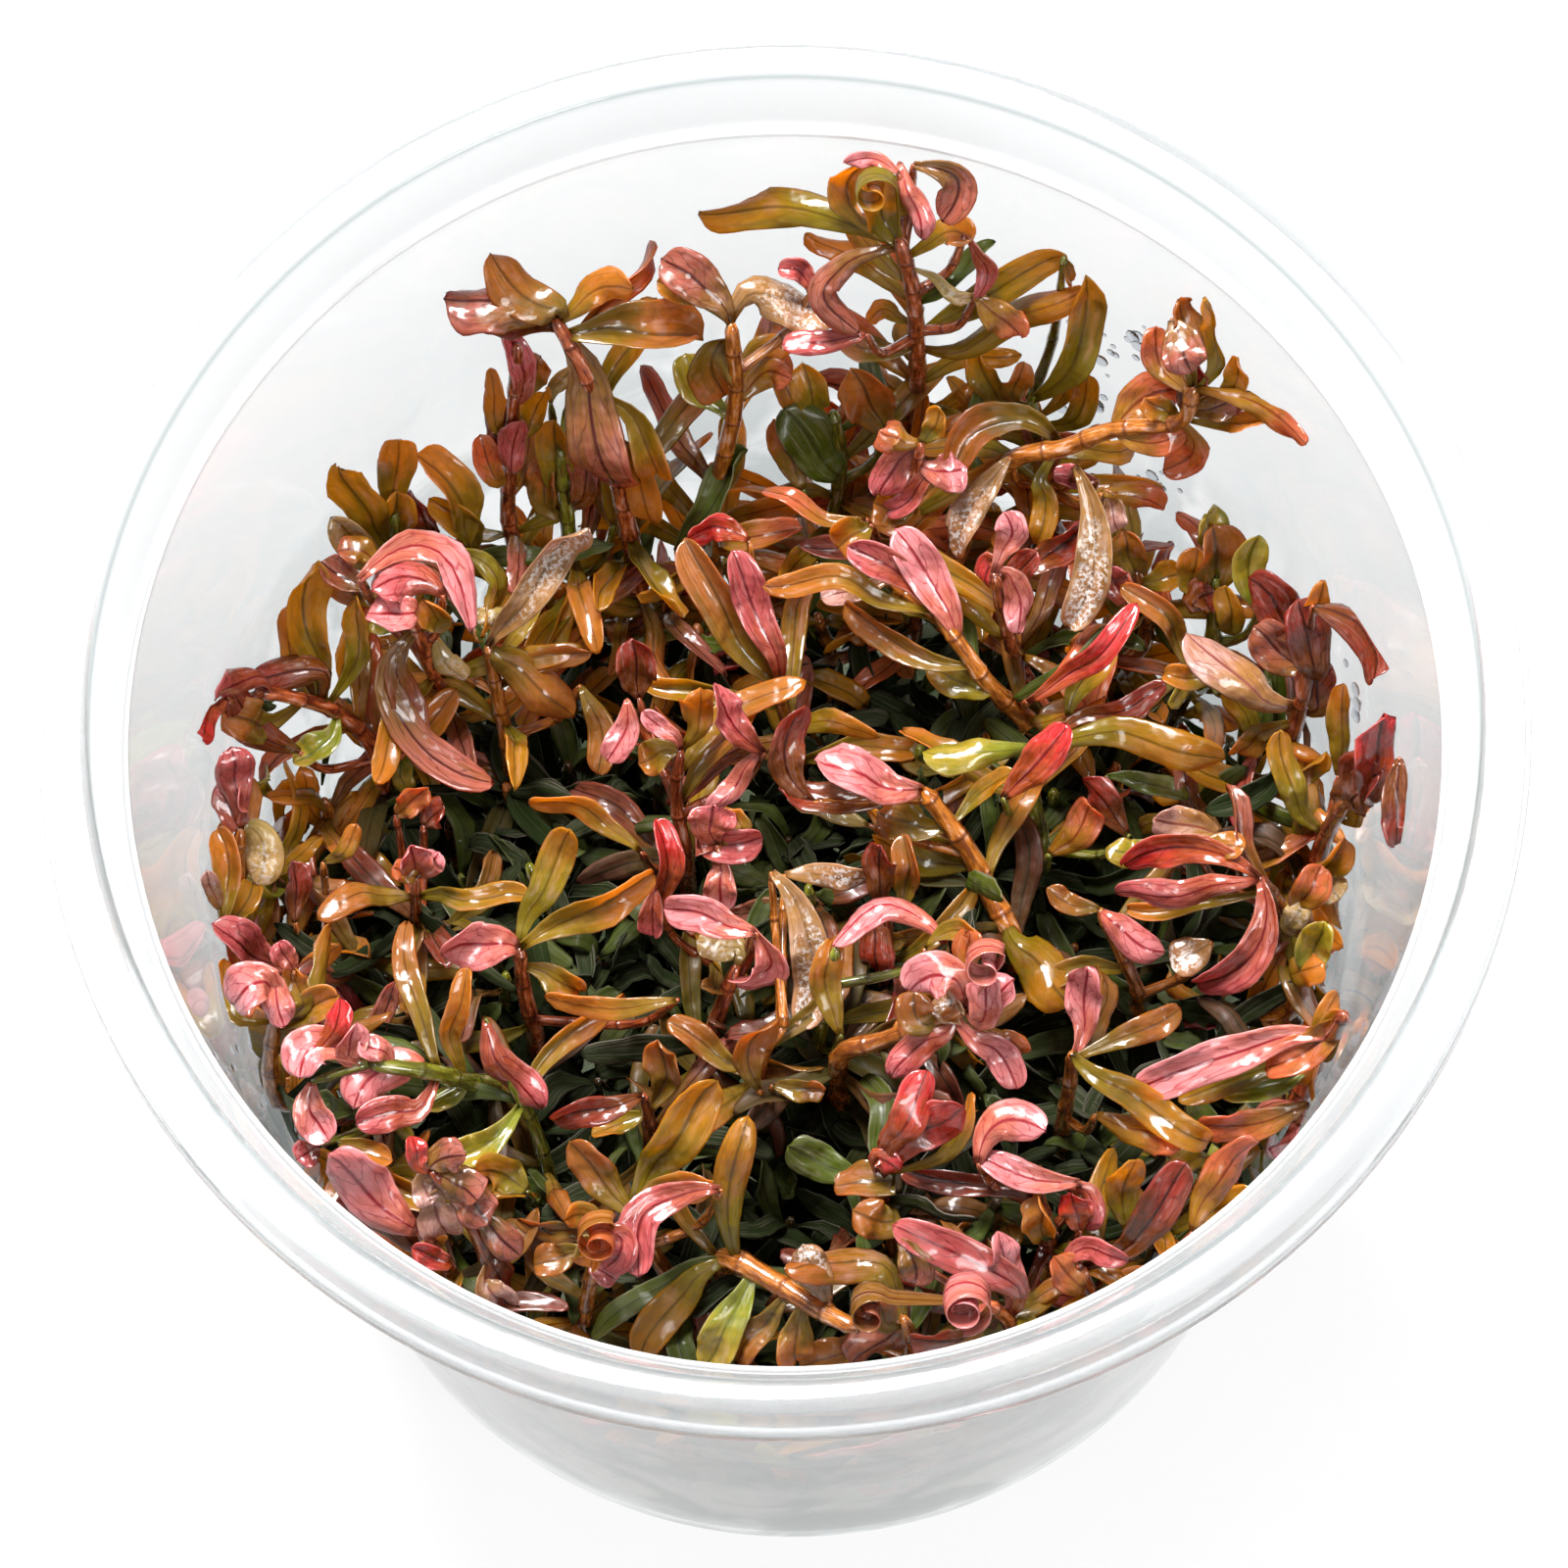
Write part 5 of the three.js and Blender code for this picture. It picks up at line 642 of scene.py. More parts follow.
stem = [(1075, 1290, 35), (1068, 1250, 40), (1055, 1205, 45)]
shoot("pink_curl_shoot", PINK, 0.7, stem, [
    leaf((1102, 1206, 46), (1002, 1182, 48), 2.3, PINK, bend=-0.5, cup=-40),
    leaf((998, 1188, 48), (1066, 1156, 50), 3.2, PINK, bend=-2.1, cup=-50),
    leaf((1098, 1204, 46), (1108, 1256, 43), 1.9, ROSE, bend=-0.8),
    leaf((1066, 1272, 42), (1060, 1226, 46), 2.8, AMBER, cup=80),
    leaf((1102, 1256, 43), (1094, 1222, 46), 2.8, RED, cup=-60),
])
stem = [(1115, 1340, 35), (1108, 1310, 39), (1100, 1288, 42)]
shoot("front_right_shoot", SALMON, 0.7, stem, [
    leaf((1078, 1302, 41), (1146, 1288, 44), 1.9, ROSE, bend=-1.4, cup=-30),
    leaf((1112, 1322, 40), (1078, 1286, 43), 2.9, SALMON, cup=-50),
    leaf((1150, 1255, 42), (1158, 1184, 47), 2.8, OLIVE, bend=-0.4),
    leaf((1144, 1298, 42), (1210, 1194, 50), 3.0, CRIMSON, cup=-40, bend=-0.4),
    leaf((1216, 1258, 42), (1284, 1168, 46), 2.9, SALMON, bend=-0.8),
])
stem = [(545, 1050, 36), (535, 1010, 41), (530, 968, 46)]
shoot("pale_head_shoot", PINK, 0.75, stem, [
    leaf((532, 966, 47), (452, 976, 48), 4.0, PINK, cup=-80, bend=0.6),
    leaf((538, 962, 46), (660, 894, 50), 2.9, AMBER, cup=60),
    leaf((522, 948, 46), (584, 847, 52), 2.7, OLIVE, cup=40, bend=0.3),
    leaf((692, 1020, 46), (556, 1020, 46), 1.9, AMBER, bend=-0.4, cup=50),
    leaf((545, 985, 44), (592, 1012, 43), 2.4, AMBER),
])
stem = [(740, 1010, 36), (736, 930, 44), (732, 862, 50)]
shoot("rose_cross_shoot", ROSE, 0.7, stem, [
    leaf((688, 868, 50), (778, 856, 50), 2.7, ROSE, cup=-30),
    leaf((722, 856, 51), (728, 822, 53), 3.6, ROSE),
    leaf((738, 872, 49), (734, 926, 46), 2.6, PINK, cup=-30, arch=0.5),
    leaf((756, 862, 50), (742, 824, 52), 1.8, AMBER, bend=0.4),
    leaf((672, 930, 44), (668, 840, 50), 2.2, RED, bend=0.6),
    leaf((668, 905, 46), (666, 955, 43), 2.0, ROSE),
])
stem = [(720, 1075, 37), (735, 1030, 42), (752, 985, 46)]
shoot("curled_pink_leaf_shoot", PINK, 0.7, stem, [
    leaf((772, 952, 49), (679, 924, 50), 2.9, PINK, cup=-40),
    leaf((768, 946, 49), (744, 1002, 45), 2.9, PINK, bend=-2.1, cup=-50),
    leaf((770, 968, 46), (712, 962, 47), 2.3, CREAM, cup=50),
])
stem = [(770, 1110, 38), (782, 1070, 43), (800, 1048, 45)]
shoot("silver_strap_shoot", SILVER, 0.65, stem, [
    leaf((787, 890, 50), (813, 1052, 44), 3.1, SILVER, bend=-2.2, cup=-40),
    leaf((800, 892, 46), (886, 896, 47), 2.1, SILVER),
    leaf((776, 1112, 44), (792, 1044, 49), 2.7, BROWN, bend=-1.3, cup=-50),
    leaf((760, 1102, 42), (680, 1044, 45), 2.1, BROWN, bend=0.4),
    leaf((788, 1108, 44), (842, 1112, 44), 1.9, BROWN),
])
stem = [(700, 870, 38), (690, 815, 43), (694, 765, 47)]
shoot("ribbon_shoot", ROSE, 0.65, stem, [
    leaf((780, 768, 48), (733, 704, 53), 2.5, ROSE, bend=-0.5, cup=-40),
    leaf((776, 766, 48), (726, 829, 45), 1.8, PINK),
    leaf((640, 714, 50), (620, 776, 47), 2.3, PINK, bend=-0.5, cup=-40),
    leaf((706, 758, 48), (712, 706, 52), 2.8, AMBER, cup=-50, bend=0.5),
    leaf((700, 757, 48), (654, 728, 50), 1.5, PINK),
    leaf((690, 762, 47), (652, 778, 46), 2.7, AMBER, cup=-60),
    leaf((652, 712, 45), (644, 652, 49), 3.1, CRIMSON, cup=50),
    leaf((654, 870, 44), (543, 816, 47), 1.9, AMBER, bend=0.9),
])
stem = [(812, 760, 36), (800, 725, 41), (795, 700, 44)]
shoot("long_brown_pair", BROWN, 0.7, stem, [
    leaf((790, 702, 44), (704, 552, 52), 3.1, BROWN, bend=-0.5, cup=40),
    leaf((806, 692, 46), (745, 564, 53), 2.8, ROSE, cup=-30),
    leaf((764, 552, 50), (702, 548, 51), 2.3, RED, bend=0.8),
])
stem = [(428, 960, 36), (424, 920, 42), (424, 894, 45)]
shoot("tiny_pink_rosette", SALMON, 0.55, stem, [
    leaf((430, 896, 46), (400, 886, 47), 2.4, SALMON, cup=-60),
    leaf((424, 892, 46), (420, 864, 49), 2.8, ROSE, cup=-60),
    leaf((434, 892, 46), (446, 872, 48), 2.2, PINK, cup=-60),
    leaf((404, 832, 43), (432, 808, 46), 2.1, SALMON),
    leaf((432, 842, 43), (452, 824, 45), 2.6, CRIMSON, cup=-50),
])


# The shape of the undergrowth


def undergrowth_reach(angle, height):
    """How far out the undergrowth reaches: to the wall at the front and sides, less at the back."""
    backness = max(0, math.sin(angle)) ** 1.5
    lumps = 0.5 * math.sin(5 * angle + height * 0.3) + 0.5 * math.sin(11 * angle - height * 0.2)
    return inner_radius(height) - GAP - 1.2 - backness * BACK_CLEARANCE * (0.4 + height / 65) + lumps


def leaf_axes(blade):
    """The directions of a leaf: across it, and out of its upper face."""
    along = unit(blade["tip"] - blade["foot"])
    seen = blade.get("face", TO_EYE)
    face = unit(seen - along * np.dot(seen, along))
    across = np.cross(along, face)
    turn = math.radians(blade["roll"])
    up = face * math.cos(turn) + across * math.sin(turn)
    return np.cross(along, up), up


def leaf_middle(blade, axes, share):
    """A point of the line down a leaf's middle, at a share of its length."""
    across, up = axes
    bow = 4 * share * (1 - share)
    straight = blade["foot"] + (blade["tip"] - blade["foot"]) * share
    return straight + across * bow * blade["bend"] + up * bow * blade["arch"]


def plotted_points(shares):
    """Points along each plotted leaf, at shares of its length."""
    leaves = [blade for plant in SHOOTS for blade in plant["leaves"]]
    return [leaf_middle(blade, leaf_axes(blade), share) for blade in leaves for share in shares]


# Points that the undergrowth stays under: along the plotted leaves, and a little below each stem's tip
BELOW_TIP = np.array((0, 0, -2.5))
STEM_TIPS = [plant["stem"][-1] + BELOW_TIP for plant in SHOOTS]
LEAF_POINTS = np.array(plotted_points((0, 0.35, 0.7, 1)) + STEM_TIPS)

# The floors of the deep gaps between the shoots, as seen in the picture
PITS = [
    (925, 695, 29),
    (868, 675, 30),
    (585, 735, 31),
    (805, 838, 30),
    (1100, 915, 31),
    (645, 955, 31),
    (1175, 1035, 32),
    (1050, 1110, 31),
    (585, 1135, 32),
    (830, 1215, 32),
    (430, 850, 32),
]
PIT_POINTS = np.array([seen_at(pit) for pit in PITS])


def exact_top(x, y):
    """Height of the undergrowth at a place: up to the leaves over it, or its own height between."""
    rise = min(1, max(0, (UNDERGROWTH_BACK - y) / UNDERGROWTH_SLOPE))
    own = SHOULDER_HEIGHT + 3 + (UNDERGROWTH_TOP - SHOULDER_HEIGHT - 3) * rise**0.5
    own += 1.2 * math.sin(0.42 * x + 1) * math.cos(0.37 * y)
    far = (LEAF_POINTS[:, 0] - x) ** 2 + (LEAF_POINTS[:, 1] - y) ** 2
    under = (LEAF_POINTS[:, 2] - HEADROOM + HOLLOW * far).min()
    far = np.maximum(0, np.hypot(PIT_POINTS[:, 0] - x, PIT_POINTS[:, 1] - y) - PIT_RADIUS)
    pits = (PIT_POINTS[:, 2] + PIT_SLOPE * far**2).min()
    return max(SHOULDER_HEIGHT + 1.5, min(own, under, pits))


# The top's heights round the cup and from its middle out, which it runs straight between
ROUND_STEPS = 36
RADIAL_STEPS = 9
TURNS = np.arange(ROUND_STEPS) * 2 * math.pi / ROUND_STEPS
EDGES = np.array([undergrowth_reach(turn, UNDERGROWTH_TOP) - 0.5 for turn in TURNS])
RIM_POINTS = np.stack((EDGES * np.cos(TURNS), EDGES * np.sin(TURNS)), 1)
TOP_HEIGHTS = np.array(
    [[exact_top(*(share * point)) for point in RIM_POINTS] for share in np.linspace(0, 1, RADIAL_STEPS + 1)]
)


def undergrowth_top(x, y):
    """Height of the undergrowth's top at a place."""
    step = math.atan2(y, x) / (2 * math.pi) * ROUND_STEPS % ROUND_STEPS
    first = int(step) % ROUND_STEPS
    second = (first + 1) % ROUND_STEPS
    beyond = step - int(step)
    edge = EDGES[first] * (1 - beyond) + EDGES[second] * beyond
    ring = min(RADIAL_STEPS - 1e-6, math.hypot(x, y) / edge * RADIAL_STEPS)
    inner = int(ring)
    out = ring - inner
    heights = TOP_HEIGHTS[:, first] * (1 - beyond) + TOP_HEIGHTS[:, second] * beyond
    return heights[inner] * (1 - out) + heights[inner + 1] * out


# Points along the plotted leaves as seen: across the view, up it, and towards the eye
VIEW_AXES = np.array((PICTURE_RIGHT, PICTURE_UP, TO_EYE))
PLOTTED = np.array([VIEW_AXES @ point for point in plotted_points((0.15, 0.35, 0.55, 0.75, 0.95))])
SEEN_PITS = (VIEW_AXES @ PIT_POINTS.T).T

# As seen, a leaf laid by rule stays this far from the plotted ones behind it, and from a deep gap's
# middle unless it is under this height over the gap's floor
KEPT_CLEAR = 1.7
PIT_MOUTH = 3.6
PIT_DEPTH = 3


def hides_plotted(blade):
    """Whether a leaf would stand in front of a plotted one, or over a deep gap."""
    for share in (0.3, 0.55, 0.8, 1):
        seen = VIEW_AXES @ leaf_middle(blade, leaf_axes(blade), share)
        near = np.hypot(PLOTTED[:, 0] - seen[0], PLOTTED[:, 1] - seen[1]) < KEPT_CLEAR
        over = np.hypot(SEEN_PITS[:, 0] - seen[0], SEEN_PITS[:, 1] - seen[1]) < PIT_MOUTH
        if (seen[2] > PLOTTED[near, 2] - 0.3).any() or (seen[2] > SEEN_PITS[over, 2] + PIT_DEPTH).any():
            return True
    return False


# Meshes


# What the materials read at each point: its places across and along a leaf, a number of the leaf's own,
# whether it is on the underside, and how much painted shade darkens the leaf for lying deep among the
# stems. On a stem, along counts its nodes. On the cup, chance is how much painted shade darkens the
# plastic there, and under how milky.
POINT_VALUES = ("across", "along", "chance", "under", "shade")


class Skin:
    """Points and faces of one piece, with what its materials read at each point."""

    def __init__(self):
        self.points, self.faces, self.slots = [], [], []
        self.values = {key: [] for key in POINT_VALUES}
        self.count = 0

    def add(self, points, faces, slot, **values):
        """Adds points and faces. Each value is one number, or one for each point."""
        self.faces += [[i + self.count for i in face] for face in faces]
        self.slots += [slot] * len(faces)
        self.points.append(points)
        for key, kept in self.values.items():
            kept.append(np.broadcast_to(np.asarray(values.get(key, 0), float), (len(points),)))
        self.count += len(points)


def object_from(name, skin, materials, replaced=()):
    """A smooth mesh object in metres, riding on the part."""
    mesh = bpy.data.meshes.new(name)
    mesh.from_pydata((np.vstack(skin.points) / 1000).tolist(), [], skin.faces)
    used = sorted(set(skin.slots))
    for key in used:
        mesh.materials.append(materials[key])
    order = {key: i for i, key in enumerate(used)}
    mesh.polygons.foreach_set("material_index", [order[key] for key in skin.slots])
    mesh.polygons.foreach_set("use_smooth", [True] * len(mesh.polygons))
    for key, kept in skin.values.items():
        attribute = mesh.attributes.new(key, "FLOAT", "POINT")
        attribute.data.foreach_set("value", np.concatenate(kept).astype(np.float32))
    mesh.update()
    piece = bpy.data.objects.new(name, mesh)
    bpy.context.scene.collection.objects.link(piece)
    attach(piece, "root")
    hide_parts(*replaced)
    return piece


# A blade's half width, as shares of its own, at shares of its length
OUTLINE_SHARES = (0, 0.06, 0.16, 0.32, 0.5, 0.68, 0.85, 0.94, 0.985, 1)
OUTLINE_WIDTHS = (0.2, 0.28, 0.48, 0.74, 0.92, 1, 0.9, 0.72, 0.42, 0.14)
# Its thickness, how round its tip is, how deep its midrib lies, and the least room to the wall
BLADE_THICKNESS = 0.13
TIP_NOTCH = -0.2
RIB_GROOVE = 0.12
LEAF_MARGIN = 0.2

# Rows and columns of a leaf's points: a plotted leaf, one laid by rule on a shoot, and a lower one
PLOTTED_GRID = (17, 9)
SPARE_GRID = (12, 7)
LOWER_GRID = (9, 5)

# Side veins: how many, how they slant, how the streaks bend them, and how wide a line is
VEIN_COUNT = 4.6
VEIN_SLANT = 1.9
VEIN_BEND = 1.6
VEIN_WIDTH = 0.09


def blade_route(blade, root, shares):
    """A blade's middle line, and at each of its points the ways across it and out of its face."""
    axes = leaf_axes(blade)
    length = np.linalg.norm(blade["tip"] - blade["foot"])
    middles = np.array([leaf_middle(blade, axes, share) for share in shares])
    if root is not None:
        pull = np.clip(1 - shares / 0.3, 0, 1)[:, None] ** 2
        middles = middles + (root - blade["foot"]) * pull
    phase = 2 * math.pi * (blade["chance"] + blade["waves"] * shares)
    grown = np.minimum(1, shares * 2.5)
    middles += np.outer(np.sin(phase) * grown * blade["sway"] * length, axes[1])
    middles += np.outer(np.cos(phase * 0.8) * grown * blade["sway"] * 0.6 * length, axes[0])
    hook = np.clip((shares - 0.72) / 0.28, 0, 1) ** 2 * blade["hook"] * length
    middles -= np.outer(hook, axes[1])
    ways = np.gradient(middles, axis=0)
    ways /= np.linalg.norm(ways, axis=1)[:, None]
    across = np.cross(ways, axes[1])
    short = np.linalg.norm(across, axis=1) < 0.2
    across[short] = axes[0]
    across /= np.linalg.norm(across, axis=1)[:, None]
    up = np.cross(across, ways)
    turned = np.radians(blade["twist"]) * (shares - 0.25)
    cosine, sine = np.cos(turned)[:, None], np.sin(turned)[:, None]
    return middles, ways, across * cosine + up * sine, up * cosine - across * sine


def blade_rise(blade, length, half, shares, sides):
    """How far a blade's ruffled edges, crinkles, fold and midrib groove stand out of it."""
    grown = np.minimum(1, shares * 3)[:, None]
    wave = np.sin(2 * math.pi * (2.3 * shares[:, None] + blade["chance"]) + np.where(sides > 0, 1.7, 0))
    rise = blade["ruffle"] * blade["width"] * sides**2 * wave * grown
    beats = length / 2.6 * shares[:, None] + 0.7 * sides + 3 * blade["chance"]
    others = 0.55 * sides + length / 2.3 * shares[:, None] + 7 * blade["chance"]
    rise += blade["crinkle"] * np.sin(2 * math.pi * beats) * np.sin(2 * math.pi * others) * grown
    return rise + blade["fold"] * half * np.abs(sides) - RIB_GROOVE * half * np.exp(-((sides / 0.22) ** 2))


def blade_grid(blade, root, rows, columns):
    """The grid of a blade's middle surface, and which way its upper face looks at each point."""
    length = np.linalg.norm(blade["tip"] - blade["foot"])
    # Rows lie closer together towards the tip, which keeps it round
    shares = 1 - (1 - np.linspace(0, 1, rows)) ** 1.45
    middles, ways, across, up = blade_route(blade, root, shares)
    # The outermost columns lie close to the edges, which keeps them crisp
    sides = np.sin(np.linspace(-1, 1, columns) * math.pi / 2)[None]
    half = (blade["width"] / 2 * np.interp(shares, OUTLINE_SHARES, OUTLINE_WIDTHS))[:, None]
    opening = math.radians(blade["cup"]) / 2 * (0.5 + 0.5 * np.minimum(1, shares / 0.25))[:, None]
    turn = sides * np.where(np.abs(opening) < 0.02, 0.02, opening)
    safe = np.where(np.abs(turn) < 1e-6, 1e-6, turn)
    reach = half * sides * np.sin(safe) / safe
    rise = half * sides * (1 - np.cos(safe)) / safe + blade_rise(blade, length, half, shares, sides)
    back = np.zeros((rows, columns))
    back[-1] = (TIP_NOTCH * half[-2] * (1 - np.abs(sides)))[0]
    grid = middles[:, None] + across[:, None] * reach[..., None] + up[:, None] * rise[..., None]
    grid -= ways[:, None] * back[..., None]
    ups = up[:, None] * np.cos(turn)[..., None] - across[:, None] * np.sin(turn)[..., None]
    grid = held_inside(grid.reshape(-1, 3), LEAF_MARGIN).reshape(grid.shape)
    return grid, ups, shares, sides[0]


def add_sheet(skin, grid, ups, shares, sides, tone, chance, shade=0):
    """A thin closed sheet: an upper and a lower face that share their edges."""
    rows, columns = grid.shape[:2]
    half = BLADE_THICKNESS / 2
    top = grid + ups * half
    top[0], top[-1], top[:, 0], top[:, -1] = grid[0], grid[-1], grid[:, 0], grid[:, -1]
    low = (grid - ups * half)[1:-1, 1:-1]
    points = np.vstack((top.reshape(-1, 3), low.reshape(-1, 3)))
    upper = np.arange(rows * columns).reshape(rows, columns)
    lower = upper.copy()
    lower[1:-1, 1:-1] = rows * columns + np.arange(low.shape[0] * low.shape[1]).reshape(low.shape[:2])
    quads = [upper[:-1, :-1], upper[:-1, 1:], upper[1:, 1:], upper[1:, :-1]]
    backs = [lower[:-1, :-1], lower[1:, :-1], lower[1:, 1:], lower[:-1, 1:]]
    faces = np.vstack([np.stack([part.ravel() for part in parts], 1) for parts in (quads, backs)]).tolist()
    across = np.broadcast_to(sides, (rows, columns))
    along = np.broadcast_to(shares[:, None], (rows, columns))
    count = low.shape[0] * low.shape[1]
    skin.add(
        points,
        faces,
        tone,
        across=np.concatenate((across.ravel(), across[1:-1, 1:-1].ravel())),
        along=np.concatenate((along.ravel(), along[1:-1, 1:-1].ravel())),
        chance=chance,
        under=np.concatenate((np.zeros(rows * columns), np.ones(count))),
        shade=shade,
    )


def add_blade(skin, blade, root=None, size=PLOTTED_GRID):
    """A leaf's blade, which starts at the root where one is given, or else at the leaf's foot."""
    grid, ups, shares, sides = blade_grid(blade, root, *size)
    shade = blade.get("shade", 0)
    add_sheet(skin, grid, ups, shares, sides, blade["tone"], blade["chance"], shade)


# Stems: how far apart their nodes are, how much they swell there, how much thinner they get, and the
# least room to the wall
NODE_STEP = 3.6
NODE_SWELL = 0.16
STEM_TAPER = 0.35
STEM_MARGIN = 0.15


def smooth_route(points, step):
    """Points every step along a smooth curve through the given ones."""
    points = np.array(points, float)
    ends = np.vstack((2 * points[0] - points[1], points, 2 * points[-1] - points[-2]))
    route = []
    for i in range(1, len(ends) - 2):
        a, b, c, d = ends[i - 1 : i + 3]
        pieces = max(2, int(np.linalg.norm(c - b) / step))
        square, cube = 2 * a - 5 * b + 4 * c - d, 3 * b - a - 3 * c + d
        for t in np.linspace(0, 1, pieces, endpoint=False):
            route.append(0.5 * (2 * b + (c - a) * t + square * t**2 + cube * t**3))
    route.append(points[-1])
    return np.array(route)


def distances(route):
    """How far along a route each of its points is."""
    return np.concatenate(((0,), np.cumsum(np.linalg.norm(np.diff(route, axis=0), axis=1))))


def add_stem(skin, points, radius, slot, sides=9, step=0.7):
    """A tapered stem with a ring at each place where leaves grow."""
    route = smooth_route(points, step)
    ways = np.gradient(route, axis=0)
    far = distances(route)
    chance = rng.random()
    rings = []
    for i, place in enumerate(route):
        along = unit(ways[i])
        side = unit(np.cross(along, (0.3, 0.9, 0.2)))
        other = np.cross(along, side)
        swell = NODE_SWELL * math.exp(-((((far[i] / NODE_STEP + chance) % 1 - 0.5) / 0.09) ** 2))
        size = radius * (1 - STEM_TAPER * far[i] / far[-1]) * (1 + swell)
        if i == len(route) - 1:
            size *= 0.55
        for k in range(sides):
            turn = 2 * math.pi * k / sides
            rings.append(place + side * size * math.cos(turn) + other * size * math.sin(turn))
    count = len(route)
    faces = [tuple(range(sides - 1, -1, -1)), tuple((count - 1) * sides + k for k in range(sides))]
    for i in range(count - 1):
        for k in range(sides):
            a, b = i * sides + k, i * sides + (k + 1) % sides
            faces.append((a, b, b + sides, a + sides))
    skin.add(
        held_inside(rings, STEM_MARGIN),
        faces,
        slot,
        across=np.tile(np.linspace(0, 1, sides), count),
        along=np.repeat(far / NODE_STEP + chance, sides),
        chance=chance,
    )


# Materials


def linear(code):
    """A colour written as six hexadecimal digits, as linear numbers."""
    parts = [int(code[i : i + 2], 16) / 255 for i in (0, 2, 4)]
    return tuple(p / 12.92 if p <= 0.04045 else ((p + 0.055) / 1.055) ** 2.4 for p in parts) + (1,)


class Graph:
    """A material's nodes, with one call for each kind."""

    def __init__(self, name):
        self.material = bpy.data.materials.new(name)
        self.material.use_nodes = True
        self.tree = self.material.node_tree
        self.tree.nodes.clear()

    def node(self, kind, settings=None, **inputs):
        """A new node. Its inputs are named by keyword, with _ for a space."""
        made = self.tree.nodes.new("ShaderNode" + kind)
        for key, value in (settings or {}).items():
            setattr(made, key, value)
        for key, value in inputs.items():
            self.put(made.inputs[key.replace("_", " ")], value)
        return made

    def put(self, socket, value):
        if isinstance(value, bpy.types.NodeSocket):
            self.tree.links.new(value, socket)
        else:
            socket.default_value = value

    def math(self, operation, *values):
        made = self.node("Math", dict(operation=operation))
        for socket, value in zip(made.inputs, values):
            self.put(socket, value)
        return made.outputs[0]

    def plus(self, a, b):
        return self.math("ADD", a, b)

    def minus(self, a, b):
        return self.math("SUBTRACT", a, b)

    def times(self, a, b):
        return self.math("MULTIPLY", a, b)

    def value(self, name):
        made = self.node("Attribute", dict(attribute_type="GEOMETRY", attribute_name=name))
        return made.outputs["Fac"]

    def mix(self, share, a, b):
        made = self.node("Mix", dict(data_type="RGBA", clamp_factor=True))
        for socket, value in zip((made.inputs[0], made.inputs[6], made.inputs[7]), (share, a, b)):
            self.put(socket, value)
        return made.outputs[2]

    def place(self):
        return self.node("TexCoord").outputs["Object"]

    def at(self, x, y, z):
        return self.node("CombineXYZ", None, X=x, Y=y, Z=z).outputs[0]

    def noise(self, scale, detail=3.0, roughness=0.55, distortion=0.0, place=None):
        shape = dict(Scale=scale, Detail=detail, Roughness=roughness, Distortion=distortion)
        return self.node("TexNoise", None, Vector=place or self.place(), **shape).outputs["Fac"]

    def ranged(self, value, low, high, to_low=0.0, to_high=1.0):
        made = self.node("MapRange", dict(interpolation_type="SMOOTHSTEP"))
        for socket, given in zip(made.inputs, (value, low, high, to_low, to_high)):
            self.put(socket, given)
        return made.outputs[0]

    def skin(self, **inputs):
        return self.node("BsdfPrincipled", None, **inputs)

    def bump(self, height, strength, distance):
        made = self.node("Bump", None, Height=height, Strength=strength, Distance=distance)
        return made.outputs["Normal"]

    def output(self, surface, volume=None):
        end = self.node("OutputMaterial")
        self.put(end.inputs["Surface"], surface)
        if volume is not None:
            self.put(end.inputs["Volume"], volume)
        return self.material


def leaf_veins(g, along, out, streak, lines):
    """How strongly a leaf's veins show: its midrib, its side veins, and the loops that join them."""
    wave = g.minus(g.times(along, VEIN_COUNT), g.times(out, VEIN_SLANT))
    wave = g.plus(wave, g.times(streak, VEIN_BEND))
    beat = g.math("ABSOLUTE", g.minus(g.math("FRACT", wave), 0.5))
    inner = g.ranged(out, 0.66, 0.8, 1.0, 0.0)
    line = g.times(g.ranged(beat, 0.0, VEIN_WIDTH, lines, 0.0), inner)
    loop = g.minus(out, g.plus(0.62, g.times(beat, 0.3)))
    looped = g.ranged(g.math("ABSOLUTE", loop), 0.0, VEIN_WIDTH, lines * 0.8, 0.0)
    midrib = g.ranged(out, 0.02, 0.12, 0.4 + lines, 0.0)
    return g.math("MAXIMUM", g.math("MAXIMUM", line, looped), midrib)


def film_share(g, along, out, streak):
    """How much painted sparkle lies on a leaf: white specks standing in for glints, more of them towards
    its tip.
    """
    speck = g.ranged(g.noise(3000.0, 2.0, 0.7), 0.45, 0.6)
    speck = g.times(speck, g.ranged(out, 0.55, 0.9, 1.0, 0.0))
    return g.times(speck, g.ranged(g.plus(along, streak), 0.7, 1.2))


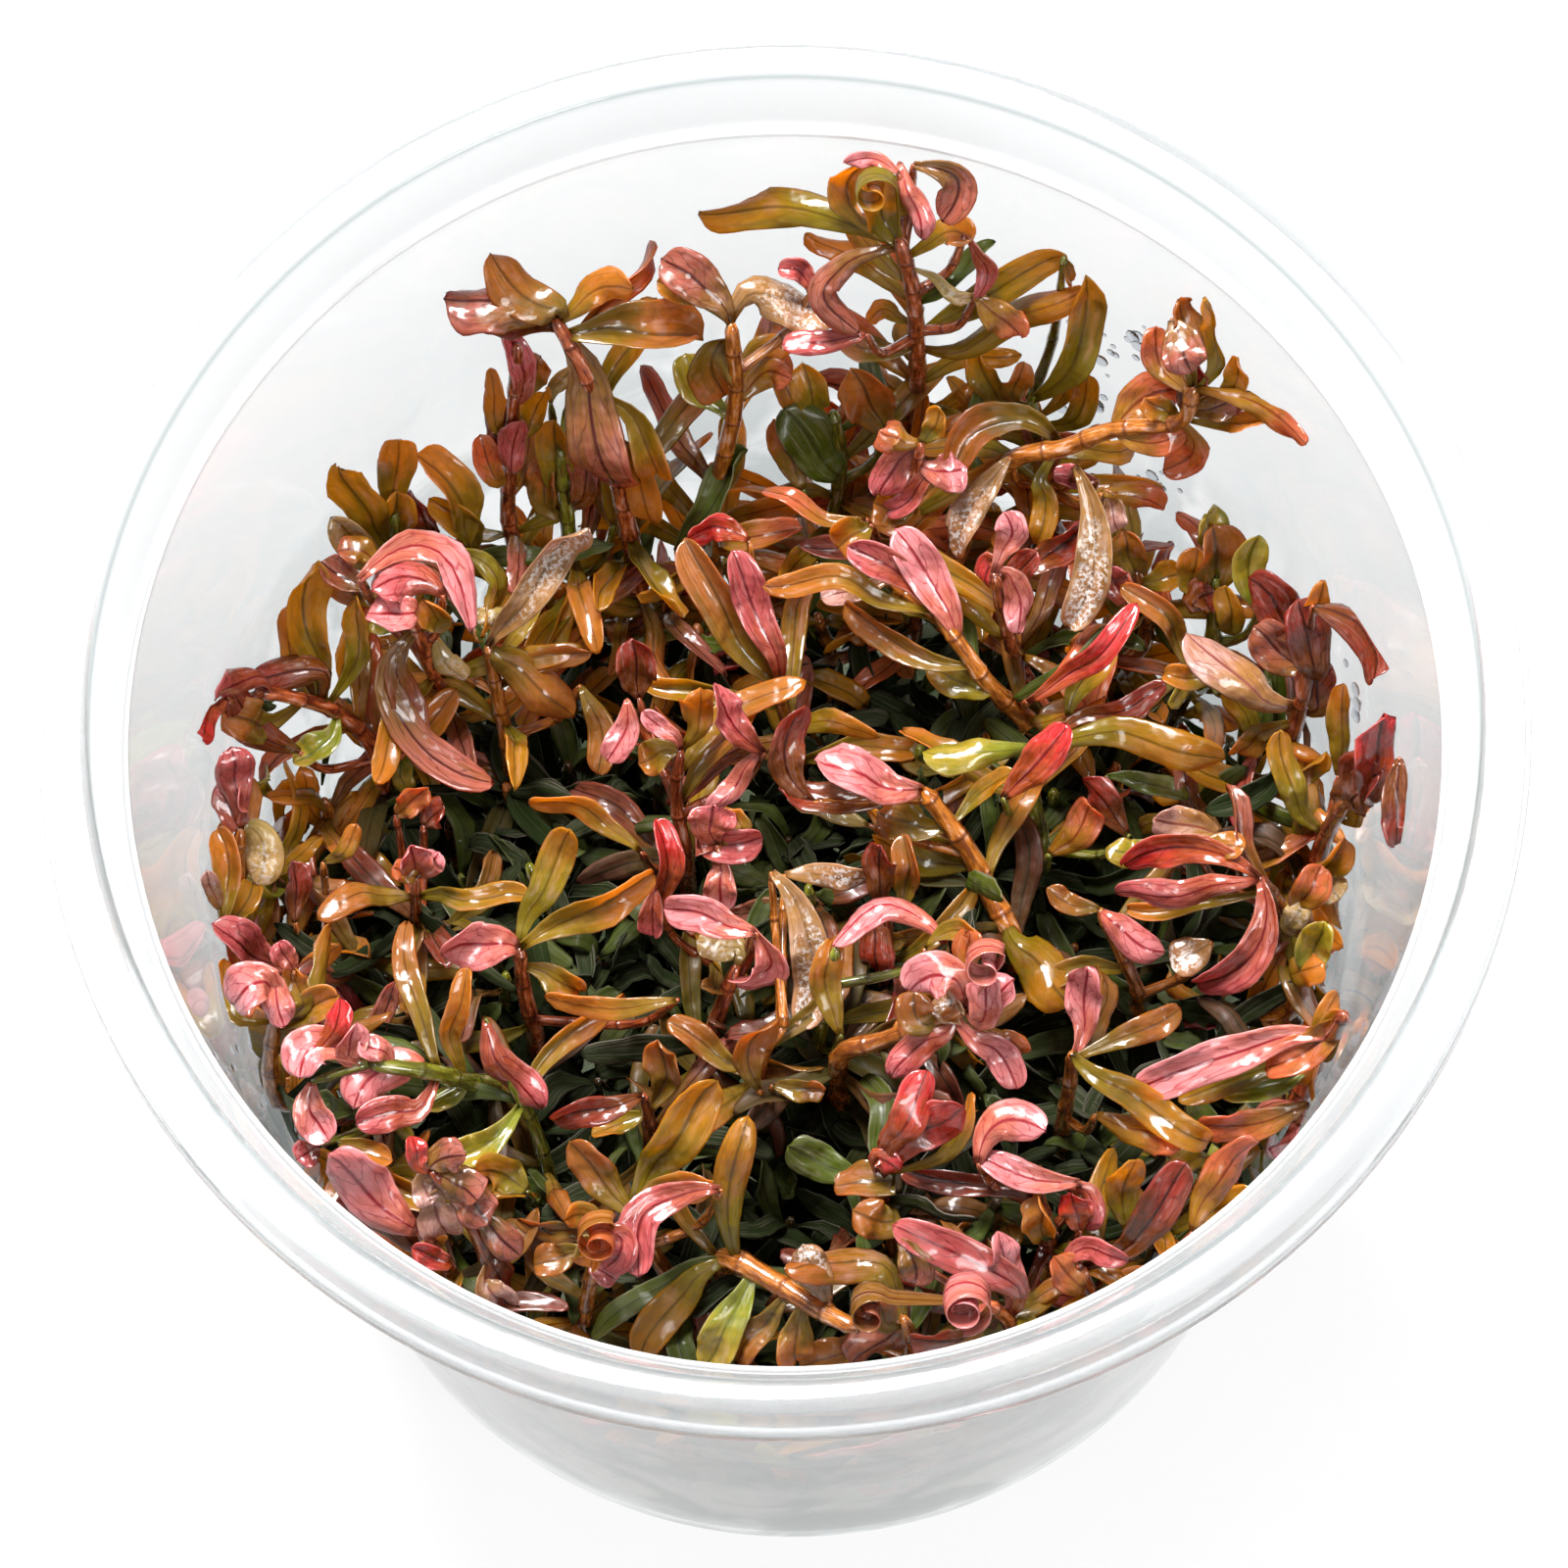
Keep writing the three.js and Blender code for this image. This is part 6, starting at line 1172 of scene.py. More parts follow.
def leaf_material(name, tone):
    """A wet leaf: midrib, looped side veins, light and dark streaks with some painted sheen, light passing
    through, and painted shade deep among the stems.
    """
    g = Graph("leaf_" + name.lower())
    across, along, chance, under, shade = (g.value(key) for key in POINT_VALUES)
    out = g.math("ABSOLUTE", across)
    lengthways = g.times(along, 2.4)
    place = g.at(g.times(across, 1.1), lengthways, g.times(chance, 60.0))
    streak = g.noise(1.5, 2.0, 0.6, place=place)
    face, foot, vein = linear(tone["face"]), linear(tone["base"]), linear(tone["vein"])
    pale_sheen = tuple(0.5 * part + 0.5 * white for part, white in zip(face, PALE_SHEEN))
    deep = tuple(0.5 * part + 0.5 * dark for part, dark in zip(foot, vein))
    # The foot of the leaf is another colour, which runs up some leaves further than others
    reach = g.plus(g.times(chance, 0.4), g.times(streak, 0.7))
    base = g.ranged(g.minus(along, reach), -0.3, 0.25, 0.95, 0.0)
    colour = g.mix(base, face, foot)
    colour = g.mix(g.ranged(streak, 0.5, 0.7, 0.0, tone.get("deeper", 0.7)), colour, deep)
    # The paler streaks are partly a painted sheen
    colour = g.mix(g.ranged(streak, 0.3, 0.46, tone.get("paler", 0.4), 0.0), colour, pale_sheen)
    colour = g.mix(g.ranged(chance, 0.0, 0.4, 0.4, 0.0), colour, deep)
    veins = leaf_veins(g, along, out, streak, tone.get("lines", 0.2))
    place = g.at(g.times(across, 9.0), along, g.times(chance, 40.0))
    grain = g.noise(2.0, 1.0, 0.6, place=place)
    colour = g.mix(g.ranged(grain, 0.5, 0.72, 0.0, 0.45), colour, deep)
    # Fine paler lines, partly painted sheen
    colour = g.mix(g.ranged(grain, 0.28, 0.48, 0.3, 0.0), colour, pale_sheen)
    colour = g.mix(veins, colour, vein)
    # Painted highlight: a light line along the edge, except on edged leaves, whose edge takes the veins'
    # colour
    colour = g.mix(g.ranged(out, 0.88, 1.0, 0.0, 0.35), colour, vein if tone.get("edged") else pale_sheen)
    below = g.mix(g.times(veins, 0.6), linear(tone["under"]), vein)
    colour = g.mix(g.times(under, 0.7), colour, below)
    # Painted shade: leaves deep among the stems are darkened towards a near-black green
    colour = g.mix(shade, colour, DEEP_SHADE)
    # Painted sparkle: white specks standing in for glints on the leaf
    if "film" in tone:
        share = g.times(film_share(g, along, out, streak), tone["film"])
        colour = g.mix(share, colour, (0.9, 0.86, 0.82, 1))
    normal = g.bump(g.noise(640.0, 1.0, 0.6), 0.6, 0.0006)
    matte = tone.get("matte", 0)
    rough = g.ranged(streak, 0.35, 0.65, 0.16 + matte, 0.36 + matte)
    rough = g.plus(rough, g.times(shade, 0.45))
    wet = g.ranged(shade, 0.0, 0.8, tone.get("coat", 1.0), 0.0)
    skin = g.skin(
        Base_Color=colour,
        Roughness=rough,
        Normal=normal,
        IOR=1.45,
        Specular_IOR_Level=tone.get("shine", 0.7),
        Coat_Weight=wet,
        Coat_Roughness=0.05,
    )
    glow = g.mix(veins, g.mix(base, linear(tone["glow"]), foot), vein)
    # Painted shade dims the light through leaves deep among the stems as well
    glow = g.mix(shade, glow, DEEP_SHADE)
    through = g.node("BsdfTranslucent", None, Color=glow, Normal=normal)
    both = g.node("MixShader", None, Fac=tone["through"])
    g.put(both.inputs[1], skin.outputs[0])
    g.put(both.inputs[2], through.outputs[0])
    return g.output(both.outputs[0])


def stem_material(name, light, dark):
    """A wet stem: streaks along it, the lightest of them a painted highlight, and a dark ring at each node.
    """
    g = Graph("stem_" + name)
    along = g.value("along")
    beat = g.math("ABSOLUTE", g.minus(g.math("FRACT", along), 0.5))
    ring = g.ranged(beat, 0.0, 0.08, 0.8, 0.0)
    blotch = g.noise(500.0, 4.0, 0.6)
    turn = g.times(g.value("across"), 5.0)
    streak = g.noise(1.6, 3.0, 0.65, place=g.at(turn, along, g.times(g.value("chance"), 30.0)))
    colour = g.mix(g.ranged(streak, 0.38, 0.6), linear(dark), linear(light))
    # Painted highlight: the lightest streaks go towards a pale tint
    colour = g.mix(g.ranged(streak, 0.56, 0.7, 0.0, 0.5), colour, PALE_SHEEN)
    colour = g.mix(g.ranged(blotch, 0.5, 0.7, 0.0, 0.4), colour, linear(dark))
    colour = g.mix(g.ranged(g.value("chance"), 0.0, 1.0, 0.0, 0.4), colour, linear(dark))
    colour = g.mix(ring, colour, linear(dark))
    normal = g.bump(g.plus(blotch, ring), 0.4, 0.0003)
    skin = g.skin(
        Base_Color=colour,
        Roughness=0.25,
        Normal=normal,
        Coat_Weight=0.7,
        Coat_Roughness=0.05,
        Subsurface_Weight=0.15,
        Subsurface_Scale=0.001,
    )
    return g.output(skin.outputs[0])


STEM_OF_TONE = {
    **{tone: "stem_red" for tone in (PINK, ROSE, RED, CRIMSON, SALMON, MAUVE, LILAC)},
    **{tone: "stem_amber" for tone in (AMBER, BROWN, SILVER, CREAM)},
    **{tone: "stem_green" for tone in (OLIVE, LIME, GREEN, DARK)},
}


def plant_materials():
    """Every leaf and stem material, by the name of its slot."""
    made = {name: leaf_material(name, tone) for name, tone in TONES.items()}
    made["stem_red"] = stem_material("red", "ac5426", "561c0a")
    made["stem_amber"] = stem_material("amber", "b46c20", "66300c")
    made["stem_green"] = stem_material("green", "7a7e1c", "44400c")
    made["stem_dark"] = stem_material("dark", "4a3410", "20180a")
    return made


def cup_material():
    """Clear plastic, slightly milky, with faint flow marks, and painted shade: dark lines at its edges and
    a patchy darker band at the foot of its wall.
    """
    g = Graph("cup_plastic")
    flow = g.noise(60.0, 2.0)
    colour = g.mix(flow, (0.80, 0.812, 0.818, 1), (0.84, 0.852, 0.858, 1))
    milky = g.value("under")
    colour = g.mix(milky, colour, (0.77, 0.782, 0.792, 1))
    # Painted shade: low on the wall the darkening comes in patches, standing in for the plants seen blurred
    # through it
    place = g.node("SeparateXYZ", None, Vector=g.place())
    low = g.ranged(place.outputs["Z"], 0.04, 0.06, 1.0, 0.0)
    cloud = g.ranged(g.noise(110.0, 3.0, distortion=0.8), 0.42, 0.58, -0.6, 0.6)
    share = g.plus(g.times(cloud, low), 1.0)
    colour = g.mix(g.times(g.value("chance"), share), colour, (0.22, 0.26, 0.26, 1))
    skin = g.skin(
        Base_Color=colour,
        Roughness=g.ranged(flow, 0.2, 0.8, 0.03, 0.06),
        IOR=1.22,
        Transmission_Weight=g.ranged(milky, 0.0, 1.0, 0.97, 0.3),
    )
    return g.output(skin.outputs[0])


def gel_material():
    """Clear grey-green gel, cloudy in places."""
    g = Graph("gel")
    haze = g.noise(120.0, 3.0)
    cloud = g.ranged(g.noise(150.0, 3.0, distortion=0.6), 0.42, 0.6)
    colour = g.mix(cloud, linear("87946c"), linear("ccd4b8"))
    skin = g.skin(
        Base_Color=colour,
        Roughness=g.ranged(haze, 0.2, 0.8, 0.12, 0.3),
        IOR=1.34,
        Transmission_Weight=0.7,
    )
    absorb = g.node("VolumeAbsorption", None, Color=linear("c2cfa4"), Density=32.0)
    return g.output(skin.outputs[0], absorb.outputs[0])


def droplet_material():
    """Water, as a thin grey glass."""
    g = Graph("droplet")
    swirl = g.noise(300.0, 1.0)
    skin = g.skin(
        Base_Color=g.mix(swirl, (0.6, 0.63, 0.67, 1), (0.8, 0.82, 0.85, 1)),
        Roughness=0.02,
        IOR=1.11,
        Transmission_Weight=1.0,
    )
    return g.output(skin.outputs[0])


def floor_material():
    """The white ground of the photograph, which lights the cup from below."""
    g = Graph("floor")
    tint = g.noise(3.0, 2.0)
    colour = g.mix(tint, (0.07, 0.07, 0.07, 1), (0.08, 0.08, 0.08, 1))
    skin = g.skin(
        Base_Color=colour,
        Roughness=0.6,
        Emission_Color=(1, 1, 1, 1),
        Emission_Strength=0.9,
    )
    return g.output(skin.outputs[0])


# The cup and the gel


def ring_shade(radius, height, lines):
    """How strongly lines round a body, each (radius, height, strength, reach), show at one place."""
    shades = [s * math.exp(-(((radius - r) ** 2 + (height - h) ** 2) / w**2)) for r, h, s, w in lines]
    return max(shades, default=0)


def turned(name, profile, material, slot, replaced, painted_shade_lines=(), milky_lines=(), sides=144):
    """A closed body of revolution from an outline that starts and ends on the axis."""
    rings = [(radius, height) for radius, height in profile if radius > 0]
    turns = np.arange(sides) * 2 * math.pi / sides
    points = [(0, 0, profile[0][1]), (0, 0, profile[-1][1])]
    shades, milks = [0, 0], [0, 0]
    for radius, height in rings:
        points += [(radius * math.cos(t), radius * math.sin(t), height) for t in turns]
        shades += [ring_shade(radius, height, painted_shade_lines)] * sides
        milks += [ring_shade(radius, height, milky_lines)] * sides
    faces = []
    last = 2 + (len(rings) - 1) * sides
    for k in range(sides):
        n = (k + 1) % sides
        faces.append((0, 2 + n, 2 + k))
        faces.append((1, last + k, last + n))
        for i in range(len(rings) - 1):
            a = 2 + i * sides
            faces.append((a + k, a + n, a + sides + n, a + sides + k))
    skin = Skin()
    skin.add(np.array(points, float), faces, slot, chance=shades, under=milks)
    return object_from(name, skin, {slot: material}, (replaced,))


# How far from a corner its rounding starts, where nothing else is given
SHARP = 0.12


def rounded(profile, softer, steps=6):
    """An outline with every corner rounded over; softer gives other reaches than SHARP at some heights."""
    made = [profile[0]]
    for before, corner, after in zip(profile, profile[1:], profile[2:]):
        reach = softer.get(corner, SHARP)
        before, corner, after = np.array(before), np.array(corner), np.array(after)
        back, on = before - corner, after - corner
        size = min(reach, 0.45 * np.linalg.norm(back), 0.45 * np.linalg.norm(on))
        start, end = corner + unit(back) * size, corner + unit(on) * size
        for t in np.linspace(0, 1, steps):
            made.append(tuple(start * (1 - t) ** 2 + corner * 2 * t * (1 - t) + end * t**2))
    return made + [profile[-1]]


def make_cup(material):
    """The cup, from its foot ring up the outside, over the rim and down the inside."""
    ledge = CUP_HEIGHT - SEAT_DEPTH - LEDGE_WIDTH
    ledge_radius = SEAT_FOOT_RADIUS - LEDGE_WIDTH
    floor = BASE_LIFT + WALL
    corner = BASE_CORNER
    ring = BASE_RADIUS - corner - FOOT_RING_WIDTH
    rim_shoulder = (RIM_RADIUS, CUP_HEIGHT - 0.9)
    rim_top = (RIM_RADIUS - 1.1, CUP_HEIGHT - 0.02)
    rim_foot = (RIM_RADIUS - WALL, CUP_HEIGHT - RIM_DROP)
    seat_top = (SEAT_TOP_RADIUS, CUP_HEIGHT)
    seat_foot = (SEAT_FOOT_RADIUS, CUP_HEIGHT - SEAT_DEPTH)
    under_ledge = (SEAT_FOOT_RADIUS + WALL, ledge + LEDGE_WIDTH - WALL)
    profile = [
        (0, BASE_LIFT),
        (ring, BASE_LIFT),
        (ring + 0.5, 0),
        (BASE_RADIUS - corner * 0.8, 0),
        (BASE_RADIUS - corner * 0.1, corner * 0.7),
        (ledge_radius + WALL, ledge - WALL),
        under_ledge,
        (SEAT_TOP_RADIUS + WALL, CUP_HEIGHT - WALL - 0.3),
        (RIM_RADIUS - WALL, CUP_HEIGHT - WALL - 0.8),
        rim_foot,
        (RIM_RADIUS, CUP_HEIGHT - RIM_DROP),
        rim_shoulder,
        rim_top,
        seat_top,
        seat_foot,
        (ledge_radius, ledge),
        (inner_radius(ledge - 0.5), ledge - 0.5),
        (inner_radius(ledge - 1), ledge - 1),
        (inner_radius(floor + corner), floor + corner),
        (BASE_RADIUS - WALL - corner, floor),
        (0, floor),
    ]
    # Each line: where it runs, how strong it is, and how far it reaches. The dark lines are painted shade:
    # at the edges of rim, seat and ledge they stand in for the darkening refraction gives there, and one
    # makes a broad darker band round the foot of the cup.
    painted_shade_lines = [
        (BASE_RADIUS, corner, 0.6, 7),
        (*seat_foot, 0.1, 1.5),
        (SEAT_TOP_RADIUS, CUP_HEIGHT - 0.1, 1, 0.3),
        (*rim_shoulder, 0.45, 0.2),
        (ledge_radius, ledge, 0.1, 0.12),
        (RIM_RADIUS - 0.5, CUP_HEIGHT - 0.5, 0.12, 0.5),
        (RIM_RADIUS - 1.8, CUP_HEIGHT - 1, 0.07, 3),
        (*under_ledge, 0.1, 0.15),
    ]
    milky_lines = [
        (ledge_radius, ledge, 0.8, 0.35),
        (*seat_foot, 0.4, 1.5),
        (*seat_top, 0.4, 1.5),
        (*rim_shoulder, 0.4, 1.5),
        (*rim_foot, 0.3, 1.0),
    ]
    softer = {seat_top: 0.7, rim_shoulder: 0.3, rim_top: 0.3}
    turned("cup_wall", rounded(profile, softer), material, "cup_plastic", "cup", painted_shade_lines, milky_lines)


def make_gel(material):
    """The pad of gel, a little clear of the cup's floor and wall."""
    floor = BASE_LIFT + WALL + GAP
    top = BASE_LIFT + WALL + GEL_DEPTH
    corner = BASE_CORNER
    profile = [
        (0, floor),
        (BASE_RADIUS - WALL - GAP - corner, floor),
        (BASE_RADIUS - WALL - GAP - corner * 0.3, floor + corner * 0.3),
        (inner_radius(floor + corner) - GAP, floor + corner),
        (inner_radius(top) - GAP, top),
        (inner_radius(top) - GAP - 0.8, top - 0.35),
        (20, top - 0.5),
        (0, top - 0.6),
    ]
    turned("gel_pad", profile, material, "gel", "gel")


# The plants


def finished(blade, lively):
    """A blade with its own irregularities: edge ruffle, fold, twist, sway and hooked tip."""
    blade["chance"] = rng.random()
    blade["ruffle"] = rng.uniform(0.03, 0.13)
    blade["crinkle"] = rng.uniform(0.03, 0.15)
    blade["fold"] = rng.choice((1, 1, -1)) * rng.uniform(0.12, 0.6)
    blade["twist"] = rng.uniform(-78, 78) * lively
    blade["waves"] = rng.uniform(0.7, 1.7)
    blade["sway"] = rng.uniform(0.02, 0.06) * lively
    blade["hook"] = max(0, rng.uniform(-0.05, 0.15)) * lively
    blade["cup"] = 0.7 * blade["cup"] + rng.uniform(-35, 35)
    if rng.random() < 0.1 * lively:
        blade["cup"] += rng.choice((-100, 100))
    return blade


def nearest_on(route, target):
    """The point of a route nearest to a place, and how far from it that is."""
    gaps = np.linalg.norm(route - target, axis=1)
    return route[int(gaps.argmin())], float(gaps.min())


def rooted(points):
    """A stem's points, with one in the undergrowth where the plotted ones stop short of it."""
    first = points[0]
    angle = math.atan2(first[1], first[0])
    edge = undergrowth_reach(angle, SHOULDER_HEIGHT) - 2
    inward = min(1, edge / math.hypot(first[0], first[1]))
    root = np.array((first[0] * inward, first[1] * inward, 0))
    root[2] = undergrowth_top(root[0], root[1]) - 5
    return [root, *points] if first[2] > root[2] + 1 else points


# A plotted leaf further than this from its stem gets a branch, which starts this far below its foot
LONG_STALK = 3.2
SIDE_STEM_DROP = 7

# Leaves laid by rule along a shoot: their tones, the bare length at its tip, and the step between them
BACK_TONES = (AMBER, OLIVE, AMBER, OLIVE, BROWN, SALMON, AMBER, GREEN, MAUVE, SALMON)
FRONT_TONES = (OLIVE, BROWN, GREEN, DARK, MAUVE, BROWN, CRIMSON, AMBER, DARK)
BARE_TIP = 2.4
PAIR_STEP = 3.4


def add_spare_pairs(skin, route):
    """Pairs of plain leaves along a stem, wherever they hide no plotted leaf."""
    far = distances(route)
    ways = np.gradient(route, axis=0)
    place = far[-1] - BARE_TIP
    turn = rng.uniform(0, math.pi)
    while place > 0:
        i = int(np.abs(far - place).argmin())
        along = unit(ways[i])
        side = unit(np.cross(along, (0.2, 0.9, 0.3)))
        other = np.cross(along, side)
        for k in range(3):
            azimuth = turn + 2 * math.pi * k / 3 + rng.uniform(-0.4, 0.4)
            rise = rng.uniform(0.15, 0.75)
            way = unit(side * math.cos(azimuth) + other * math.sin(azimuth) + along * rise)
            tip = route[i] + way * rng.uniform(7.5, 11.5)
            tip = held_inside(tip[None], 1.0)[0]
            if tip[2] < undergrowth_top(tip[0], tip[1]) - 4:
                continue
            outer = tip[1] > 8 or math.hypot(tip[0], tip[1]) > 35
            tones = BACK_TONES if outer else FRONT_TONES
            blade = dict(foot=route[i], tip=tip, width=rng.uniform(1.6, 2.3), tone=rng.choice(tones))
            blade.update(roll=rng.uniform(-30, 30), bend=rng.uniform(-1, 1), arch=rng.uniform(0, 1.8))
            blade["cup"] = rng.choice((-60, -30, 20, 50, 80))
            # Painted shade: inner leaves well below the shoot's tip are darkened
            blade["shade"] = 0 if outer else min(0.75, max(0, (route[-1][2] - tip[2]) / 12))
            if not hides_plotted(blade):
                add_blade(skin, finished(blade, 1.2), size=SPARE_GRID)
        turn += math.pi / 3
        place -= PAIR_STEP * rng.uniform(0.8, 1.2)


def add_side_stem(skin, route, foot, slot):
    """A thin branch that leaves the main stem well below a leaf's foot and curves up to it."""
    low = foot - np.array((0, 0, SIDE_STEM_DROP))
    start, _ = nearest_on(route, low)
    elbow = foot * 0.7 + start * 0.3
    elbow[2] = min(start[2], foot[2]) + 0.25 * abs(foot[2] - start[2])
    add_stem(skin, [start, elbow, foot], 0.42, slot, sides=6)


# Leaves rolled up on themselves, by shoot: the roll's middle as seen, its radius, turns, width,
# tone, and the compass angle of its outer end in the picture
ROLLS = {
    "spiral_shoot": [
        ((983, 1328, 49), 2.2, 1.9, 3.6, PINK, -100),
        ((886, 1336, 47), 1.7, 1.3, 3.4, MAUVE, 30),
    ],
    "curled_front_rosette": [((612, 1264, 49), 1.9, 1.6, 2.6, SALMON, 60)],
    "tall_shoot": [((890, 196, 77), 1.7, 1.3, 2.6, OLIVE, 20)],
    "pink_rosette": [((1004, 985, 58), 1.8, 1.2, 2.6, PINK, 40)],
}
ROLL_LEAN = 35


def add_roll(skin, route, place, radius, turns, width, tone, start):
    """A leaf that leaves its stem and rolls up, its axis leaning from the viewpoint to the front."""
    middle = seen_inside(place, radius + 0.8)
    root, _ = nearest_on(route, middle)
    lean = math.radians(ROLL_LEAN)
    axis = unit(TO_EYE * math.cos(lean) - PICTURE_UP * math.sin(lean))
    right = unit(np.cross(PICTURE_UP, axis))
    shares = np.linspace(0, 1, 44)
    rolled = np.clip((shares - 0.2) / 0.8, 0, 1)
    turn = math.radians(start) + 2 * math.pi * turns * rolled
    size = radius * (1 - 0.75 * rolled**0.8)
    middles = middle + np.outer(size * np.cos(turn), right)
    middles += np.outer(size * np.sin(turn), np.cross(axis, right))
    joined = np.clip(1 - shares / 0.2, 0, 1)[:, None]
    middles = middles * (1 - joined) + root * joined
    ways = np.gradient(middles, axis=0)
    ups = np.cross(ways, axis)
    ups /= np.linalg.norm(ups, axis=1)[:, None]
    sides = np.sin(np.linspace(-1, 1, 7) * math.pi / 2)
    half = width / 2 * np.interp(shares, OUTLINE_SHARES, OUTLINE_WIDTHS)[:, None]
    wave = 0.12 * radius * np.sin(9 * shares)[:, None] * sides[None] ** 2
    grid = middles[:, None] + (half * sides[None])[..., None] * axis + wave[..., None] * ups[:, None]
    grid = held_inside(grid.reshape(-1, 3), LEAF_MARGIN).reshape(grid.shape)
    ups = np.broadcast_to(ups[:, None], grid.shape)
    add_sheet(skin, grid, ups, shares, sides, tone, rng.random())


def make_shoot(plant, materials):
    """A shoot's stem with its plotted leaves, its rolled ones, and those laid by rule."""
    skin = Skin()
    points = rooted(plant["stem"])
    stem = STEM_OF_TONE[plant["tone"]]
    add_stem(skin, points, plant["radius"], stem)
    route = smooth_route(points, 0.4)
    for blade in plant["leaves"]:
        root, gap = nearest_on(route, blade["foot"])
        finished(blade, 1)
        if gap > LONG_STALK:
            add_side_stem(skin, route, blade["foot"], stem)
            add_blade(skin, blade)
        else:
            add_blade(skin, blade, root)
    for roll in ROLLS.get(plant["name"], ()):
        add_roll(skin, route, *roll)
    add_spare_pairs(skin, route)
    object_from(plant["name"] + "_leaves", skin, materials, (plant["name"],))


# Tones of the lower leaves: in each part of a stem from its foot up, at the cup's sides, and against
# the wall
LOW_TONES = (DARK, DARK, DARK, GREEN)
MIDDLE_TONES = (DARK, DARK, GREEN, DARK, DARK, BROWN, CRIMSON)
TOP_TONES = (GREEN, BROWN, OLIVE, DARK, BROWN, MAUVE, CRIMSON)
SIDE_TONES = (OLIVE, AMBER, BROWN, SALMON, OLIVE, AMBER, ROSE, GREEN, LIME, MAUVE, AMBER)
WALL_TONES = (CREAM, OLIVE, SALMON, ROSE, LILAC, PINK, LIME, AMBER, GREEN, GREEN)

# Leaves below this height take the dark tones, whose near-black is partly painted shade, except on stems
# whose top is in this band along the wall
PIT_HEIGHT = 36
SIDE_BAND = 7

# How far apart the lower stems stand, and the leaves along them
STEM_SPACING = 5.7
LEAF_STEP = 3.2


def quarter(x, y):
    """Which quarter of the cup a place is in."""
    return ("right" if x > 0 else "left") + ("_back" if y > 0 else "_front")


def undergrowth_places():
    """Feet of the lower stems, spread evenly over the gel with a little disorder."""
    places = []
    rows = int(2 * inner_radius(GEL_TOP) / (STEM_SPACING * 0.87)) + 2
    for i in range(-rows // 2, rows // 2 + 1):
        for j in range(-rows // 2, rows // 2 + 1):
            x = (j + 0.5 * (i % 2)) * STEM_SPACING + rng.uniform(-1.4, 1.4)
            y = i * STEM_SPACING * 0.87 + rng.uniform(-1.4, 1.4)
            if math.hypot(x, y) < undergrowth_reach(math.atan2(y, x), GEL_TOP) - 0.8:
                places.append((x, y))
    return places


def fits_undergrowth(place, tip):
    """Whether a leaf between two places stays in the undergrowth's form."""
    for share in (0.5, 0.75, 1):
        point = place + (tip - place) * share
        if point[2] > undergrowth_top(point[0], point[1]) + 1:
            return False
    return True


def spare_leaf(place, azimuth, lift, length, width, tone):
    """A leaf of the undergrowth, growing out at a compass angle and rising at another."""
    level = math.cos(lift)
    along = np.array((math.cos(azimuth) * level, math.sin(azimuth) * level, math.sin(lift)))
    for shorter in (1, 0.8, 0.6):
        tip = place + along * length * shorter
        reach = undergrowth_reach(math.atan2(tip[1], tip[0]), min(tip[2], UNDERGROWTH_TOP)) + 0.8
        far = math.hypot(tip[0], tip[1])
        if far > reach:
            tip[:2] *= reach / far
        tip[2] = min(tip[2], undergrowth_top(tip[0], tip[1]) + 0.8)
        if fits_undergrowth(place, tip):
            break
    else:
        return None
    if np.linalg.norm(tip - place) < 3:
        return None
    blade = dict(foot=place, tip=tip, width=width, tone=tone, roll=rng.uniform(-30, 30))
    blade["face"] = np.array((0, 0, 1)) if abs(lift) < 1.2 else -np.array((along[0], along[1], 0.01))
    blade["bend"] = rng.uniform(-0.9, 0.9)
    blade["arch"] = rng.uniform(0.2, 1.2)
    blade["cup"] = rng.choice((-70, -40, -20, 30, 60, 90))
    return None if hides_plotted(blade) else finished(blade, 1.3)


def lower_route(x, y):
    """A lower stem's route, from the gel up to a little under the undergrowth's top."""
    spread = undergrowth_reach(math.atan2(y, x), SHOULDER_HEIGHT + 12)
    spread /= undergrowth_reach(math.atan2(y, x), GEL_TOP)
    top_x, top_y = x * spread + rng.uniform(-1.5, 1.5), y * spread + rng.uniform(-1.5, 1.5)
    depth = rng.choice((0.5, 0.5, 2, 4))
    top = max(SHOULDER_HEIGHT - 2, undergrowth_top(top_x, top_y) - depth)
    aside, along = rng.uniform(-1.5, 1.5), rng.uniform(-1.5, 1.5)
    middle = ((x + top_x) / 2 + aside, (y + top_y) / 2 + along, top / 2 + 5)
    return [np.array((x, y, GEL_TOP - 1)), np.array(middle), np.array((top_x, top_y, top))]


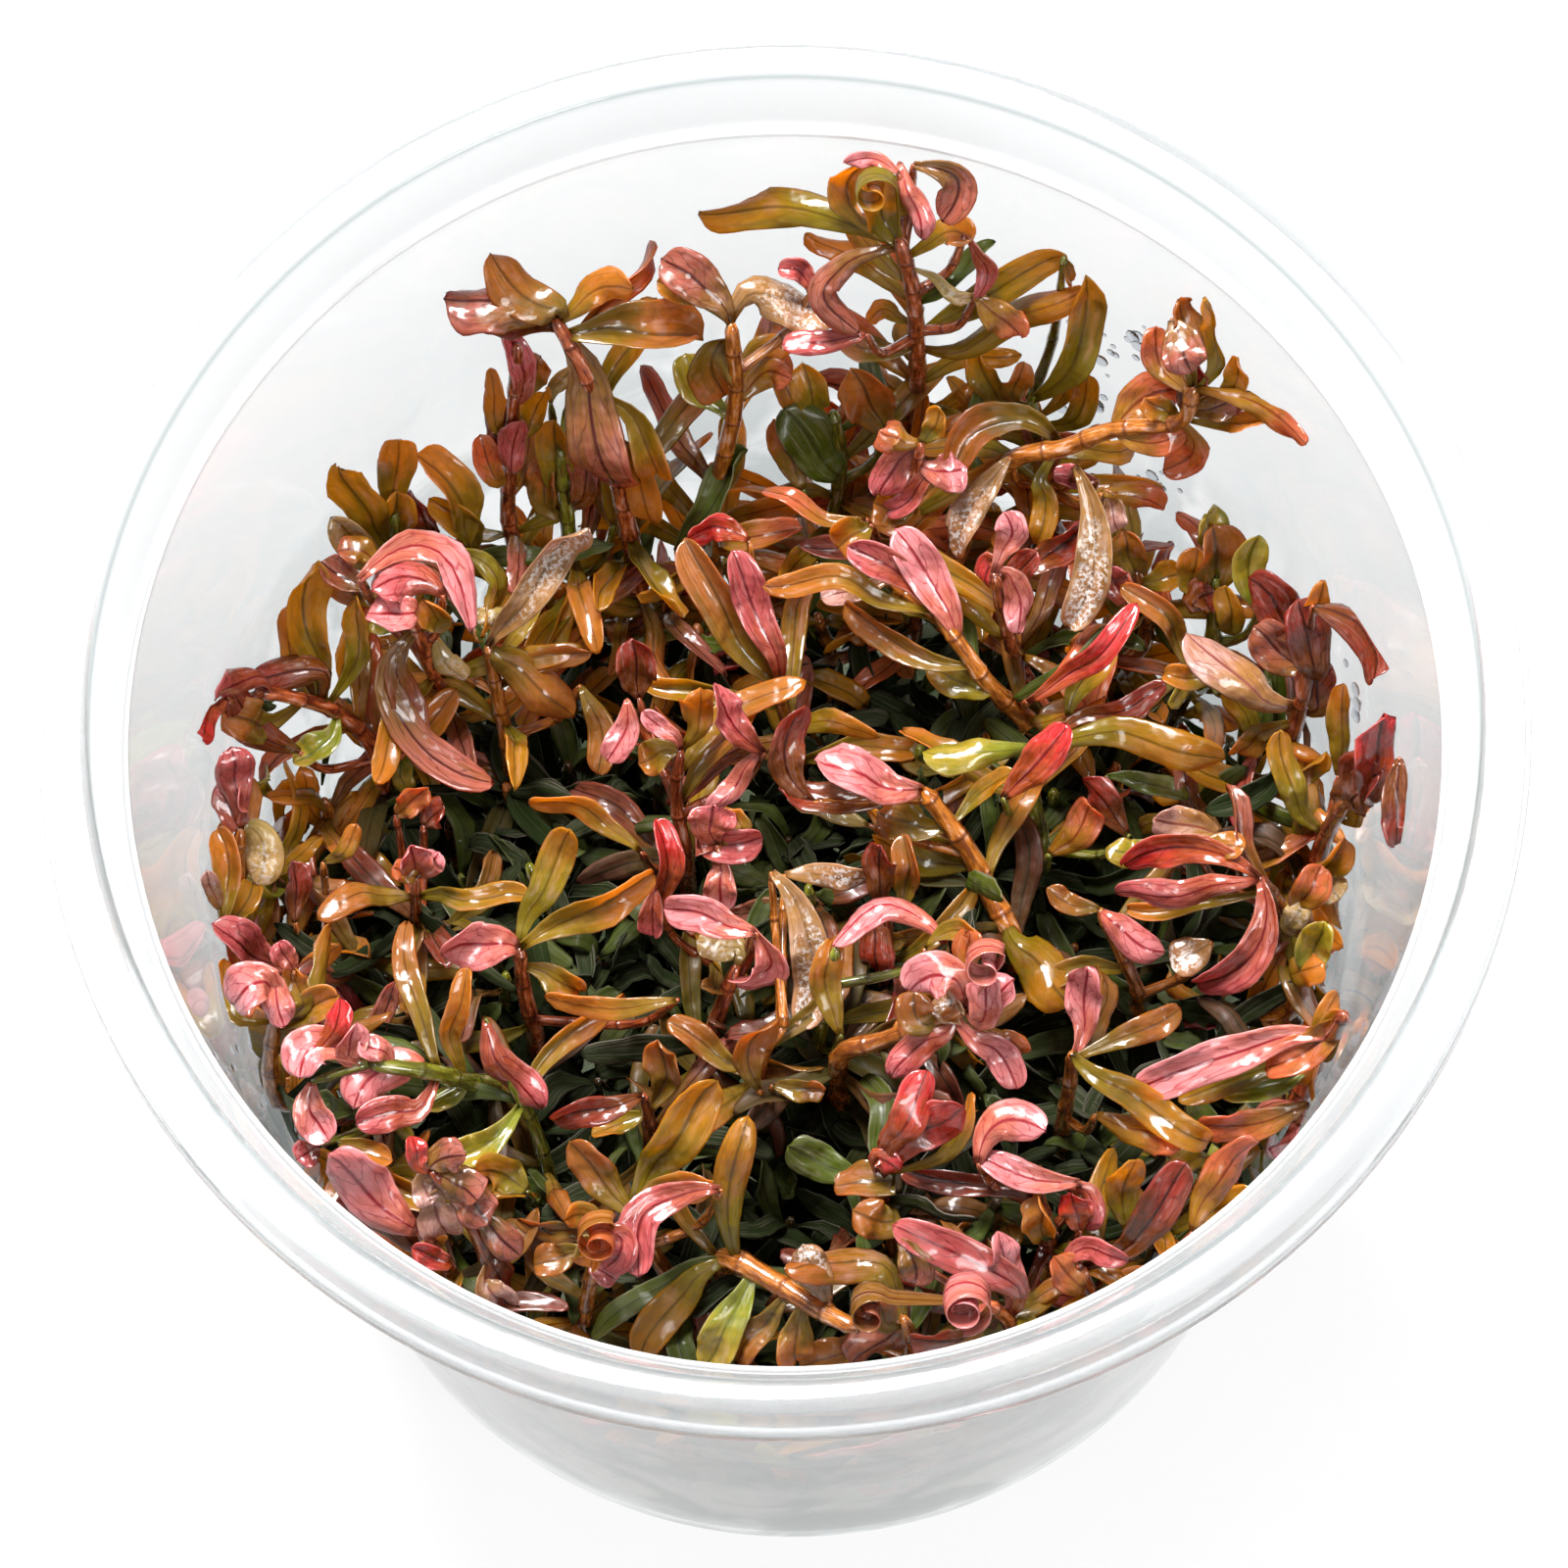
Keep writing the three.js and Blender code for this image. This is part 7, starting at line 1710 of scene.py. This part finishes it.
def grow_lower_stem(skin, points):
    """A lower stem with its pairs of leaves."""
    bark = rng.choice(("stem_amber", "stem_dark", "stem_green"))
    add_stem(skin, points, rng.uniform(0.6, 0.85), bark, 7, 1.4)
    route = smooth_route(points, 0.5)
    top = points[-1][2]
    beside_wall = math.hypot(points[-1][0], points[-1][1]) > inner_radius(top) - SIDE_BAND
    far_back = points[-1][1] > 20
    turn = rng.uniform(0, math.pi)
    height = GEL_TOP + rng.uniform(1, 3)
    while height < top - 0.3:
        place = route[int(np.abs(route[:, 2] - height).argmin())]
        share = (height - GEL_TOP) / (top - GEL_TOP)
        tones = LOW_TONES if share < 0.4 else MIDDLE_TONES if share < 0.8 else TOP_TONES
        if place[2] < PIT_HEIGHT and not beside_wall:
            tones = LOW_TONES
        if share > 0.35 and (beside_wall or (far_back and share > 0.6)):
            tones = SIDE_TONES
        count = 3 if share > 0.8 else 2
        for k in range(count):
            lift = rng.uniform(-0.3, 0.4) + 0.8 * share
            length = rng.uniform(8, 11) * (1 - 0.15 * share)
            azimuth = turn + 2 * math.pi * k / count + rng.uniform(-0.35, 0.35)
            made = spare_leaf(place, azimuth, lift, length, rng.uniform(1.5, 2.2), rng.choice(tones))
            if made:
                # Painted shade: lower leaves away from the wall are darkened, more the lower they grow
                made["shade"] = 0 if tones is SIDE_TONES else 0.7 - 0.35 * share
                add_blade(skin, made, size=LOWER_GRID)
        turn += math.pi / 2 if count == 2 else math.pi / 3
        height += LEAF_STEP * rng.uniform(0.8, 1.2)


# How many leaves are tried against the wall, and the height that they start under
WALL_LEAVES = 320
WALL_LEAF_TOP = 42


def add_wall_leaves(skins):
    """Leaves pressed flat against the wall, wherever the plants reach it."""
    for _ in range(WALL_LEAVES):
        angle = rng.uniform(-math.pi, math.pi)
        height = rng.uniform(GEL_TOP + 1, WALL_LEAF_TOP)
        if undergrowth_reach(angle, height) < inner_radius(height) - GAP - 3:
            continue
        out = np.array((math.cos(angle), math.sin(angle), 0))
        side = np.array((-out[1], out[0], 0))
        lean = rng.uniform(-1.2, 1.2)
        foot = out * (inner_radius(height) - GAP - 0.5)
        foot[2] = height
        tip = foot + (side * math.sin(lean) + np.array((0, 0, 1)) * math.cos(lean)) * rng.uniform(6, 9)
        tip = held_inside(tip[None], 0.8)[0]
        if not fits_undergrowth(foot, tip):
            continue
        blade = dict(foot=foot, tip=tip, width=rng.uniform(1.9, 2.6), tone=rng.choice(WALL_TONES), face=out)
        blade.update(roll=rng.uniform(-15, 15), bend=rng.uniform(-1, 1), arch=0.4, cup=rng.uniform(-30, 10))
        if not hides_plotted(blade):
            add_blade(skins[quarter(out[0], out[1])], finished(blade, 0.4), size=LOWER_GRID)


def make_undergrowth(materials):
    """The lower stems and their leaves, as one piece for each quarter of the cup."""
    skins = {}
    for x, y in undergrowth_places():
        grow_lower_stem(skins.setdefault(quarter(x, y), Skin()), lower_route(x, y))
    add_wall_leaves(skins)
    for side, skin in skins.items():
        object_from("undergrowth_" + side, skin, materials, ("undergrowth",))


# Drops on the wall, as the middle of a patch in the picture, its size in pixels, and how many
DROP_PATCHES = [
    ((1135, 368), 62, 26),
    ((1180, 480), 26, 8),
    ((1380, 712), 30, 9),
    ((262, 1075), 64, 22),
]


DROP_SIZES = (0.2, 0.25, 0.35, 0.6)
DROP_FLATNESS = 0.45
DROP_LENGTH = 1.15
DROP_GAP = 0.05


def add_drop(skin, place, out, size):
    """A low round drop lying on the wall at a place, out being the wall's inward direction."""
    side = unit(np.cross(out, (0, 0, 1)))
    other = np.cross(out, side)
    rings, sides = 4, 10
    high = out * DROP_FLATNESS * size
    points, faces = [place - high], []
    for i in range(1, rings + 1):
        turn = math.pi * i / (rings + 1)
        for k in range(sides):
            around = 2 * math.pi * k / sides
            wide = side * math.cos(around) + other * math.sin(around) * DROP_LENGTH
            points.append(place + wide * size * math.sin(turn) - high * math.cos(turn))
    points.append(place + high)
    end = len(points) - 1
    for k in range(sides):
        n = (k + 1) % sides
        faces.append((0, 1 + n, 1 + k))
        faces.append((end, end - sides + k, end - sides + n))
        for i in range(rings - 1):
            a = 1 + i * sides
            faces.append((a + k, a + n, a + sides + n, a + sides + k))
    skin.add(np.array(points), faces, "droplet")


def wall_point(across, down):
    """Where the view through a pixel meets the cup's inner wall, and the way inwards there."""
    low, high = GEL_TOP, CUP_HEIGHT - SEAT_DEPTH - 2
    for height in np.linspace(high, low, 400):
        place = seen_at((across, down, height))
        if math.hypot(place[0], place[1]) >= inner_radius(height):
            return place, unit(-np.array((place[0], place[1], 0)))
    return None, None


def make_drops(material):
    """The drops of every patch, as one piece."""
    skin = Skin()
    for (across, down), spread, count in DROP_PATCHES:
        for _ in range(count):
            x, y = across + rng.gauss(0, spread / 2), down + rng.gauss(0, spread / 2)
            place, inward = wall_point(x, y)
            if place is not None:
                size = rng.choice(DROP_SIZES)
                add_drop(skin, place + inward * (DROP_FLATNESS * size + DROP_GAP), inward, size)
    object_from("wall_droplets", skin, {"droplet": material})


# Floor and light


# In metres and watts: the key light stands over the back of the cup, the fill light over its front
FLOOR_SIZE = 6
KEY_LIGHT = dict(place=(-0.12, 0.36, 0.84), size=0.4, power=25.5)
FILL_LIGHT = dict(place=(0.34, -0.48, 0.68), size=0.3, power=4)
LIT_POINT = np.array((0, 0, 0.05))
WORLD_COLOUR = (1.0, 1.0, 1.0, 1)
WORLD_STRENGTH = 0.32


def make_floor(material):
    """A wide white floor under the cup."""
    bpy.ops.mesh.primitive_grid_add(x_subdivisions=4, y_subdivisions=4, size=FLOOR_SIZE, location=(0, 0, 0))
    floor = bpy.context.object
    floor.name = "floor"
    floor.data.materials.append(material)
    material.cycles.emission_sampling = "NONE"


def add_light(name, place, size, power):
    """A round light that faces the cup."""
    data = bpy.data.lights.new(name, "AREA")
    data.shape = "DISK"
    data.size = size
    data.energy = power
    light = bpy.data.objects.new(name, data)
    place = np.array(place, float)
    back = unit(place - LIT_POINT)
    side = unit(np.cross((0.01, 1, 0), back))
    turned = Matrix((side, np.cross(back, side), back)).transposed().to_4x4()
    light.matrix_world = Matrix.Translation(place) @ turned
    bpy.context.scene.collection.objects.link(light)


def add_world():
    """Even white light from all sides."""
    world = bpy.data.worlds.new("studio")
    world.use_nodes = True
    background = world.node_tree.nodes["Background"]
    background.inputs["Color"].default_value = WORLD_COLOUR
    background.inputs["Strength"].default_value = WORLD_STRENGTH
    bpy.context.scene.world = world


add_camera()
add_world()
add_light("key_light", **KEY_LIGHT)
add_light("fill_light", **FILL_LIGHT)
bpy.context.scene.view_settings.view_transform = "Standard"

make_floor(floor_material())
make_cup(cup_material())
make_gel(gel_material())
leaf_looks = plant_materials()
for plant in SHOOTS:
    make_shoot(plant, leaf_looks)
make_undergrowth(leaf_looks)
make_drops(droplet_material())
